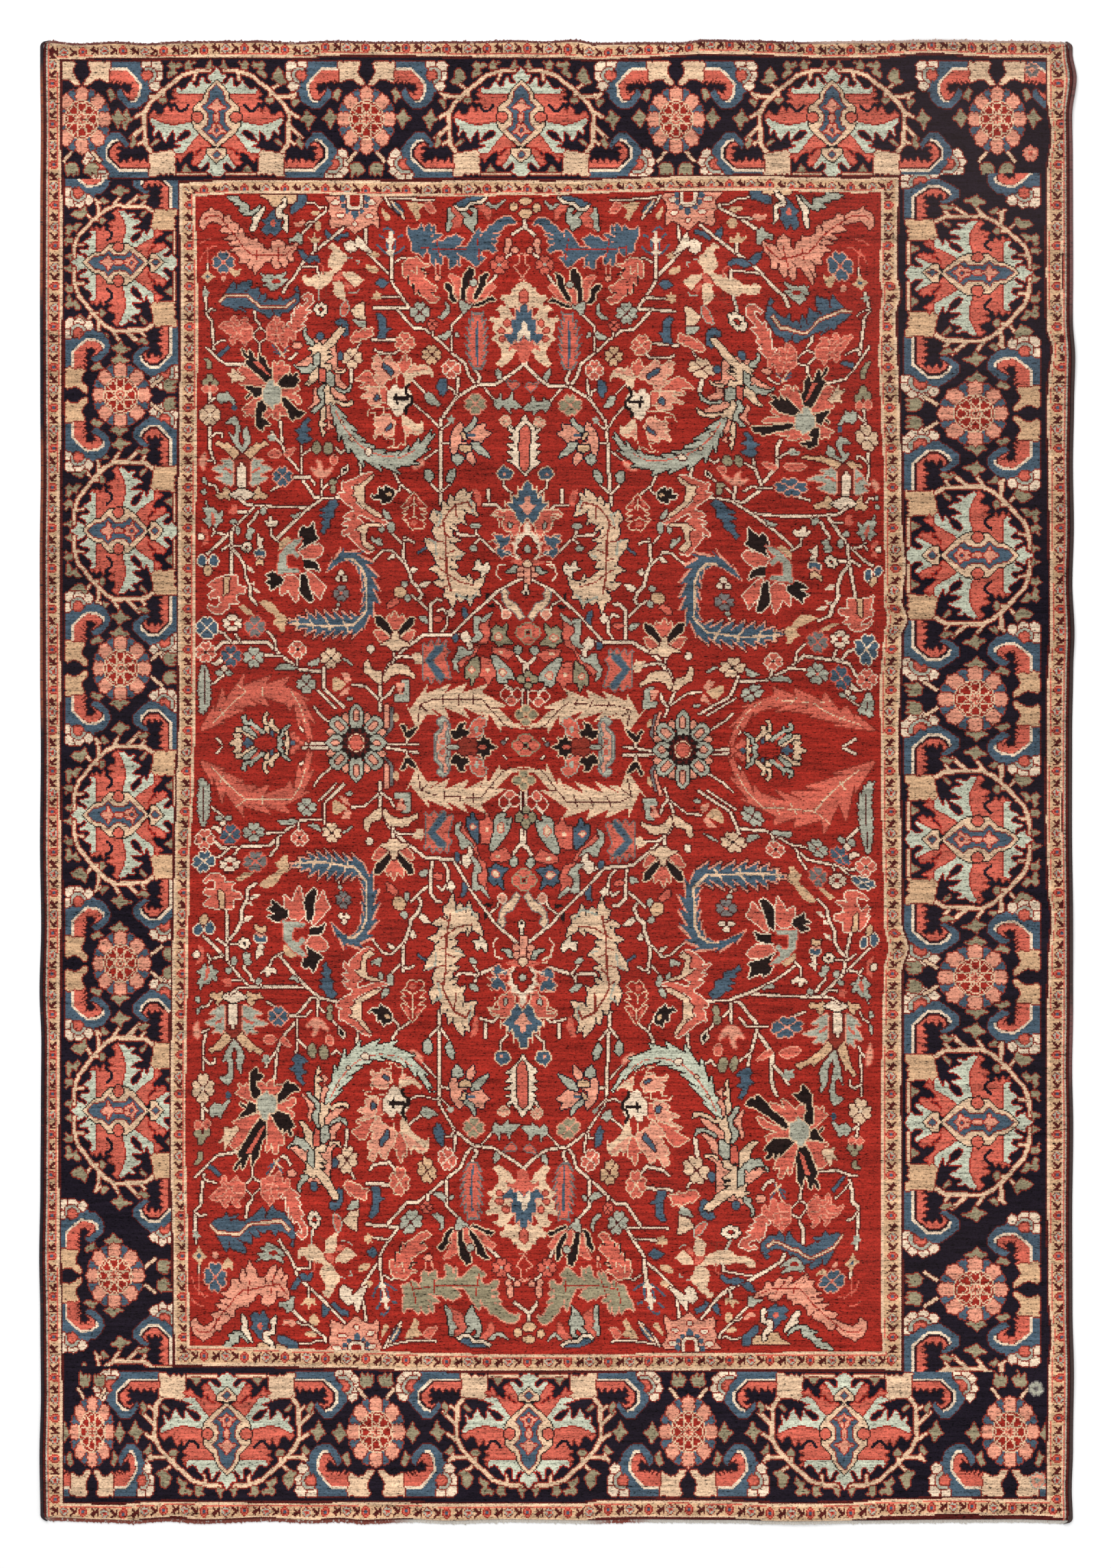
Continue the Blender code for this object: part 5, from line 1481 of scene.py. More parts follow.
        self.pen(BLUE, outline(469, 745, 478, 742, 484, 733, 492, 730, 498, 739, 492, 743, 490, 750, 491, 756,
            484, 760, 485, 770, 478, 775, 476, 783, 471, 776, 475, 769, 471, 765, 478, 760, 470, 754, 478, 750),
            MAROON)
        # the crook
        self.pen(ROSE, leaf((479, 838, 492, 822, 508, 811, 524, 817, 537, 838, 541, 868, 540, 892, 528, 908),
            (3, 11, 18, 19, 20, 20, 18, 14), (2, 8, 11, 12, 13, 14, 12, 10), teeth=9, bite=0.6, hook=0.4))
        self.pen(ROSE, leaf((532, 912, 505, 914, 470, 913, 440, 911, 424, 908), (20, 22, 25, 20, 4),
            (20, 24, 25, 22, 4), teeth=8, bite=0.6, hook=0.3), MAROON)
        self.pen(BLUE, leaf((480, 836, 492, 822, 508, 812, 524, 818, 537, 838, 541, 868, 540, 892, 528, 908),
            (1, 8, 15, 16, 17, 17, 15, 11), (1, 6, 9, 10, 11, 12, 10, 8), teeth=9, bite=0.66, hook=0.4))
        self.pen(BLUE, leaf((532, 912, 505, 914, 470, 913, 440, 911, 427, 909), (17, 18, 21, 16, 2),
            (17, 20, 21, 18, 2), teeth=8, bite=0.68, hook=0.3))
        self.pen(MADDER, strokes(2, (436, 889, 436, 899), (459, 887, 459, 897), (484, 888, 484, 899)))
        self.pen(CREAM, straight(3.2, 505, 817, 517, 818, 529, 828, 537, 845, 538, 893, 520, 913, 480, 916,
            430, 911) + strokes(2.6, (433, 904, 438, 911, 437, 920), (455, 906, 459, 914, 460, 922),
            (478, 906, 484, 914, 484, 923), (504, 908, 509, 916, 512, 924)))

    def split_palmettes(self) -> None:
        """The split coral palmette, the spruce leaf and the bell flower."""
        self.pen(CORAL, outline(548, 692, 540, 692, 530, 696, 518, 702, 507, 706, 503, 704, 503, 716, 508, 720,
            497, 722, 501, 729, 510, 737, 518, 742, 520, 749, 512, 750, 504, 757, 512, 758, 516, 760, 508, 763,
            503, 767, 512, 768, 510, 772, 503, 778, 503, 784, 513, 778, 512, 785, 524, 797, 538, 808, 548, 806,
            532, 788, 528, 778, 518, 776, 530, 768, 534, 765, 524, 758, 527, 752, 540, 757, 552, 764, 564, 767,
            570, 764, 558, 760, 545, 752, 530, 743, 520, 734, 528, 730, 516, 724, 522, 720, 515, 712, 522, 709,
            532, 706, 540, 698), IVORY)
        self.pen(CREAM, outlines((550, 694, 542, 698, 528, 710, 518, 712, 522, 718, 518, 724, 523, 728,
            526, 736, 536, 744, 550, 754, 562, 758, 558, 752, 546, 744, 534, 735, 534, 712, 544, 703),
            (522, 774, 532, 768, 540, 766, 556, 766, 560, 769, 540, 771, 537, 780, 537, 792, 550, 801, 543, 805,
            532, 796, 530, 778)), MAROON)
        self.pen(BLACK, outline(543, 723, 550, 725, 556, 722, 556, 713, 563, 717, 566, 709, 570, 713, 578, 717,
            578, 726, 572, 733, 566, 735, 560, 737, 559, 730, 549, 730), IVORY)
        self.pen(CAMEL, disc(571, 723, 4, 3))
        self.pen(MADDER, outline(607, 721, 625, 742, 613, 742, 618, 746, 625, 750, 616, 751, 619, 755, 625, 759,
            613, 759, 618, 762, 623, 767, 619, 773, 611, 771, 605, 774, 600, 770, 599, 764, 594, 763, 600, 759,
            590, 759, 598, 752, 591, 751, 599, 745, 600, 741, 590, 742, 597, 733), CREAM)
        self.pen(CORAL, disc(607, 765, 5, 4) + strokes(4, (603, 728, 597, 738), (612, 730, 618, 738)))
        self.pen(CREAM, straight(1.8, 607, 726, 607, 756) + strokes(1.6, (601, 741, 607, 735, 613, 741),
            (600, 759, 607, 755, 613, 759)))
        self.pen(IVORY, outlines((568, 818, 574, 811, 580, 811, 578, 817),
            (602, 834, 605, 828, 612, 832, 607, 839), (615, 855, 622, 850, 633, 850, 626, 858, 619, 860),
            (655, 891, 659, 894, 662, 887, 664, 893, 668, 897, 662, 903, 657, 900)), MAROON)
        self.pen(CAMEL, disc(587, 866, 9, 8), MAROON)
        self.pen(MIST, discs((594, 854, 5, 4), (598, 875, 4, 5), (694, 802, 6, 4), (697, 769, 8, 4)), MAROON)
        self.pen(BLUE, straight(3, 613, 809, 631, 796) + outline(677, 887, 683, 890, 687, 900, 680, 907)
            + disc(668, 933, 4, 6), MAROON)
        self.pen(CORAL, disc(642, 905, 7, 4) + outline(568, 890, 570, 880, 582, 874, 586, 880, 576, 888),
            MAROON)
        # the bell flower
        self.pen(CORAL, outlines((570, 898, 575, 904, 579, 892, 584, 904, 592, 898, 594, 912, 588, 922,
            572, 922, 568, 910), (548, 922, 560, 922, 574, 936, 566, 942, 556, 936),
            (608, 922, 598, 924, 586, 936, 594, 942, 604, 934)), CREAM)
        self.pen(BLACK, outlines((550, 901, 559, 901, 568, 910, 575, 922, 573, 930, 563, 921, 553, 914),
            (608, 902, 600, 903, 592, 912, 585, 923, 586, 931, 597, 921, 606, 914)), CREAM)
        self.pen(CREAM, outline(577, 921, 583, 922, 586, 934, 598, 940, 602, 945, 590, 945, 584, 951, 574, 951,
            569, 944, 556, 943, 566, 938, 574, 934), MAROON)

    def pale_leaves(self) -> None:
        """The tall pale serrated leaves that stand beside the axis."""
        self.serrated(CREAM, outline(681, 714, 684, 722, 692, 720, 689, 730, 697, 738, 697, 746, 703, 756,
            692, 752, 682, 748, 680, 758, 684, 768, 676, 764, 668, 768, 672, 776, 662, 774, 664, 784, 675, 790,
            664, 794, 676, 806, 682, 808, 675, 818, 666, 820, 672, 830, 664, 832, 676, 843, 685, 846, 686, 838,
            694, 850, 704, 846, 711, 842, 708, 856, 702, 862, 705, 872, 695, 872, 690, 886, 684, 874, 676, 880,
            670, 874, 664, 890, 658, 876, 650, 872, 654, 862, 644, 858, 634, 850, 646, 848, 641, 838, 628, 832,
            640, 826, 638, 816, 626, 800, 622, 786, 634, 792, 640, 790, 634, 776, 638, 768, 630, 758, 636, 744,
            642, 750, 649, 746, 648, 734, 656, 736, 660, 724, 666, 728, 672, 720), NAVY, 4.5)
        self.pen(MIST, strokes(3, (638, 748, 648, 752, 642, 770), (628, 788, 638, 792, 640, 812),
            (668, 868, 690, 878, 700, 866), (668, 815, 678, 812), (690, 730, 693, 748)), None)
        self.pen(RUST, straight(2.8, 692, 744, 686, 734, 668, 738, 656, 752, 650, 762, 654, 790, 655, 838,
            662, 866) + strokes(2.2, (668, 738, 670, 758), (651, 766, 642, 772), (653, 780, 662, 788),
            (654, 794, 636, 790), (655, 810, 668, 804), (655, 820, 644, 816), (655, 838, 672, 850, 694, 856),
            (655, 838, 645, 832), (659, 856, 648, 860)))
        self.pen(CORAL, outline(692, 714, 700, 716, 706, 726, 706, 738, 700, 740, 697, 730))
        self.pen(IVORY, outline(698, 820, 702, 819, 707, 828, 715, 822, 718, 830, 716, 836, 706, 844, 705, 835,
            692, 832, 698, 828), BLACK)
        self.pen(BLACK, outlines((713, 865, 718, 868, 716, 876, 712, 878),
            (714, 885, 724, 882, 726, 888, 716, 888)))
        self.pen(CREAM, outline(736, 866, 741, 861, 746, 867, 742, 874, 748, 880, 756, 882, 762, 892, 768, 902,
            762, 907, 755, 896, 744, 888, 737, 878), SLATE)
        self.pen(ROSE, disc(742, 898, 6), IVORY)

    def axis_palmette(self) -> None:
        """The blue palmette over the ivory one, in the middle of each half."""
        middle = 773
        for flip in (1, -1):
            def side(*numbers: float, flip: int = flip) -> Shapes:
                """An outline drawn about the palmette's middle, on one side of it or the other."""
                return moved([outline(*numbers)[0] * (flip, 1)], middle, 0)

            self.chart_pair(CORAL, side(-50, 752, -45, 747, -34, 747, -26, 746, -16, 752, -10, 762, -14, 780,
                -20, 784, -24, 776, -32, 776, -36, 768, -34, 756), CREAM)
            self.chart_pair(MIST, side(-27, 763, -22, 766, -23, 774, -27, 771), MAROON)
            self.chart_pair(BLUE, side(-48, 782, -42, 784, -38, 782, -34, 788, -26, 782, -25, 790, -30, 797,
                -36, 799, -38, 804, -26, 806, -22, 810, -32, 812, -36, 816, -42, 812, -46, 803, -40, 801,
                -43, 796, -49, 793, -46, 789), ROSE)
            self.chart_pair(CORAL, side(-32, 797, -24, 799, -24, 804, -32, 803))
        self.chart_pair(BLUE, moved(halved(0, 705, 5, 706, 6, 717, 13, 718, 15, 730, 21, 725, 22, 735, 30, 736,
            25, 742, 18, 748, 15, 758, 8, 766, 0, 756), middle, 0), CREAM)
        self.chart_pair(ROSE, moved(halved(0, 725, 4, 727, 5, 737, 14, 738, 7, 744, 5, 750, 0, 755), middle, 0))
        spikes = ((759, 711, 759, 727), (787, 711, 788, 727), (748, 722, 750, 734), (798, 720, 797, 733),
            (739, 729, 741, 742), (804, 732, 804, 742), (742, 748, 730, 749, 719, 754, 728, 756, 733, 765,
            731, 772), (808, 752, 818, 751, 822, 756, 812, 760, 807, 768, 808, 774),
            (716, 793, 726, 789, 733, 799, 724, 803), (824, 790, 812, 784, 806, 782), (719, 783, 727, 778),
            (800, 822, 808, 822, 806, 829, 814, 831, 813, 838))
        for spike in spikes:
            self.chart_pair(CREAM, straight(1.8, *spike))
        self.chart_pair(IVORY, moved(halved(0, 763, 4, 768, 5, 778, 12, 782, 15, 780, 17, 792, 24, 793, 18, 800,
            20, 808, 14, 816, 7, 817, 0, 812), middle, 0), ROSE)
        self.chart_pair(MADDER, discs((773, 790, 7, 6), (766, 797, 6, 4), (780, 797, 6, 4), (763, 806, 5),
            (783, 806, 5), (773, 814, 10, 5)), MAROON)
        self.chart_pair(MIST, disc(773, 803, 5, 5), MAROON)
        self.chart_pair(CORAL, outline(745, 820, 762, 818, 784, 818, 800, 822, 784, 828, 762, 828))
        self.chart_pair(CREAM, disc(773, 825, 6), MAROON)
        self.chart_pair(ROSE, discs((763, 832, 5, 4), (763, 841, 5, 4), (784, 832, 5, 4), (784, 841, 5, 4))
            + outline(769, 832, 778, 832, 778, 854, 769, 854), MAROON)
        self.chart_pair(IVORY, disc(770, 866, 5, 4) + straight(4, 771, 855, 770, 862), BLACK)
        self.chart_pair(BLACK, disc(770, 867, 3, 1.6))
        self.pen(MIST, outline(738, 836, 748, 833, 751, 828, 758, 828, 755, 837, 748, 838), BLACK)
        self.pen(IVORY, strokes(2, (742, 825, 731, 825, 727, 840, 734, 848), (738, 806, 760, 818)))

    def chart_pair(self, yarn: Yarn, shapes: Shapes, edge: Yarn | None = None) -> None:
        """Knot shapes that stand on the axis, above and below the waist."""
        self.chart.paint(yarn, shapes, edge)
        self.chart.paint(yarn, [self.quarters.low(shape) for shape in shapes], edge)

    def axis_cluster(self) -> None:
        """The cluster of serrated buds round the coral flower on the axis."""
        self.pen(IVORY, outline(676, 926, 684, 922, 689, 930, 696, 936, 692, 944, 692, 952, 686, 952, 685, 941,
            677, 936), MAROON)
        self.pen(CORAL, outlines((700, 902, 718, 903, 716, 914, 719, 924, 714, 940, 702, 942, 700, 925,
            706, 910), (704, 942, 696, 958, 684, 966, 676, 976, 671, 968, 684, 956, 692, 950)), MAROON)
        self.pen(MIST, outlines((694, 901, 700, 900, 706, 904, 702, 912, 702, 921, 709, 928, 705, 935, 696, 940,
            690, 938, 697, 930, 694, 918), (704, 908, 712, 900, 722, 895, 718, 903, 709, 910),
            (673, 944, 680, 946, 686, 953, 698, 948, 690, 957, 680, 960, 670, 970, 674, 985, 665, 977, 664, 965,
            670, 956)), MAROON)
        self.pen(SAGE, outlines((720, 920, 728, 914, 735, 919, 744, 910, 743, 921, 740, 928, 745, 934, 752, 941,
            738, 942, 731, 945, 726, 938, 719, 935, 722, 928), (702, 958, 692, 964, 683, 976, 683, 992,
            689, 990, 692, 1003, 697, 990, 703, 988)), BLACK, low=BLUE)
        self.pen(CORAL, outlines((706, 960, 716, 963, 725, 966, 727, 990, 721, 991, 716, 1002, 711, 991,
            704, 990), (722, 946, 740, 948, 756, 954, 745, 964, 734, 959, 724, 956)), MAROON)
        self.pen(MIST, outline(720, 957, 727, 958, 740, 970, 749, 979, 754, 993, 742, 992, 744, 999, 733, 999,
            728, 994, 728, 980, 723, 970) + disc(759, 950, 6), BLACK)
        self.pen(CREAM, discs((692, 979, 3.4), (715, 980, 3), (731, 931, 5, 4), (734, 953, 3.4, 2.4),
            (737, 983, 4, 5)), CORAL)
        self.chart_pair(CORAL, discs((774, 916, 9, 5), (763, 925, 6, 8), (785, 925, 6, 8), (774, 936, 9, 5)),
            SAGE)
        self.chart_pair(BLACK, disc(774, 925, 2.4))
        self.chart_pair(SAGE, discs((774, 986, 6, 5), (764, 993, 5.4, 6), (783, 993, 5.4, 6),
            (774, 1002, 5.4, 4.6)), BLACK)
        self.chart_pair(CORAL, disc(774, 993, 3.4, 2.6))
        self.chart_pair(SAGE, discs((771, 1036, 6, 5), (761, 1045, 6), (781, 1045, 6), (771, 1055, 6, 5)),
            CAMEL)
        self.chart_pair(CAMEL, disc(771, 1045, 3))
        self.pen(MADDER, discs((742, 1015, 7, 8), (758, 1015, 7, 8)), IVORY)
        self.pen(CORAL, disc(750, 1024, 6.4, 6), IVORY)
        # the coral fan with its blue chevron
        self.pen(CORAL, outline(622, 940, 628, 947, 632, 936, 637, 945, 643, 935, 646, 944, 654, 936, 653, 946,
            659, 952, 652, 962, 656, 974, 661, 993, 651, 988, 645, 998, 639, 988, 633, 998, 628, 988, 621, 994,
            621, 964), SLATE)
        self.pen(BLUE, outline(640, 945, 650, 944, 648, 951, 633, 965, 642, 976, 650, 986, 649, 997, 640, 988,
            630, 974, 624, 965), SLATE)
        self.pen(CREAM, outline(604, 956, 616, 953, 619, 962, 618, 971, 610, 971))
        self.pen(CREAM, outlines((535, 968, 541, 964, 545, 978, 552, 981, 559, 981, 561, 1002, 550, 996,
            543, 988, 535, 984), (572, 972, 590, 971, 598, 974, 602, 982, 609, 986, 609, 993, 600, 988,
            586, 984, 574, 988, 564, 1000, 562, 990)), MAROON)
        self.pen(MIST, outline(588, 993, 601, 995, 600, 1026, 579, 1025, 579, 1016, 592, 1014, 594, 1004),
            MAROON)
        self.pen(ROSE, outline(580, 998, 594, 998, 594, 1004, 588, 1008, 592, 1016, 585, 1014))
        self.pen(ROSE, straight(6, 568, 1030, 568, 1064), MAROON)
        self.pen(SLATE, straight(3.6, 574, 1035, 574, 1064, 561, 1078), MAROON)
        self.pen(CAMEL, disc(581, 1049, 4.4, 7))

    def rosettes(self) -> None:
        """The great rosettes either side of the waist, each set once."""
        for x, y in ((523, 1086), (1000, 1096)):
            self.chart.paint(ROSE, ring(disc(39, 0, 7, 5), 8, 22.5, x, y), BLACK)
            kinds = (((4, 45), (22, -8, 34, -10, 46, -9, 50, -3, 50, 3, 46, 9, 34, 10, 22, 8),
                (27, -4, 40, -4, 44, 0, 40, 4, 27, 4)), ((2, 90), (22, -8, 40, -10, 50, -8, 57, -2, 57, 2,
                50, 8, 40, 10, 22, 8), (32, -3.5, 46, -3.5, 50, 0, 46, 3.5, 32, 3.5)),
                ((2, 0), (19, -6, 26, -12, 34, -11, 40, -6, 45, 0, 40, 6, 34, 11, 26, 12, 19, 6),
                (25, 0, 28, -4, 32, -4, 36, 0, 32, 4, 28, 4)))
            for (count, start), petal, heart in kinds:
                self.chart.paint(MIST, ring(outline(*petal), count, start, x, y), BLACK)
                self.chart.paint(ROSE, ring(outline(*heart), count, start, x, y), MAROON)
            self.chart.paint(MAROON, disc(x, y, 20, 21, 28))
            self.chart.paint(BLACK, ring(disc(20, 0, 4.6, 3), 12, 0, x, y)
                + ring(disc(15, 0, 2, 2), 12, 15, x, y))
            self.chart.paint(CREAM, disc(x, y, 12.5, 13.5, 12), MAROON)
            self.chart.paint(CORAL, disc(x, y, 9, 10, 12), RUST)

    def wreaths(self) -> None:
        """The two leaf wreaths, and what they ring."""
        spine = (296, 1067, 318, 1052, 340, 1028, 362, 1011, 396, 1010, 428, 1011, 441, 1030, 449, 1054,
            455, 1078)
        self.pen(CORAL, leaf(spine, (4, 18, 25, 25, 23, 21, 18, 12, 3), (4, 14, 22, 25, 24, 22, 19, 13, 3),
            teeth=8, bite=0.64, hook=0.36), RUST)
        self.pen(CREAM, straight(1.6, 312, 1058, 340, 1030, 362, 1011, 428, 1011, 441, 1032, 449, 1058)
            + strokes(1.5, (348, 1000, 362, 1011), (386, 1004, 386, 1018), (410, 1004, 410, 1018),
            (330, 1046, 324, 1036)))
        spine = (612, 1064, 606, 1050, 612, 1032, 632, 1022, 672, 1023, 706, 1022, 722, 1038, 736, 1056,
            748, 1068, 760, 1065)
        self.pen(CREAM, leaf(spine, (4, 17, 23, 24, 25, 25, 25, 19, 12, 3),
            (8, 20, 26, 30, 30, 28, 23, 17, 10, 3), teeth=8, bite=0.62, hook=0.36))
        self.pen(MAROON, strokes(1.8, (613, 1056, 616, 1030, 636, 1022, 706, 1022, 724, 1042, 738, 1058,
            752, 1066), (650, 1015, 650, 1030), (673, 1015, 673, 1031), (694, 1015, 694, 1030),
            (616, 1030, 626, 1040), (720, 1036, 732, 1034)))
        self.pen(BLACK, outline(588, 1060, 594, 1059, 597, 1070, 605, 1065, 614, 1061, 608, 1071, 600, 1079,
            594, 1077, 592, 1068), CREAM)
        for x, y, turn in ((389, 1086, 0), (1128, 1097, 180)):
            self.ringed_palmette(x, y, turn)
        for x, turn in ((677, 0), (860, 180)):
            self.ringed_carnation(x, 1092, turn)
        self.chart.paint(CORAL, discs((770, 1080, 10, 6), (759, 1090, 8, 7), (782, 1090, 8, 7),
            (770, 1100, 9, 5)), SAGE)
        self.chart.paint(MAROON, strokes(1.8, (761, 1082, 779, 1098), (779, 1082, 761, 1098)))
        self.chart.paint(BLACK, disc(770, 1089, 3))
        self.chart.paint(SLATE, discs((738, 1085, 3.4), (802, 1088, 3.4)), MAROON)

    def lying(self, x: float, y: float, turn: float) -> Callable[..., None]:
        """A pen for a motif drawn on its side, that knots each shape with its mirror image.

        Args:
            x: Where the motif's middle goes, across.
            y: Where it goes, down.
            turn: Degrees from x towards y.

        Returns:
            The pen, which takes a yarn, shapes and the yarn of the line round them.
        """
        def put(yarn: Yarn, shapes: Shapes, edge: Yarn | None = None) -> None:
            """Knot shapes drawn about the motif's middle."""
            self.chart.paint(yarn, moved(shapes + [shape * (1, -1) for shape in shapes], x, y, turn), edge)

        return put

    def ringed_palmette(self, x: float, y: float, turn: float) -> None:
        """The small palmette of many colours that a leaf wreath rings."""
        put = self.lying(x, y, turn)
        flanks = outlines((-51, 2, -51, -1, -41, -6, -47, -13, -36, -14, -32, -9, -36, -6, -32, -2, -33, 2),
            (-43, -22, -34, -22, -17, -12, -13, -5, -22, -7, -32, -15, -43, -17),
            (3, -45, -2, -38, -2, -30, 1, -25, 6, -25, 18, -15, 22, -12, 21, -19, 15, -25, 12, -29, 13, -36,
            8, -35, 7, -28, 2, -31, 2, -37, 8, -43), (7, -23, 0, -25, -1, -17, 6, -14),
            (34, -18, 30, -17, 32, -5, 27, -2, 31, 2, 36, 0))
        for flank in flanks:
            put(CREAM, [flank], BLACK)
        put(MIST, outlines((-27, -41, -33, -38, -32, -29, -25, -26, -20, -26, -11, -19, -2, -12, 1, -7, 0, -17,
            -9, -24, -17, -29, -19, -36, -22, -30, -28, -33), (-31, -24, -23, -23, -12, -13, -11, -7, -19, -12,
            -32, -20), (38, -26, 32, -25, 25, -19, 24, -11, 19, -10, 18, -5, 22, 1, 27, -1, 24, -7, 28, -11,
            28, -17, 33, -20)), BLACK)
        put(CORAL, outline(-20, -25, -18, -20, -10, -13, -7, -16))
        put(MADDER, outline(18, 2, 18, -3, 12, -10, 4, -8, 0, -12, -6, -8, -15, -4, -15, 2), MAROON)
        put(BLUE, outline(-17, 2, -17, -1, -26, -8, -27, -3, -32, -1, -32, 2)
            + discs((11, -14, 2.6, 4), (41, 1, 4, 3)), MAROON)
        put(CORAL, discs((54, 0, 4), (47, -6, 4), (41, -11, 4, 5)), RUST)

    def ringed_carnation(self, x: float, y: float, turn: float) -> None:
        """The dark carnation that the pale wreath rings."""
        put = self.lying(x, y, turn)
        put(CORAL, outline(6, -12, 12, -26, 16, -36, 26, -43, 34, -40, 36, -32, 29, -28, 31, -20, 22, -16,
            14, -10), MIST)
        put(BLACK, outline(-14, -15, -17, -24, -9, -24, -4, -34, 5, -36, 2, -27, 12, -22, 7, -15, 0, -16,
            -8, -10), CREAM)
        put(BLACK, outline(20, -2, 20, -10, 28, -10, 31, -19, 35, -11, 42, -13, 40, -5, 52, 0, 40, 3, 20, 3),
            CREAM)
        put(CORAL, disc(30, 0, 6, 3))
        put(MIST, disc(22, -26, 3.4, 5.4))
        put(MIST, outline(-18, 3, -18, -12, -20, -22, -17, -32, -22, -41, -28, -43, -34, -40, -35, -34,
            -29, -32, -30, -28, -37, -22, -40, -14, -40, 3), SLATE)
        put(ROSE, outline(-23, 3, -22, -9, -25, -20, -20, -31, -24, -38, -27, -34, -26, -27, -34, -18, -36, -8,
            -36, 3), SLATE)
        put(CORAL, disc(-28, -7, 4, 5), MIST)
        put(RUST, outline(-6, 2, -4, -8, 4, -14, 12, -10, 20, -12, 22, -4, 20, 2), MAROON)
        put(MIST, disc(-13, 0, 9, 4), MAROON)


def weave(chart: Chart) -> None:
    """Knot the whole design into a chart."""
    bands = Bands(chart, Lines())
    bands.knot_grounds()
    bands.knot_guards()
    MainBorder(chart, bands).knot()
    Field(chart, bands).knot()


# ---------------------------------------------------------------- how the rug lies


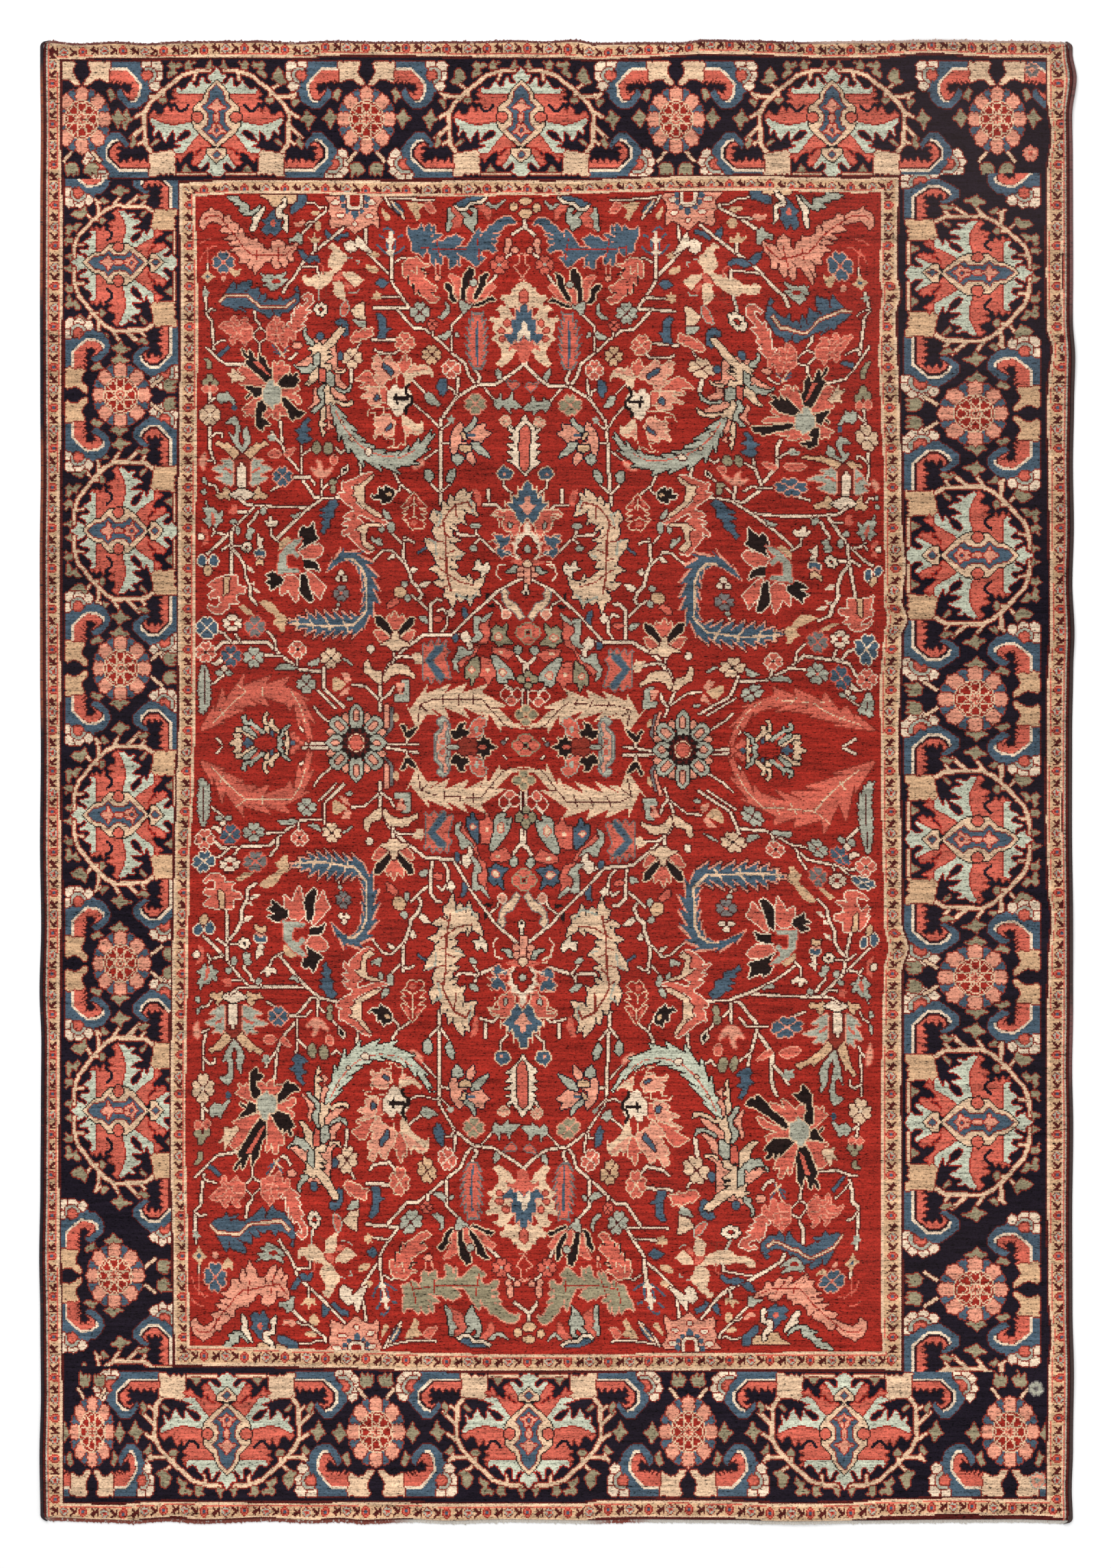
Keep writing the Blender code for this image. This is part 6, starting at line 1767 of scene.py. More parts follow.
@dataclass(frozen=True)
class Lie:
    """How the rug lies on the floor: its size, its uneven edges and its shallow ripples.

    The numbers are those of the rug's solids, in metres, so every piece sits where its solid does.
    A wave holds (place along the edge, how far the edge stands out), and a ripple its edge, its
    place along it, its half width and its height. An edge's waves run on inwards over its hem and
    die out over the fade after it, and the ripples over the reach.
    """

    width: float = 2.508
    length: float = 3.598
    left_cord: float = 0.0080
    right_cord: float = 0.0095
    top_web: float = 0.0050
    bottom_web: float = 0.0070
    gap: float = 0.0003
    pile_top: float = 0.0080
    back_top: float = 0.0022
    corner: float = 0.014
    reach: float = 0.24
    hem: float = 0.012
    fade: float = 0.035
    shift: tuple = (-0.0033, 0.0008)
    left_wave: tuple = ((-1.79, 0.0005), (-1.64, 0.0028), (-1.49, -0.0006), (-1.3, 0.0008), (-1.16, 0.0034),
        (-0.98, 0.0006), (-0.79, -0.0006), (-0.63, -0.0016), (-0.51, 0.0026), (-0.35, -0.0012), (-0.15, 0.0015),
        (0.07, -0.0004), (0.28, 0.0014), (0.55, 0.0022), (0.75, -0.0002), (0.95, 0.001), (1.18, 0.0018),
        (1.4, 0.001), (1.58, -0.0003), (1.74, 0.0012))
    right_wave: tuple = ((-1.79, 0.001), (-1.72, -0.0015), (-1.62, 0.0015), (-1.44, 0.0035), (-1.28, 0.0002),
        (-1.05, -0.0004), (-0.84, 0.002), (-0.7, -0.0005), (-0.55, 0.0018), (-0.33, 0.0014), (-0.1, -0.001),
        (0.12, -0.0006), (0.27, 0.0018), (0.36, 0.0046), (0.48, 0.0), (0.62, 0.0036), (0.77, 0.0014),
        (0.92, 0.004), (1.03, 0.0062), (1.12, 0.001), (1.24, 0.0018), (1.4, 0.0014), (1.52, 0.001),
        (1.62, -0.0008), (1.71, 0.01), (1.77, 0.0005))
    top_wave: tuple = ((-1.23, 0.0), (-1.16, -0.006), (-1.07, -0.0015), (-1.0, -0.006), (-0.92, -0.001),
        (-0.71, 0.0008), (-0.64, -0.0035), (-0.55, 0.0), (-0.45, -0.002), (-0.2, -0.0008), (-0.1, 0.0022),
        (-0.03, -0.001), (0.04, 0.003), (0.1, -0.0045), (0.22, -0.003), (0.3, -0.0045), (0.36, 0.003),
        (0.47, 0.0012), (0.6, -0.0025), (0.72, -0.0006), (0.97, 0.0016), (1.14, 0.0), (1.23, -0.003))
    bottom_wave: tuple = ((-1.23, -0.0045), (-1.1, 0.0), (-1.03, 0.003), (-0.95, -0.0024), (-0.86, 0.003),
        (-0.7, -0.003), (-0.59, 0.0022), (-0.53, -0.001), (-0.47, 0.0042), (-0.36, -0.0002), (-0.26, 0.0034),
        (-0.12, 0.0), (0.09, 0.0026), (0.2, 0.0), (0.41, 0.0016), (0.56, 0.0044), (0.73, 0.003), (0.97, 0.0006),
        (1.12, 0.0), (1.23, 0.003))
    ripples: tuple = (("top", -0.52, 0.16, 0.0045), ("top", 0.33, 0.12, 0.006), ("top", 0.92, 0.17, 0.006),
        ("right", 1.66, 0.12, 0.006), ("right", 1.03, 0.14, 0.006), ("right", 0.36, 0.13, 0.005),
        ("right", -0.36, 0.15, 0.0035), ("right", -1.43, 0.12, 0.0035), ("bottom", 0.6, 0.16, 0.0035))

    def lift(self, x: np.ndarray, y: np.ndarray) -> np.ndarray:
        """How far the rug's underside stands off the floor."""
        edges = {"top": (x, self.length / 2 - y), "bottom": (x, y + self.length / 2),
                 "right": (y, self.width / 2 - x)}
        height = np.zeros_like(x)
        for edge, place, half, crest in self.ripples:
            along, inward = edges[edge]
            off = np.minimum(np.abs(along - place) / half, 1.0)
            depth = np.clip(inward / self.reach, 0.0, 1.0)
            swell = crest * (0.5 + 0.5 * np.cos(math.pi * off)) * (0.5 + 0.5 * np.cos(math.pi * depth))
            height = np.maximum(height, swell)
        return height

    def laid(self, flat: np.ndarray) -> np.ndarray:
        """Lay points of the flat rug on the floor.

        Args:
            flat: Rows of (from the left edge, from the lower edge, height above the underside).

        Returns:
            The points with their uneven edges and ripples, the middle of the outline at the origin.
        """
        across, along, height = flat.T
        x, y = across - self.width / 2, along - self.length / 2
        inward = np.stack([across, self.width - across, along, self.length - along])
        sway = 1 - np.clip((inward - self.hem) / self.fade, 0, 1)
        sway = sway * sway * (3 - 2 * sway)
        near = np.clip(self.corner - np.minimum(along, self.length - along), 0, self.corner)
        pull = self.corner - np.sqrt(self.corner ** 2 - near ** 2)
        laid_x = x + (pull - eased(self.left_wave, y)) * sway[0] + (eased(self.right_wave, y) - pull) * sway[1]
        laid_y = y - eased(self.bottom_wave, x) * sway[2] + eased(self.top_wave, x) * sway[3]
        return np.column_stack([laid_x + self.shift[0], laid_y + self.shift[1], height + self.lift(x, y)])


# ---------------------------------------------------------------- finishes


class Wiring:
    """Adds shader nodes to one tree and joins them."""

    # A Mix node's own sockets for two colours and their mixture.
    COLOURS, MIXED = (6, 7), 2

    def __init__(self, tree: bpy.types.NodeTree) -> None:
        """Keep the tree that the nodes go into."""
        self.tree = tree

    def add(self, kind: str, inputs: dict | None = None, **settings: object) -> bpy.types.Node:
        """A new node.

        Args:
            kind: The node's type, without its "ShaderNode".
            inputs: What each named or numbered input is: a number, a colour or another output.
            **settings: The node's own settings.

        Returns:
            The node.
        """
        node = self.tree.nodes.new("ShaderNode" + kind)
        for name, value in settings.items():
            setattr(node, name, value)
        for name, value in (inputs or {}).items():
            self.feed(node.inputs[name], value)
        return node

    def feed(self, socket: bpy.types.NodeSocket, value: object) -> None:
        """Give a socket its value, a number, a colour or another node's output."""
        if isinstance(value, bpy.types.NodeSocket):
            self.tree.links.new(value, socket)
        else:
            socket.default_value = value

    def math(self, operation: str, *values: object, clamp: bool = False) -> bpy.types.NodeSocket:
        """The result of a Math node."""
        return self.add("Math", dict(enumerate(values)), operation=operation, use_clamp=clamp).outputs[0]

    def mix(self, share: object, first: object, second: object, blend: str = "MIX") -> bpy.types.NodeSocket:
        """The result of mixing two colours."""
        node = self.add("Mix", {"Factor": share}, data_type="RGBA", blend_type=blend, clamp_factor=True)
        for socket, value in zip(self.COLOURS, (first, second)):
            self.feed(node.inputs[socket], value)
        return node.outputs[self.MIXED]

    def noise(self, vector: bpy.types.NodeSocket, scale: float, detail: float,
              roughness: float = 0.5) -> bpy.types.NodeSocket:
        """The value of a Noise node."""
        inputs = {"Vector": vector, "Scale": scale, "Detail": detail, "Roughness": roughness}
        return self.add("TexNoise", inputs).outputs[0]

    def remap(self, value: object, low: float, high: float, to_low: float,
              to_high: float) -> bpy.types.NodeSocket:
        """A value moved from one range to another, held within it."""
        inputs = {"Value": value, "From Min": low, "From Max": high, "To Min": to_low, "To Max": to_high}
        return self.add("MapRange", inputs).outputs[0]

    def place(self, stretch: tuple[float, float, float] = (1.0, 1.0, 1.0)) -> bpy.types.NodeSocket:
        """The place on the rug, in metres, stretched by a factor along each axis."""
        here = self.add("TexCoord").outputs["Object"]
        return self.add("Mapping", {"Vector": here, "Scale": stretch}).outputs[0]


def group(name: str, sockets: Sequence[tuple[str, str, str]]) -> tuple[bpy.types.NodeTree, Wiring, dict, dict]:
    """An empty shader node group with named sockets.

    Args:
        name: The group's name.
        sockets: Each socket as (INPUT or OUTPUT, name, type without its "NodeSocket").

    Returns:
        The group, its wiring, its inputs by name and its outputs by name.
    """
    tree = bpy.data.node_groups.new(name, "ShaderNodeTree")
    for way, label, kind in sockets:
        tree.interface.new_socket(label, in_out=way, socket_type="NodeSocket" + kind)
    into = tree.nodes.new("NodeGroupInput")
    out = tree.nodes.new("NodeGroupOutput")
    return tree, Wiring(tree), {s.name: s for s in into.outputs}, {s.name: s for s in out.inputs}


def linear(red: float, green: float, blue: float) -> tuple[float, float, float, float]:
    """The colour of a surface that shows these screen values, 0 to 255, in the studio's light."""
    def one(value: float) -> float:
        """One channel by the sRGB curve, less what the studio's light adds."""
        share = value / 255
        return (share / 12.92 if share <= 0.04045 else ((share + 0.055) / 1.055) ** 2.4) / Studio.LIGHT_LEVEL
    return one(red), one(green), one(blue), 1.0


@dataclass(frozen=True)
class Dyes:
    """The colour of each yarn, and the shader group that reads the chart knot by knot."""

    # How far a knot's edge strays into its neighbours, in knots, and how closely that changes.
    stray: float = 1.5
    stray_scale: float = 1.7

    # Keeps a place inside its own block of knots, and a packed number clear of rounding.
    inset: float = 0.01
    lift: float = 0.02
    digit_lift: float = 0.001

    colours: tuple = (
        (MADDER, (155, 41, 31)), (NAVY, (27, 21, 31)), (BLUE, (72, 90, 104)), (SKY, (192, 194, 172)),
        (CORAL, (204, 98, 80)), (ROSE, (222, 148, 122)), (IVORY, (232, 206, 178)), (CAMEL, (208, 167, 129)),
        (CREAM, (222, 186, 152)), (SAGE, (148, 136, 108)), (BLACK, (36, 24, 22)), (MAROON, (84, 28, 25)),
        (RUST, (136, 50, 38)), (SLATE, (116, 110, 106)), (MIST, (168, 166, 148)))

    def group(self) -> bpy.types.NodeTree:
        """The group that reads the chart: the yarn's colour, and a number of each knot's own."""
        tree, wire, _, out = group("Knot chart", (("OUTPUT", "Color", "Color"), ("OUTPUT", "Knot", "Float"),
                                                  ("OUTPUT", "Row", "Float")))
        where = wire.add("UVMap", uv_map="knots").outputs[0]
        apart = wire.add("SeparateXYZ", {0: where})
        fuzz = wire.add("TexNoise", {"Vector": where, "Scale": self.stray_scale, "Detail": 2.0},
                        noise_dimensions="2D")
        drift = wire.add("SeparateColor", {0: fuzz.outputs["Color"]})
        column, row = (self.pick(wire, apart.outputs[axis], float(size), drift.outputs[axis])
                       for axis, size in enumerate((KNOTS_ACROSS, KNOTS_ALONG)))
        yarn = self.unpacked(wire, column, row)
        digit = 1 / DIGIT_BASE
        ramp = wire.add("ValToRGB", {0: wire.math("MULTIPLY_ADD", yarn, digit, digit / 2)})
        ramp.color_ramp.interpolation = "CONSTANT"
        stops = ramp.color_ramp.elements
        for number, colour in self.colours:
            stop = stops[0] if number == 0 else stops.new(int(number) * digit)
            stop.color = linear(*colour)
        whole = wire.add("VectorMath", {0: where}, operation="FLOOR").outputs[0]
        own = wire.add("TexWhiteNoise", {"Vector": whole}, noise_dimensions="2D").outputs["Value"]
        for name, socket in (("Color", ramp.outputs[0]), ("Knot", own), ("Row", apart.outputs[1])):
            tree.links.new(socket, out[name])
        return tree

    def pick(self, wire: Wiring, place: bpy.types.NodeSocket, size: float,
             drift: bpy.types.NodeSocket) -> bpy.types.NodeSocket:
        """Which knot of its face's block a place falls on, along one axis.

        Args:
            wire: The group's wiring.
            place: The place, in knots.
            size: How many knots a block holds along this axis.
            drift: A value from 0 to 1 that makes the knots' edges stray.

        Returns:
            The knot's number in the block, from 0.
        """
        first = wire.math("MULTIPLY", wire.math("FLOOR", wire.math("DIVIDE", place, size)), size)
        off = wire.math("MULTIPLY_ADD", drift, self.stray, -self.stray / 2)
        local = wire.math("SUBTRACT", wire.math("ADD", place, off), first)
        held = wire.math("MINIMUM", wire.math("MAXIMUM", local, self.inset), size - self.inset)
        return wire.math("FLOOR", held)

    def unpacked(self, wire: Wiring, column: bpy.types.NodeSocket,
                 row: bpy.types.NodeSocket) -> bpy.types.NodeSocket:
        """The yarn number at one row and column of a block, taken out of the face's packed rows."""
        rows = wire.add("Attribute", attribute_name="rows")
        channels = wire.add("SeparateColor", {0: rows.outputs["Color"]})
        picked = [wire.math("MULTIPLY", wire.math("COMPARE", row, float(i), 0.5), socket)
                  for i, socket in enumerate((*channels.outputs, rows.outputs["Alpha"]))]
        total = wire.math("ADD", wire.math("ADD", picked[0], picked[1]), wire.math("ADD", picked[2], picked[3]))
        digit = 1 / DIGIT_BASE
        cut = wire.math("POWER", digit, column)
        digits = wire.math("FLOOR", wire.math("MULTIPLY_ADD", total, cut, self.lift))
        rest = wire.math("FLOOR", wire.math("MULTIPLY_ADD", digits, digit, self.digit_lift))
        return wire.math("MULTIPLY_ADD", rest, -float(DIGIT_BASE), digits)


@dataclass(frozen=True)
class AgeingAndGlare:
    """What time has done to the wool: streaks, specks, uneven lots and fading, and a painted glare, a pale veil
    of light over the upper right corner.

    A stretch is how finely a pattern repeats along each axis of the rug, a range is where on the
    rug or in a noise an effect begins and ends, and a value is how light it leaves the wool.
    """

    fine_streaks: tuple[float, float, float] = (14.0, 150.0, 1.0)
    broad_streaks: tuple[float, float, float] = (2.2, 26.0, 1.0)
    broad_share: float = 0.6
    streak_roughness: float = 0.6
    fibres: tuple[float, float, float] = (1.0, 0.55, 1.0)
    fibre_scale: float = 420.0
    fibre_roughness: float = 0.7
    specks: tuple[float, float, float] = (110.0, 330.0, 1.0)
    speck_range: tuple[float, float] = (0.56, 0.74)
    speck_value: float = -0.55
    dark_lot: float = 0.55
    dark_reach: float = 0.75
    dark_value: float = 0.86
    light_range: tuple[float, float] = (-1.45, -0.45)
    light_value: float = 1.2
    patches: tuple[float, float, float] = (1.0, 1.6, 1.0)
    patch_scale: float = 1.4
    patch_range: tuple[float, float] = (0.42, 0.72)
    # The painted glare: where across and along the rug the pale veil of light over the upper right corner grows,
    # and its strength there
    glare_across: tuple[float, float] = (0.1, 0.9)
    glare_along: tuple[float, float] = (0.5, 1.5)
    glare: float = 0.035
    # The pale colour that worn patches fade to, and that the painted glare veils the wool in
    fade_and_glare: tuple[int, int, int] = (170, 140, 130)

    def group(self) -> bpy.types.NodeTree:
        """The group that ages a yarn's colour, paints the glare over the upper right corner, and gives the
        height of its fibres.
        """
        tree, wire, given, out = group("Aged wool and painted glare", (
            ("INPUT", "Color", "Color"), ("INPUT", "Streaks", "Float"), ("INPUT", "Fibres", "Float"),
            ("INPUT", "Fade", "Float"), ("OUTPUT", "Color", "Color"), ("OUTPUT", "Height", "Float")))
        spot = wire.add("SeparateXYZ", {0: wire.place()})
        across, along = spot.outputs[0], spot.outputs[1]
        fibre = wire.noise(wire.place(self.fibres), self.fibre_scale, 2.0, self.fibre_roughness)
        value = wire.math("MULTIPLY", self.mottled(wire, given, fibre), self.lots(wire, along))
        toned = wire.add("HueSaturation", {"Color": given["Color"], "Value": value}).outputs[0]
        # Painted glare: a pale veil of light that grows towards the upper right corner
        corner = wire.math("MULTIPLY", wire.remap(across, *self.glare_across, 0.0, 1.0),
                           wire.remap(along, *self.glare_along, 0.0, 1.0))
        patch = wire.noise(wire.place(self.patches), self.patch_scale, 3.0)
        worn = wire.math("MULTIPLY", wire.remap(patch, *self.patch_range, 0.0, 1.0), given["Fade"])
        # Real wear in patches plus the painted glare, both mixed towards the pale colour
        fade_and_glare = wire.math("ADD", worn, wire.math("MULTIPLY", corner, self.glare), clamp=True)
        tree.links.new(wire.mix(fade_and_glare, toned, linear(*self.fade_and_glare)), out["Color"])
        tree.links.new(fibre, out["Height"])
        return tree

    def mottled(self, wire: Wiring, given: dict, fibre: bpy.types.NodeSocket) -> bpy.types.NodeSocket:
        """How light the wool is from its streaks, its fibres and the specks worn into it."""
        fine, broad = (
            wire.math("SUBTRACT", wire.noise(wire.place(stretch), 1.0, 2.0, self.streak_roughness), 0.5)
            for stretch in (self.fine_streaks, self.broad_streaks))
        swing = wire.math("MULTIPLY", wire.math("ADD", fine, wire.math("MULTIPLY", broad, self.broad_share)),
                          given["Streaks"])
        fuzz = wire.math("MULTIPLY", wire.math("SUBTRACT", fibre, 0.5), given["Fibres"])
        speck = wire.noise(wire.place(self.specks), 1.0, 1.0)
        hollow = wire.math("MULTIPLY", wire.remap(speck, *self.speck_range, 0.0, self.speck_value),
                           given["Streaks"])
        return wire.math("ADD", wire.math("ADD", wire.math("ADD", 1.0, swing), fuzz), hollow)

    def lots(self, wire: Wiring, along: bpy.types.NodeSocket) -> bpy.types.NodeSocket:
        """How light the wool is from the dye lots, one darker above the middle and one lighter low down."""
        from_dark = wire.math("ABSOLUTE", wire.math("SUBTRACT", along, self.dark_lot))
        return wire.math("MULTIPLY", wire.remap(from_dark, 0.0, self.dark_reach, self.dark_value, 1.0),
                         wire.remap(along, *self.light_range, self.light_value, 1.0))


@dataclass(frozen=True)
class Yarns:
    """How one kind of work looks: its shader's own numbers, how far it is aged, and its relief."""

    roughness: float
    sheen: float
    streaks: float
    fibres: float
    fade: float
    relief: float
    depth: float


@dataclass(frozen=True)
class Finishes:
    """Every material of the rug, built from the shared groups."""

    knotted: Yarns = Yarns(0.95, 0.02, streaks=1.7, fibres=1.0, fade=0.015, relief=0.5, depth=0.0012)
    beaded: Yarns = Yarns(0.9, 0.1, streaks=0.3, fibres=0.5, fade=0.15, relief=0.6, depth=0.001)
    overcast: Yarns = Yarns(0.9, 0.05, streaks=0.4, fibres=0.9, fade=0.06, relief=0.6, depth=0.001)
    woven: Yarns = Yarns(0.95, 0.1, streaks=0.3, fibres=0.8, fade=0.0, relief=0.6, depth=0.0012)

    # Shared by all of them: how rough the sheen is, and the little gloss that wool and cotton have.
    sheen_roughness: float = 0.6
    gloss: float = 0.06

    # How dark and how light single knots are, and how the pile's relief is made up.
    knot_range: tuple[float, float] = (0.82, 1.12)
    ridge_height: float = 0.1
    knot_height: float = 0.6

    # On the back: how wide the weft lines are, how strongly they show, and their colour.
    weft_width: float = 0.35
    weft_share: float = 0.45
    weft_colour: tuple[int, int, int] = (196, 180, 150)

    # Where two shades take turns: which yarns change over, how much, and how soft a stretch's ends are.
    strays: tuple[float, float] = (0.62, 0.75)
    stray_share: float = 0.6
    turning: tuple[float, float] = (0.34, 0.44)
    run_out: float = 0.03

    # How finely the overcasting's and the cotton's yarns lie, and the shadow between the cotton's.
    turns: tuple[float, float, float] = (60.0, 420.0, 60.0)
    picks: tuple[float, float, float] = (150.0, 90.0, 1.0)
    pick_roughness: float = 0.65
    warp_scale: float = 90.0
    warp_sway: float = 1.5
    shadow_share: float = 0.35
    shadow: tuple[int, int, int] = (60, 44, 40)

    floor_colour: tuple[float, float, float, float] = (0.86, 0.86, 0.86, 1.0)
    floor_roughness: float = 0.9
    groups: dict = field(default_factory=dict)

    def shared(self, name: str) -> bpy.types.NodeTree:
        """A shared group, built the first time it is asked for."""
        if name not in self.groups:
            self.groups[name] = {"knots": Dyes(), "ageing_and_glare": AgeingAndGlare()}[name].group()
        return self.groups[name]

    def blank(self, name: str, roughness: float,
              sheen: float = 0.0) -> tuple[bpy.types.Material, Wiring, bpy.types.Node]:
        """A new matt material: itself, its wiring and its shader."""
        material = bpy.data.materials.new(name)
        material.use_nodes = True
        shader = material.node_tree.nodes["Principled BSDF"]
        for socket, value in (("Roughness", roughness), ("Sheen Weight", sheen),
                              ("Sheen Roughness", self.sheen_roughness), ("Specular IOR Level", self.gloss)):
            shader.inputs[socket].default_value = value
        return material, Wiring(material.node_tree), shader

    def aged_and_glared(self, wire: Wiring, colour: bpy.types.NodeSocket, yarns: Yarns) -> bpy.types.Node:
        """The shared ageing of a colour, as far as this kind of work has aged, with the painted glare over the
        upper right corner.
        """
        node = wire.add("Group", node_tree=self.shared("ageing_and_glare"))
        for name, value in (("Color", colour), ("Streaks", yarns.streaks), ("Fibres", yarns.fibres),
                            ("Fade", yarns.fade)):
            wire.feed(node.inputs[name], value)
        return node

    @staticmethod
    def join(wire: Wiring, shader: bpy.types.Node, colour: bpy.types.NodeSocket, height: bpy.types.NodeSocket,
             yarns: Yarns) -> None:
        """Join a colour and a relief to a material's shader."""
        bump = wire.add("Bump", {"Height": height, "Strength": yarns.relief, "Distance": yarns.depth}).outputs[0]
        wire.tree.links.new(colour, shader.inputs["Base Color"])
        wire.tree.links.new(bump, shader.inputs["Normal"])

    def pile(self) -> bpy.types.Material:
        """Knotted wool, with each knot a little lighter or darker and a low fuzzy nap."""
        material, wire, shader = self.blank("pile wool", self.knotted.roughness, self.knotted.sheen)
        chart = wire.add("Group", node_tree=self.shared("knots"))
        own = wire.remap(chart.outputs["Knot"], 0.0, 1.0, *self.knot_range)
        knotted = wire.add("HueSaturation", {"Color": chart.outputs["Color"], "Value": own}).outputs[0]
        aged_and_glared = self.aged_and_glared(wire, knotted, self.knotted)
        ridge = wire.math("SINE", wire.math("MULTIPLY", chart.outputs["Row"], math.tau))
        nap = wire.math("ADD", aged_and_glared.outputs["Height"], wire.math("MULTIPLY", own, self.knot_height))
        height = wire.math("ADD", wire.math("MULTIPLY", ridge, self.ridge_height), nap)
        self.join(wire, shader, aged_and_glared.outputs["Color"], height, self.knotted)
        return material

    def back(self) -> bpy.types.Material:
        """The rug's back, where each knot shows as a hard little bead between weft lines."""
        material, wire, shader = self.blank("woven back", self.beaded.roughness, self.beaded.sheen)
        chart = wire.add("Group", node_tree=self.shared("knots"))
        aged_and_glared = self.aged_and_glared(wire, chart.outputs["Color"], self.beaded)
        row = wire.math("ABSOLUTE", wire.math("SINE", wire.math("MULTIPLY", chart.outputs["Row"], math.pi)))
        weft = wire.remap(row, 0.0, self.weft_width, self.weft_share, 0.0)
        wefted = wire.mix(weft, aged_and_glared.outputs["Color"], linear(*self.weft_colour))
        self.join(wire, shader, wefted, row, self.beaded)
        return material

    def by_stretch(self, wire: Wiring, axis: int, yarns: bpy.types.NodeSocket,
                   stretches: tuple) -> bpy.types.NodeSocket:
        """How much of a second shade shows: single yarns everywhere, nearly all yarns in some stretches.

        Args:
            wire: The material's wiring.
            axis: 0 for stretches across the rug, 1 for stretches along it.
            yarns: A value of each yarn's own, 0 to 1.
            stretches: Each stretch, from one place to another, in metres from the rug's middle.

        Returns:
            The share of the second shade.
        """
        here = wire.add("SeparateXYZ", {0: wire.place()}).outputs[axis]
        share = wire.remap(yarns, *self.strays, 0.0, self.stray_share)
        end = self.run_out
        for low, high in stretches:
            inside = wire.math("MINIMUM", wire.remap(here, low - end, low + end, 0.0, 1.0),
                               wire.remap(here, high - end, high + end, 1.0, 0.0))
            turned = wire.math("MULTIPLY", inside, wire.remap(yarns, *self.turning, 0.0, 1.0))
            share = wire.math("MAXIMUM", share, turned)
        return share

    def cord(self, name: str, main: tuple, second: tuple, mended: tuple) -> bpy.types.Material:
        """Dark overcast wool in two shades that take turns along the cord.

        Args:
            name: The material's name.
            main: The usual shade, on screen.
            second: The shade of the mended stretches.
            mended: The mended stretches, each from one place along the rug to another.

        Returns:
            The material.
        """
        material, wire, shader = self.blank(name, self.overcast.roughness, self.overcast.sheen)
        yarns = wire.noise(wire.place(self.turns), 1.0, 2.0)
        shade = wire.mix(self.by_stretch(wire, 1, yarns, mended), linear(*main), linear(*second))
        aged_and_glared = self.aged_and_glared(wire, shade, self.overcast)
        self.join(wire, shader, aged_and_glared.outputs["Color"], aged_and_glared.outputs["Height"], self.overcast)
        return material

    def cotton(self, name: str, main: tuple, second: tuple, soiled: tuple) -> bpy.types.Material:
        """Flat-woven cotton weft over warp, in two shades that run into each other.

        Args:
            name: The material's name.
            main: The usual shade, on screen.
            second: The shade of the stretches where the pile's wool has worn into it.
            soiled: Those stretches, each from one place across the rug to another.

        Returns:
            The material.
        """
        material, wire, shader = self.blank(name, self.woven.roughness, self.woven.sheen)
        yarns = wire.noise(wire.place(self.picks), 1.0, 3.0, self.pick_roughness)
        shade = wire.mix(self.by_stretch(wire, 0, yarns, soiled), linear(*main), linear(*second))
        waves = {"Vector": wire.place(), "Scale": self.warp_scale, "Distortion": self.warp_sway, "Detail": 1.0}
        warp = wire.add("TexWave", waves, bands_direction="X").outputs["Fac"]
        aged_and_glared = self.aged_and_glared(wire, shade, self.woven)
        shaded = wire.math("MULTIPLY", warp, self.shadow_share)
        dark = wire.mix(shaded, aged_and_glared.outputs["Color"], linear(*self.shadow))
        self.join(wire, shader, dark, warp, self.woven)
        return material

    def studio_floor(self) -> bpy.types.Material:
        """A plain pale floor."""
        material, _, shader = self.blank("studio floor", self.floor_roughness)
        shader.inputs["Base Color"].default_value = self.floor_colour
        return material


# ---------------------------------------------------------------- the rug's pieces


# Edges that turn by more degrees than this stay crisp
SHARP_ANGLE = 50
# Two places that are nearer than this are the same
NEAR = 1e-5


def finish_mesh(mesh: bmesh.types.BMesh, name: str, material: bpy.types.Material, lie: Lie) -> bpy.types.Object:
    """Lay a flat piece on the floor and make it an object.

    Args:
        mesh: The piece in the flat rug's own measures.
        name: Its name.
        material: Its finish.
        lie: How the rug lies.

    Returns:
        The object, at the origin.
    """
    bmesh.ops.recalc_face_normals(mesh, faces=mesh.faces[:])
    data = bpy.data.meshes.new(name)
    mesh.to_mesh(data)
    mesh.free()
    flat = np.empty(len(data.vertices) * 3, dtype=np.float32)
    data.vertices.foreach_get("co", flat)
    data.vertices.foreach_set("co", lie.laid(flat.reshape(-1, 3).astype(float)).astype(np.float32).ravel())
    data.update()
    data.materials.append(material)
    data.shade_smooth()
    data.set_sharp_from_angle(angle=math.radians(SHARP_ANGLE))
    obj = bpy.data.objects.new(name, data)
    bpy.context.scene.collection.objects.link(obj)
    LOG.info("%s: %d faces", name, len(data.polygons))
    return obj


def slab(across: Sequence[float], along: Sequence[float], low: float, high: float) -> bmesh.types.BMesh:
    """A closed flat slab over a grid of stations, from a grid and an extrusion.

    Args:
        across: Stations from the rug's left edge.
        along: Stations from its lower edge.
        low: Height of the slab's underside.
        high: Height of its top.

    Returns:
        The slab, its top faces made by the extrusion.
    """
    mesh = bmesh.new()
    columns, rows = len(across) - 1, len(along) - 1
    bmesh.ops.create_grid(mesh, x_segments=columns, y_segments=rows, size=0.5)
    for vert in mesh.verts:
        vert.co = (across[round((vert.co.x + 0.5) * columns)], along[round((vert.co.y + 0.5) * rows)], low)
    result = bmesh.ops.extrude_face_region(mesh, geom=mesh.faces[:], use_keep_orig=True)
    tops = [item for item in result["geom"] if isinstance(item, bmesh.types.BMVert)]
    bmesh.ops.translate(mesh, verts=tops, vec=(0, 0, high - low))
    return mesh


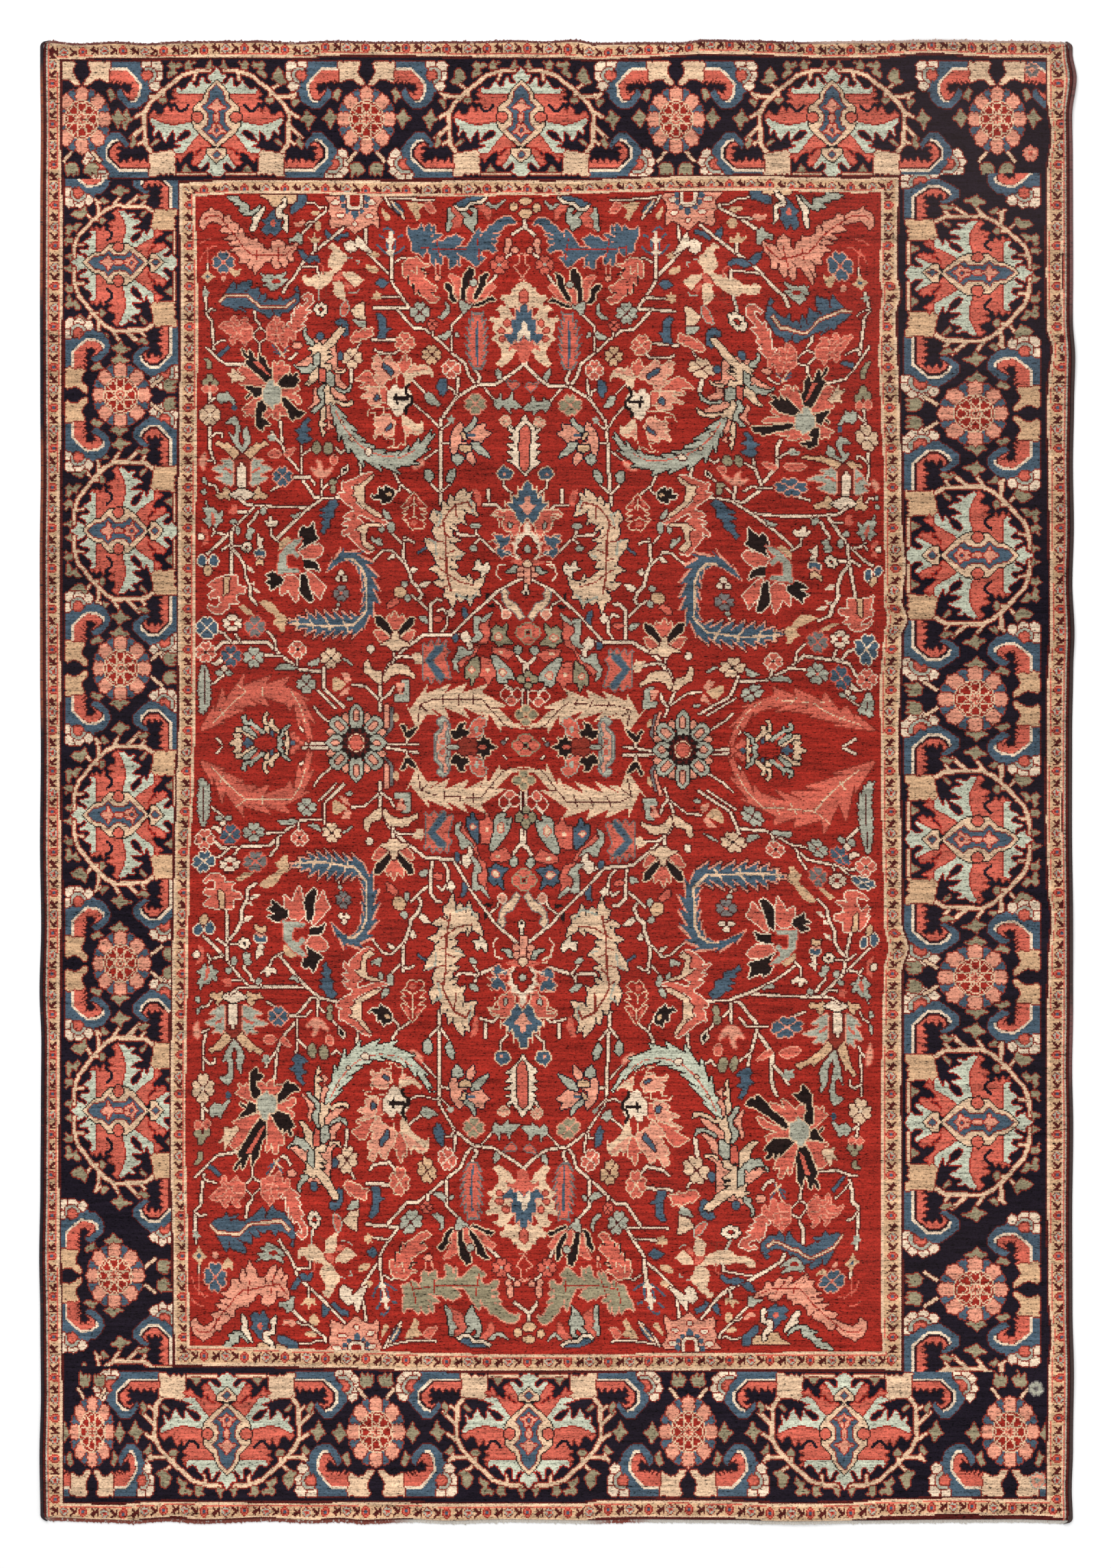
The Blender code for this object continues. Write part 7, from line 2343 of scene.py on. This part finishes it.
@dataclass
class KnottedBody:
    """The knotted body: the pile and the woven back under it, both showing the chart."""

    lie: Lie
    chart: Chart
    finishes: Finishes
    parting: float = 0.0002
    rim: float = 0.0035
    rim_segments: int = 3

    # On the baked map: where the side that shows starts and how much it takes, across and along,
    # and the strip beside it that takes the rest.
    FRONT = (0.004, 0.93)
    SIDE = (0.945, 0.05)
    HEIGHT = (0.003, 0.994)

    def __post_init__(self) -> None:
        """Work out where the knotted part lies on the flat rug."""
        self.left = self.lie.left_cord + self.lie.gap
        self.right = self.lie.width - self.lie.right_cord - self.lie.gap
        self.foot = self.lie.bottom_web + self.lie.gap
        self.head = self.lie.length - self.lie.top_web - self.lie.gap
        self.columns = self.chart.columns // KNOTS_ACROSS
        self.rows = self.chart.rows // KNOTS_ALONG

    def sheet(self, name: str, low: float, high: float, round_over: float, upward: bool,
              material: bpy.types.Material) -> bpy.types.Object:
        """One closed sheet of the body, with the chart on it.

        Args:
            name: The piece's name.
            low: Height of its underside.
            high: Height of its top.
            round_over: How far its rim is rounded over.
            upward: Whether the side that shows is its top.
            material: Its finish.

        Returns:
            The object.
        """
        mesh = slab(np.linspace(self.left, self.right, self.columns + 1),
                    np.linspace(self.foot, self.head, self.rows + 1), low, high)
        if round_over:
            rim = [edge for edge in mesh.edges
                   if all(vert.co.z > (low + high) / 2 for vert in edge.verts)
                   and any(abs(face.normal.z) < 0.5 for face in edge.link_faces)]
            bmesh.ops.bevel(mesh, geom=rim, offset=round_over, segments=self.rim_segments, profile=0.5,
                            affect="EDGES", material=-1, clamp_overlap=True)
        mesh.normal_update()
        showing = (lambda face: face.normal.z > -0.5) if upward else (lambda face: face.normal.z < 0.5)
        self.map_knots(mesh, showing)
        obj = finish_mesh(mesh, name, material, self.lie)
        self.write_rows(obj.data)
        return obj

    def map_knots(self, mesh: bmesh.types.BMesh, showing: Callable[[bmesh.types.BMFace], bool]) -> None:
        """Give the mesh its knot map and the map that its finish can be baked through.

        Args:
            mesh: The flat sheet.
            showing: Whether a face is on the side that shows.
        """
        knots = mesh.loops.layers.uv.new("knots")
        bake = mesh.loops.layers.uv.new("OFBake")
        width, length = self.right - self.left, self.head - self.foot
        for face in mesh.faces:
            start, share = self.FRONT if showing(face) else self.SIDE
            for loop in face.loops:
                x = (loop.vert.co.x - self.left) / width
                y = (loop.vert.co.y - self.foot) / length
                loop[knots].uv = (min(max(x, NEAR), 1 - NEAR) * self.chart.columns,
                                  min(max(y, NEAR), 1 - NEAR) * self.chart.rows)
                loop[bake].uv = (start + x * share, self.HEIGHT[0] + y * self.HEIGHT[1])

    def write_rows(self, data: bpy.types.Mesh) -> None:
        """Pack the yarn numbers of each face's knots into its own attribute, a row to a channel."""
        blocks = self.chart.knots.reshape(self.rows, KNOTS_ALONG, self.columns, KNOTS_ACROSS)
        packed = (blocks * DIGIT_BASE ** np.arange(KNOTS_ACROSS)).sum(axis=-1)
        corners = np.empty(len(data.loops) * 2, dtype=np.float32)
        data.uv_layers["knots"].data.foreach_get("uv", corners)
        corners = corners.reshape(-1, 2)
        starts = np.empty(len(data.polygons), dtype=np.int32)
        data.polygons.foreach_get("loop_start", starts)
        middles = np.add.reduceat(corners, starts, axis=0)
        middles /= np.diff(np.append(starts, len(corners)))[:, None]
        column = np.clip((middles[:, 0] / KNOTS_ACROSS).astype(int), 0, self.columns - 1)
        row = np.clip((middles[:, 1] / KNOTS_ALONG).astype(int), 0, self.rows - 1)
        layer = data.attributes.new("rows", "FLOAT_COLOR", "FACE")
        layer.data.foreach_set("color", packed[row, :, column].astype(np.float32).ravel())

    def build(self) -> list[bpy.types.Object]:
        """Make the pile and the back."""
        lie = self.lie
        pile = self.sheet("knotted_pile", lie.back_top + self.parting, lie.pile_top, self.rim, True,
                          self.finishes.pile())
        back = self.sheet("woven_back", 0.0, lie.back_top, 0.0, False, self.finishes.back())
        return [pile, back]


@dataclass
class Selvedge:
    """The cord along one long side: a core overcast with yarn, turn by turn."""

    lie: Lie
    name: str
    start: float
    end: float
    material: bpy.types.Material
    height: float = 0.0070
    turn: float = 0.0062
    stations: int = 9
    foot: float = 0.0020
    flank: float = 0.3
    groove: float = 0.12
    slant: float = 0.0022

    def build(self) -> bpy.types.Object:
        """Make the cord with a low ridge for each turn of the yarn."""
        along = np.linspace(0.0, self.lie.length, 2 * round(self.lie.length / self.turn) + 1)
        mesh = slab(np.linspace(self.start, self.end, self.stations), along, 0.0, self.foot)
        width, middle = self.end - self.start, (self.start + self.end) / 2
        for vert in mesh.verts:
            share = (vert.co.x - middle) / (width / 2)
            ridge = 1 - self.groove * (round(vert.co.y / self.turn * 2) % 2)
            if vert.co.z > self.foot / 2:
                crown = math.sqrt(max(1 - share * share, 0.0)) * ridge
                vert.co.z = self.height * (self.flank + (1 - self.flank) * crown)
            vert.co.y += self.slant * share
        return finish_mesh(mesh, self.name, self.material, self.lie)


@dataclass
class EndWeb:
    """The narrow flat-woven band that closes one end of the rug."""

    lie: Lie
    name: str
    low: float
    high: float
    material: bpy.types.Material
    height: float = 0.0030
    rib: float = 0.0044
    groove: float = 0.0007
    stations: int = 4
    fray: float = 0.0009
    waver: float = 0.0005
    longest: float = 0.005
    seed: int = 7

    def build(self) -> bpy.types.Object:
        """Make the band, with a rib over each pair of warps and a slightly ragged rim."""
        start, end = self.lie.left_cord + self.lie.gap, self.lie.width - self.lie.right_cord - self.lie.gap
        across = np.linspace(start, end, 2 * round((end - start) / self.rib) + 1)
        mesh = slab(across, np.linspace(self.low, self.high, self.stations), 0.0, self.height)
        rng = np.random.default_rng(self.seed)
        outward = -1 if self.low < self.lie.length / 2 else 1
        frayed = rng.normal(0, self.waver, len(across)) + outward * rng.exponential(self.fray, len(across))
        ragged = dict(zip(np.round(across, 6), np.clip(frayed, -self.longest, self.longest)))
        outer = self.low if outward < 0 else self.high
        for vert in mesh.verts:
            if vert.co.z > self.height / 2:
                vert.co.z -= self.groove * (round((vert.co.x - start) / self.rib * 2) % 2)
            if abs(vert.co.y - outer) < NEAR:
                vert.co.y += ragged.get(round(vert.co.x, 6), 0.0)
        return finish_mesh(mesh, self.name, self.material, self.lie)


class Studio:
    """The plain floor, the soft light and the camera straight above."""

    # How bright the light leaves a white surface, by which the dyes' screen values are divided.
    LIGHT_LEVEL = 1.27

    # The floor's half side and its drop under the rug, and the light from all round.
    FLOOR, DROP = 20, 0.0005
    AIR = 0.58

    # Each soft light: its name, place and power. Both are this wide.
    LAMPS = (("soft box", (-1.6, 2.6, 5.0), 276.0), ("fill box", (2.4, -2.2, 5.5), 131.0))
    LAMP_SIZE = 5.0

    # The photograph's size in pixels, the camera's height and its sensor's width in millimetres.
    IMAGE = (1624, 2291)
    HEIGHT = 13.0
    SENSOR = 36.0

    def __init__(self, cartoon: Cartoon, finishes: Finishes) -> None:
        """Keep what the studio is measured with."""
        self.cartoon = cartoon
        self.finishes = finishes

    def build(self) -> None:
        """Set the floor, lights and camera."""
        self.floor()
        world = bpy.data.worlds.new("studio air")
        world.use_nodes = True
        air = world.node_tree.nodes["Background"]
        air.inputs["Color"].default_value = (1.0, 1.0, 1.0, 1.0)
        air.inputs["Strength"].default_value = self.AIR
        bpy.context.scene.world = world
        bpy.context.scene.view_settings.view_transform = "Standard"
        for name, place, power in self.LAMPS:
            self.lamp(name, place, power)
        self.camera()

    def floor(self) -> None:
        """Lay the plain floor just under the rug."""
        mesh = bmesh.new()
        bmesh.ops.create_grid(mesh, x_segments=2, y_segments=2, size=self.FLOOR)
        data = bpy.data.meshes.new("studio_floor")
        mesh.to_mesh(data)
        mesh.free()
        data.materials.append(self.finishes.studio_floor())
        ground = bpy.data.objects.new("studio_floor", data)
        ground.location.z = -self.DROP
        bpy.context.scene.collection.objects.link(ground)

    def lamp(self, name: str, place: tuple[float, float, float], power: float) -> None:
        """Hang a square soft light that faces the rug's middle."""
        light = bpy.data.lights.new(name, "AREA")
        light.shape = "SQUARE"
        light.size = self.LAMP_SIZE
        light.energy = power
        lamp = bpy.data.objects.new(name, light)
        lamp.location = place
        lamp.rotation_euler = (-Vector(place)).to_track_quat("-Z", "Y").to_euler()
        bpy.context.scene.collection.objects.link(lamp)

    def camera(self) -> None:
        """Hang a long-lens camera straight above, framed as the photograph is."""
        lens = bpy.data.cameras.new("camera")
        camera = bpy.data.objects.new("camera", lens)
        unit, (wide, high) = self.cartoon.unit, self.IMAGE
        lens.sensor_width = self.SENSOR
        lens.lens = self.SENSOR * self.HEIGHT / (high * unit)
        camera.location = ((wide / 2 - self.cartoon.middle_x) * unit,
                           (self.cartoon.middle_y - high / 2) * unit, self.HEIGHT)
        bpy.context.scene.collection.objects.link(camera)
        bpy.context.scene.camera = camera


def main() -> None:
    """Build every sub-assembly in order."""
    logging.basicConfig(level=logging.INFO, format="%(name)s: %(message)s")
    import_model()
    lie, chart, finishes = Lie(), Chart(), Finishes()
    Studio(chart.cartoon, finishes).build()
    weave(chart)
    LOG.info("chart: %d knots", chart.knots.size)
    pile, back = KnottedBody(lie, chart, finishes).build()
    left_wool = finishes.cord("left overcasting", (40, 34, 40), (138, 74, 52), ((0.15, 0.84), (1.18, 1.72)))
    right_wool = finishes.cord("right overcasting", (62, 50, 48), (112, 74, 72), ((1.14, 1.78), (-0.72, -0.54)))
    lower = finishes.cotton("lower web cotton", (206, 200, 190), (132, 66, 54), ((-1.25, -0.38), (0.1, 0.2)))
    upper = finishes.cotton("upper web cotton", (200, 168, 154), (118, 66, 62), ((-1.25, 0.62),))
    left = Selvedge(lie, "overcast_cord_left", 0.0, lie.left_cord, left_wool).build()
    right = Selvedge(lie, "overcast_cord_right", lie.width - lie.right_cord, lie.width, right_wool).build()
    foot = EndWeb(lie, "woven_web_bottom", 0.0, lie.bottom_web, lower).build()
    head = EndWeb(lie, "woven_web_top", lie.length - lie.top_web, lie.length, upper).build()
    for piece, node, slot in ((pile, "rug_pile", "pile_wool"), (back, "rug_pile", "pile_wool"),
                              (left, "selvedge_left", "selvedge_wool"),
                              (right, "selvedge_right", "selvedge_wool"),
                              (foot, "end_web_bottom", "web_cotton"), (head, "end_web_top", "web_cotton")):
        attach(piece, "root")
        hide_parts(node)
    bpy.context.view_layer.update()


if __name__ == "__main__":
    main()
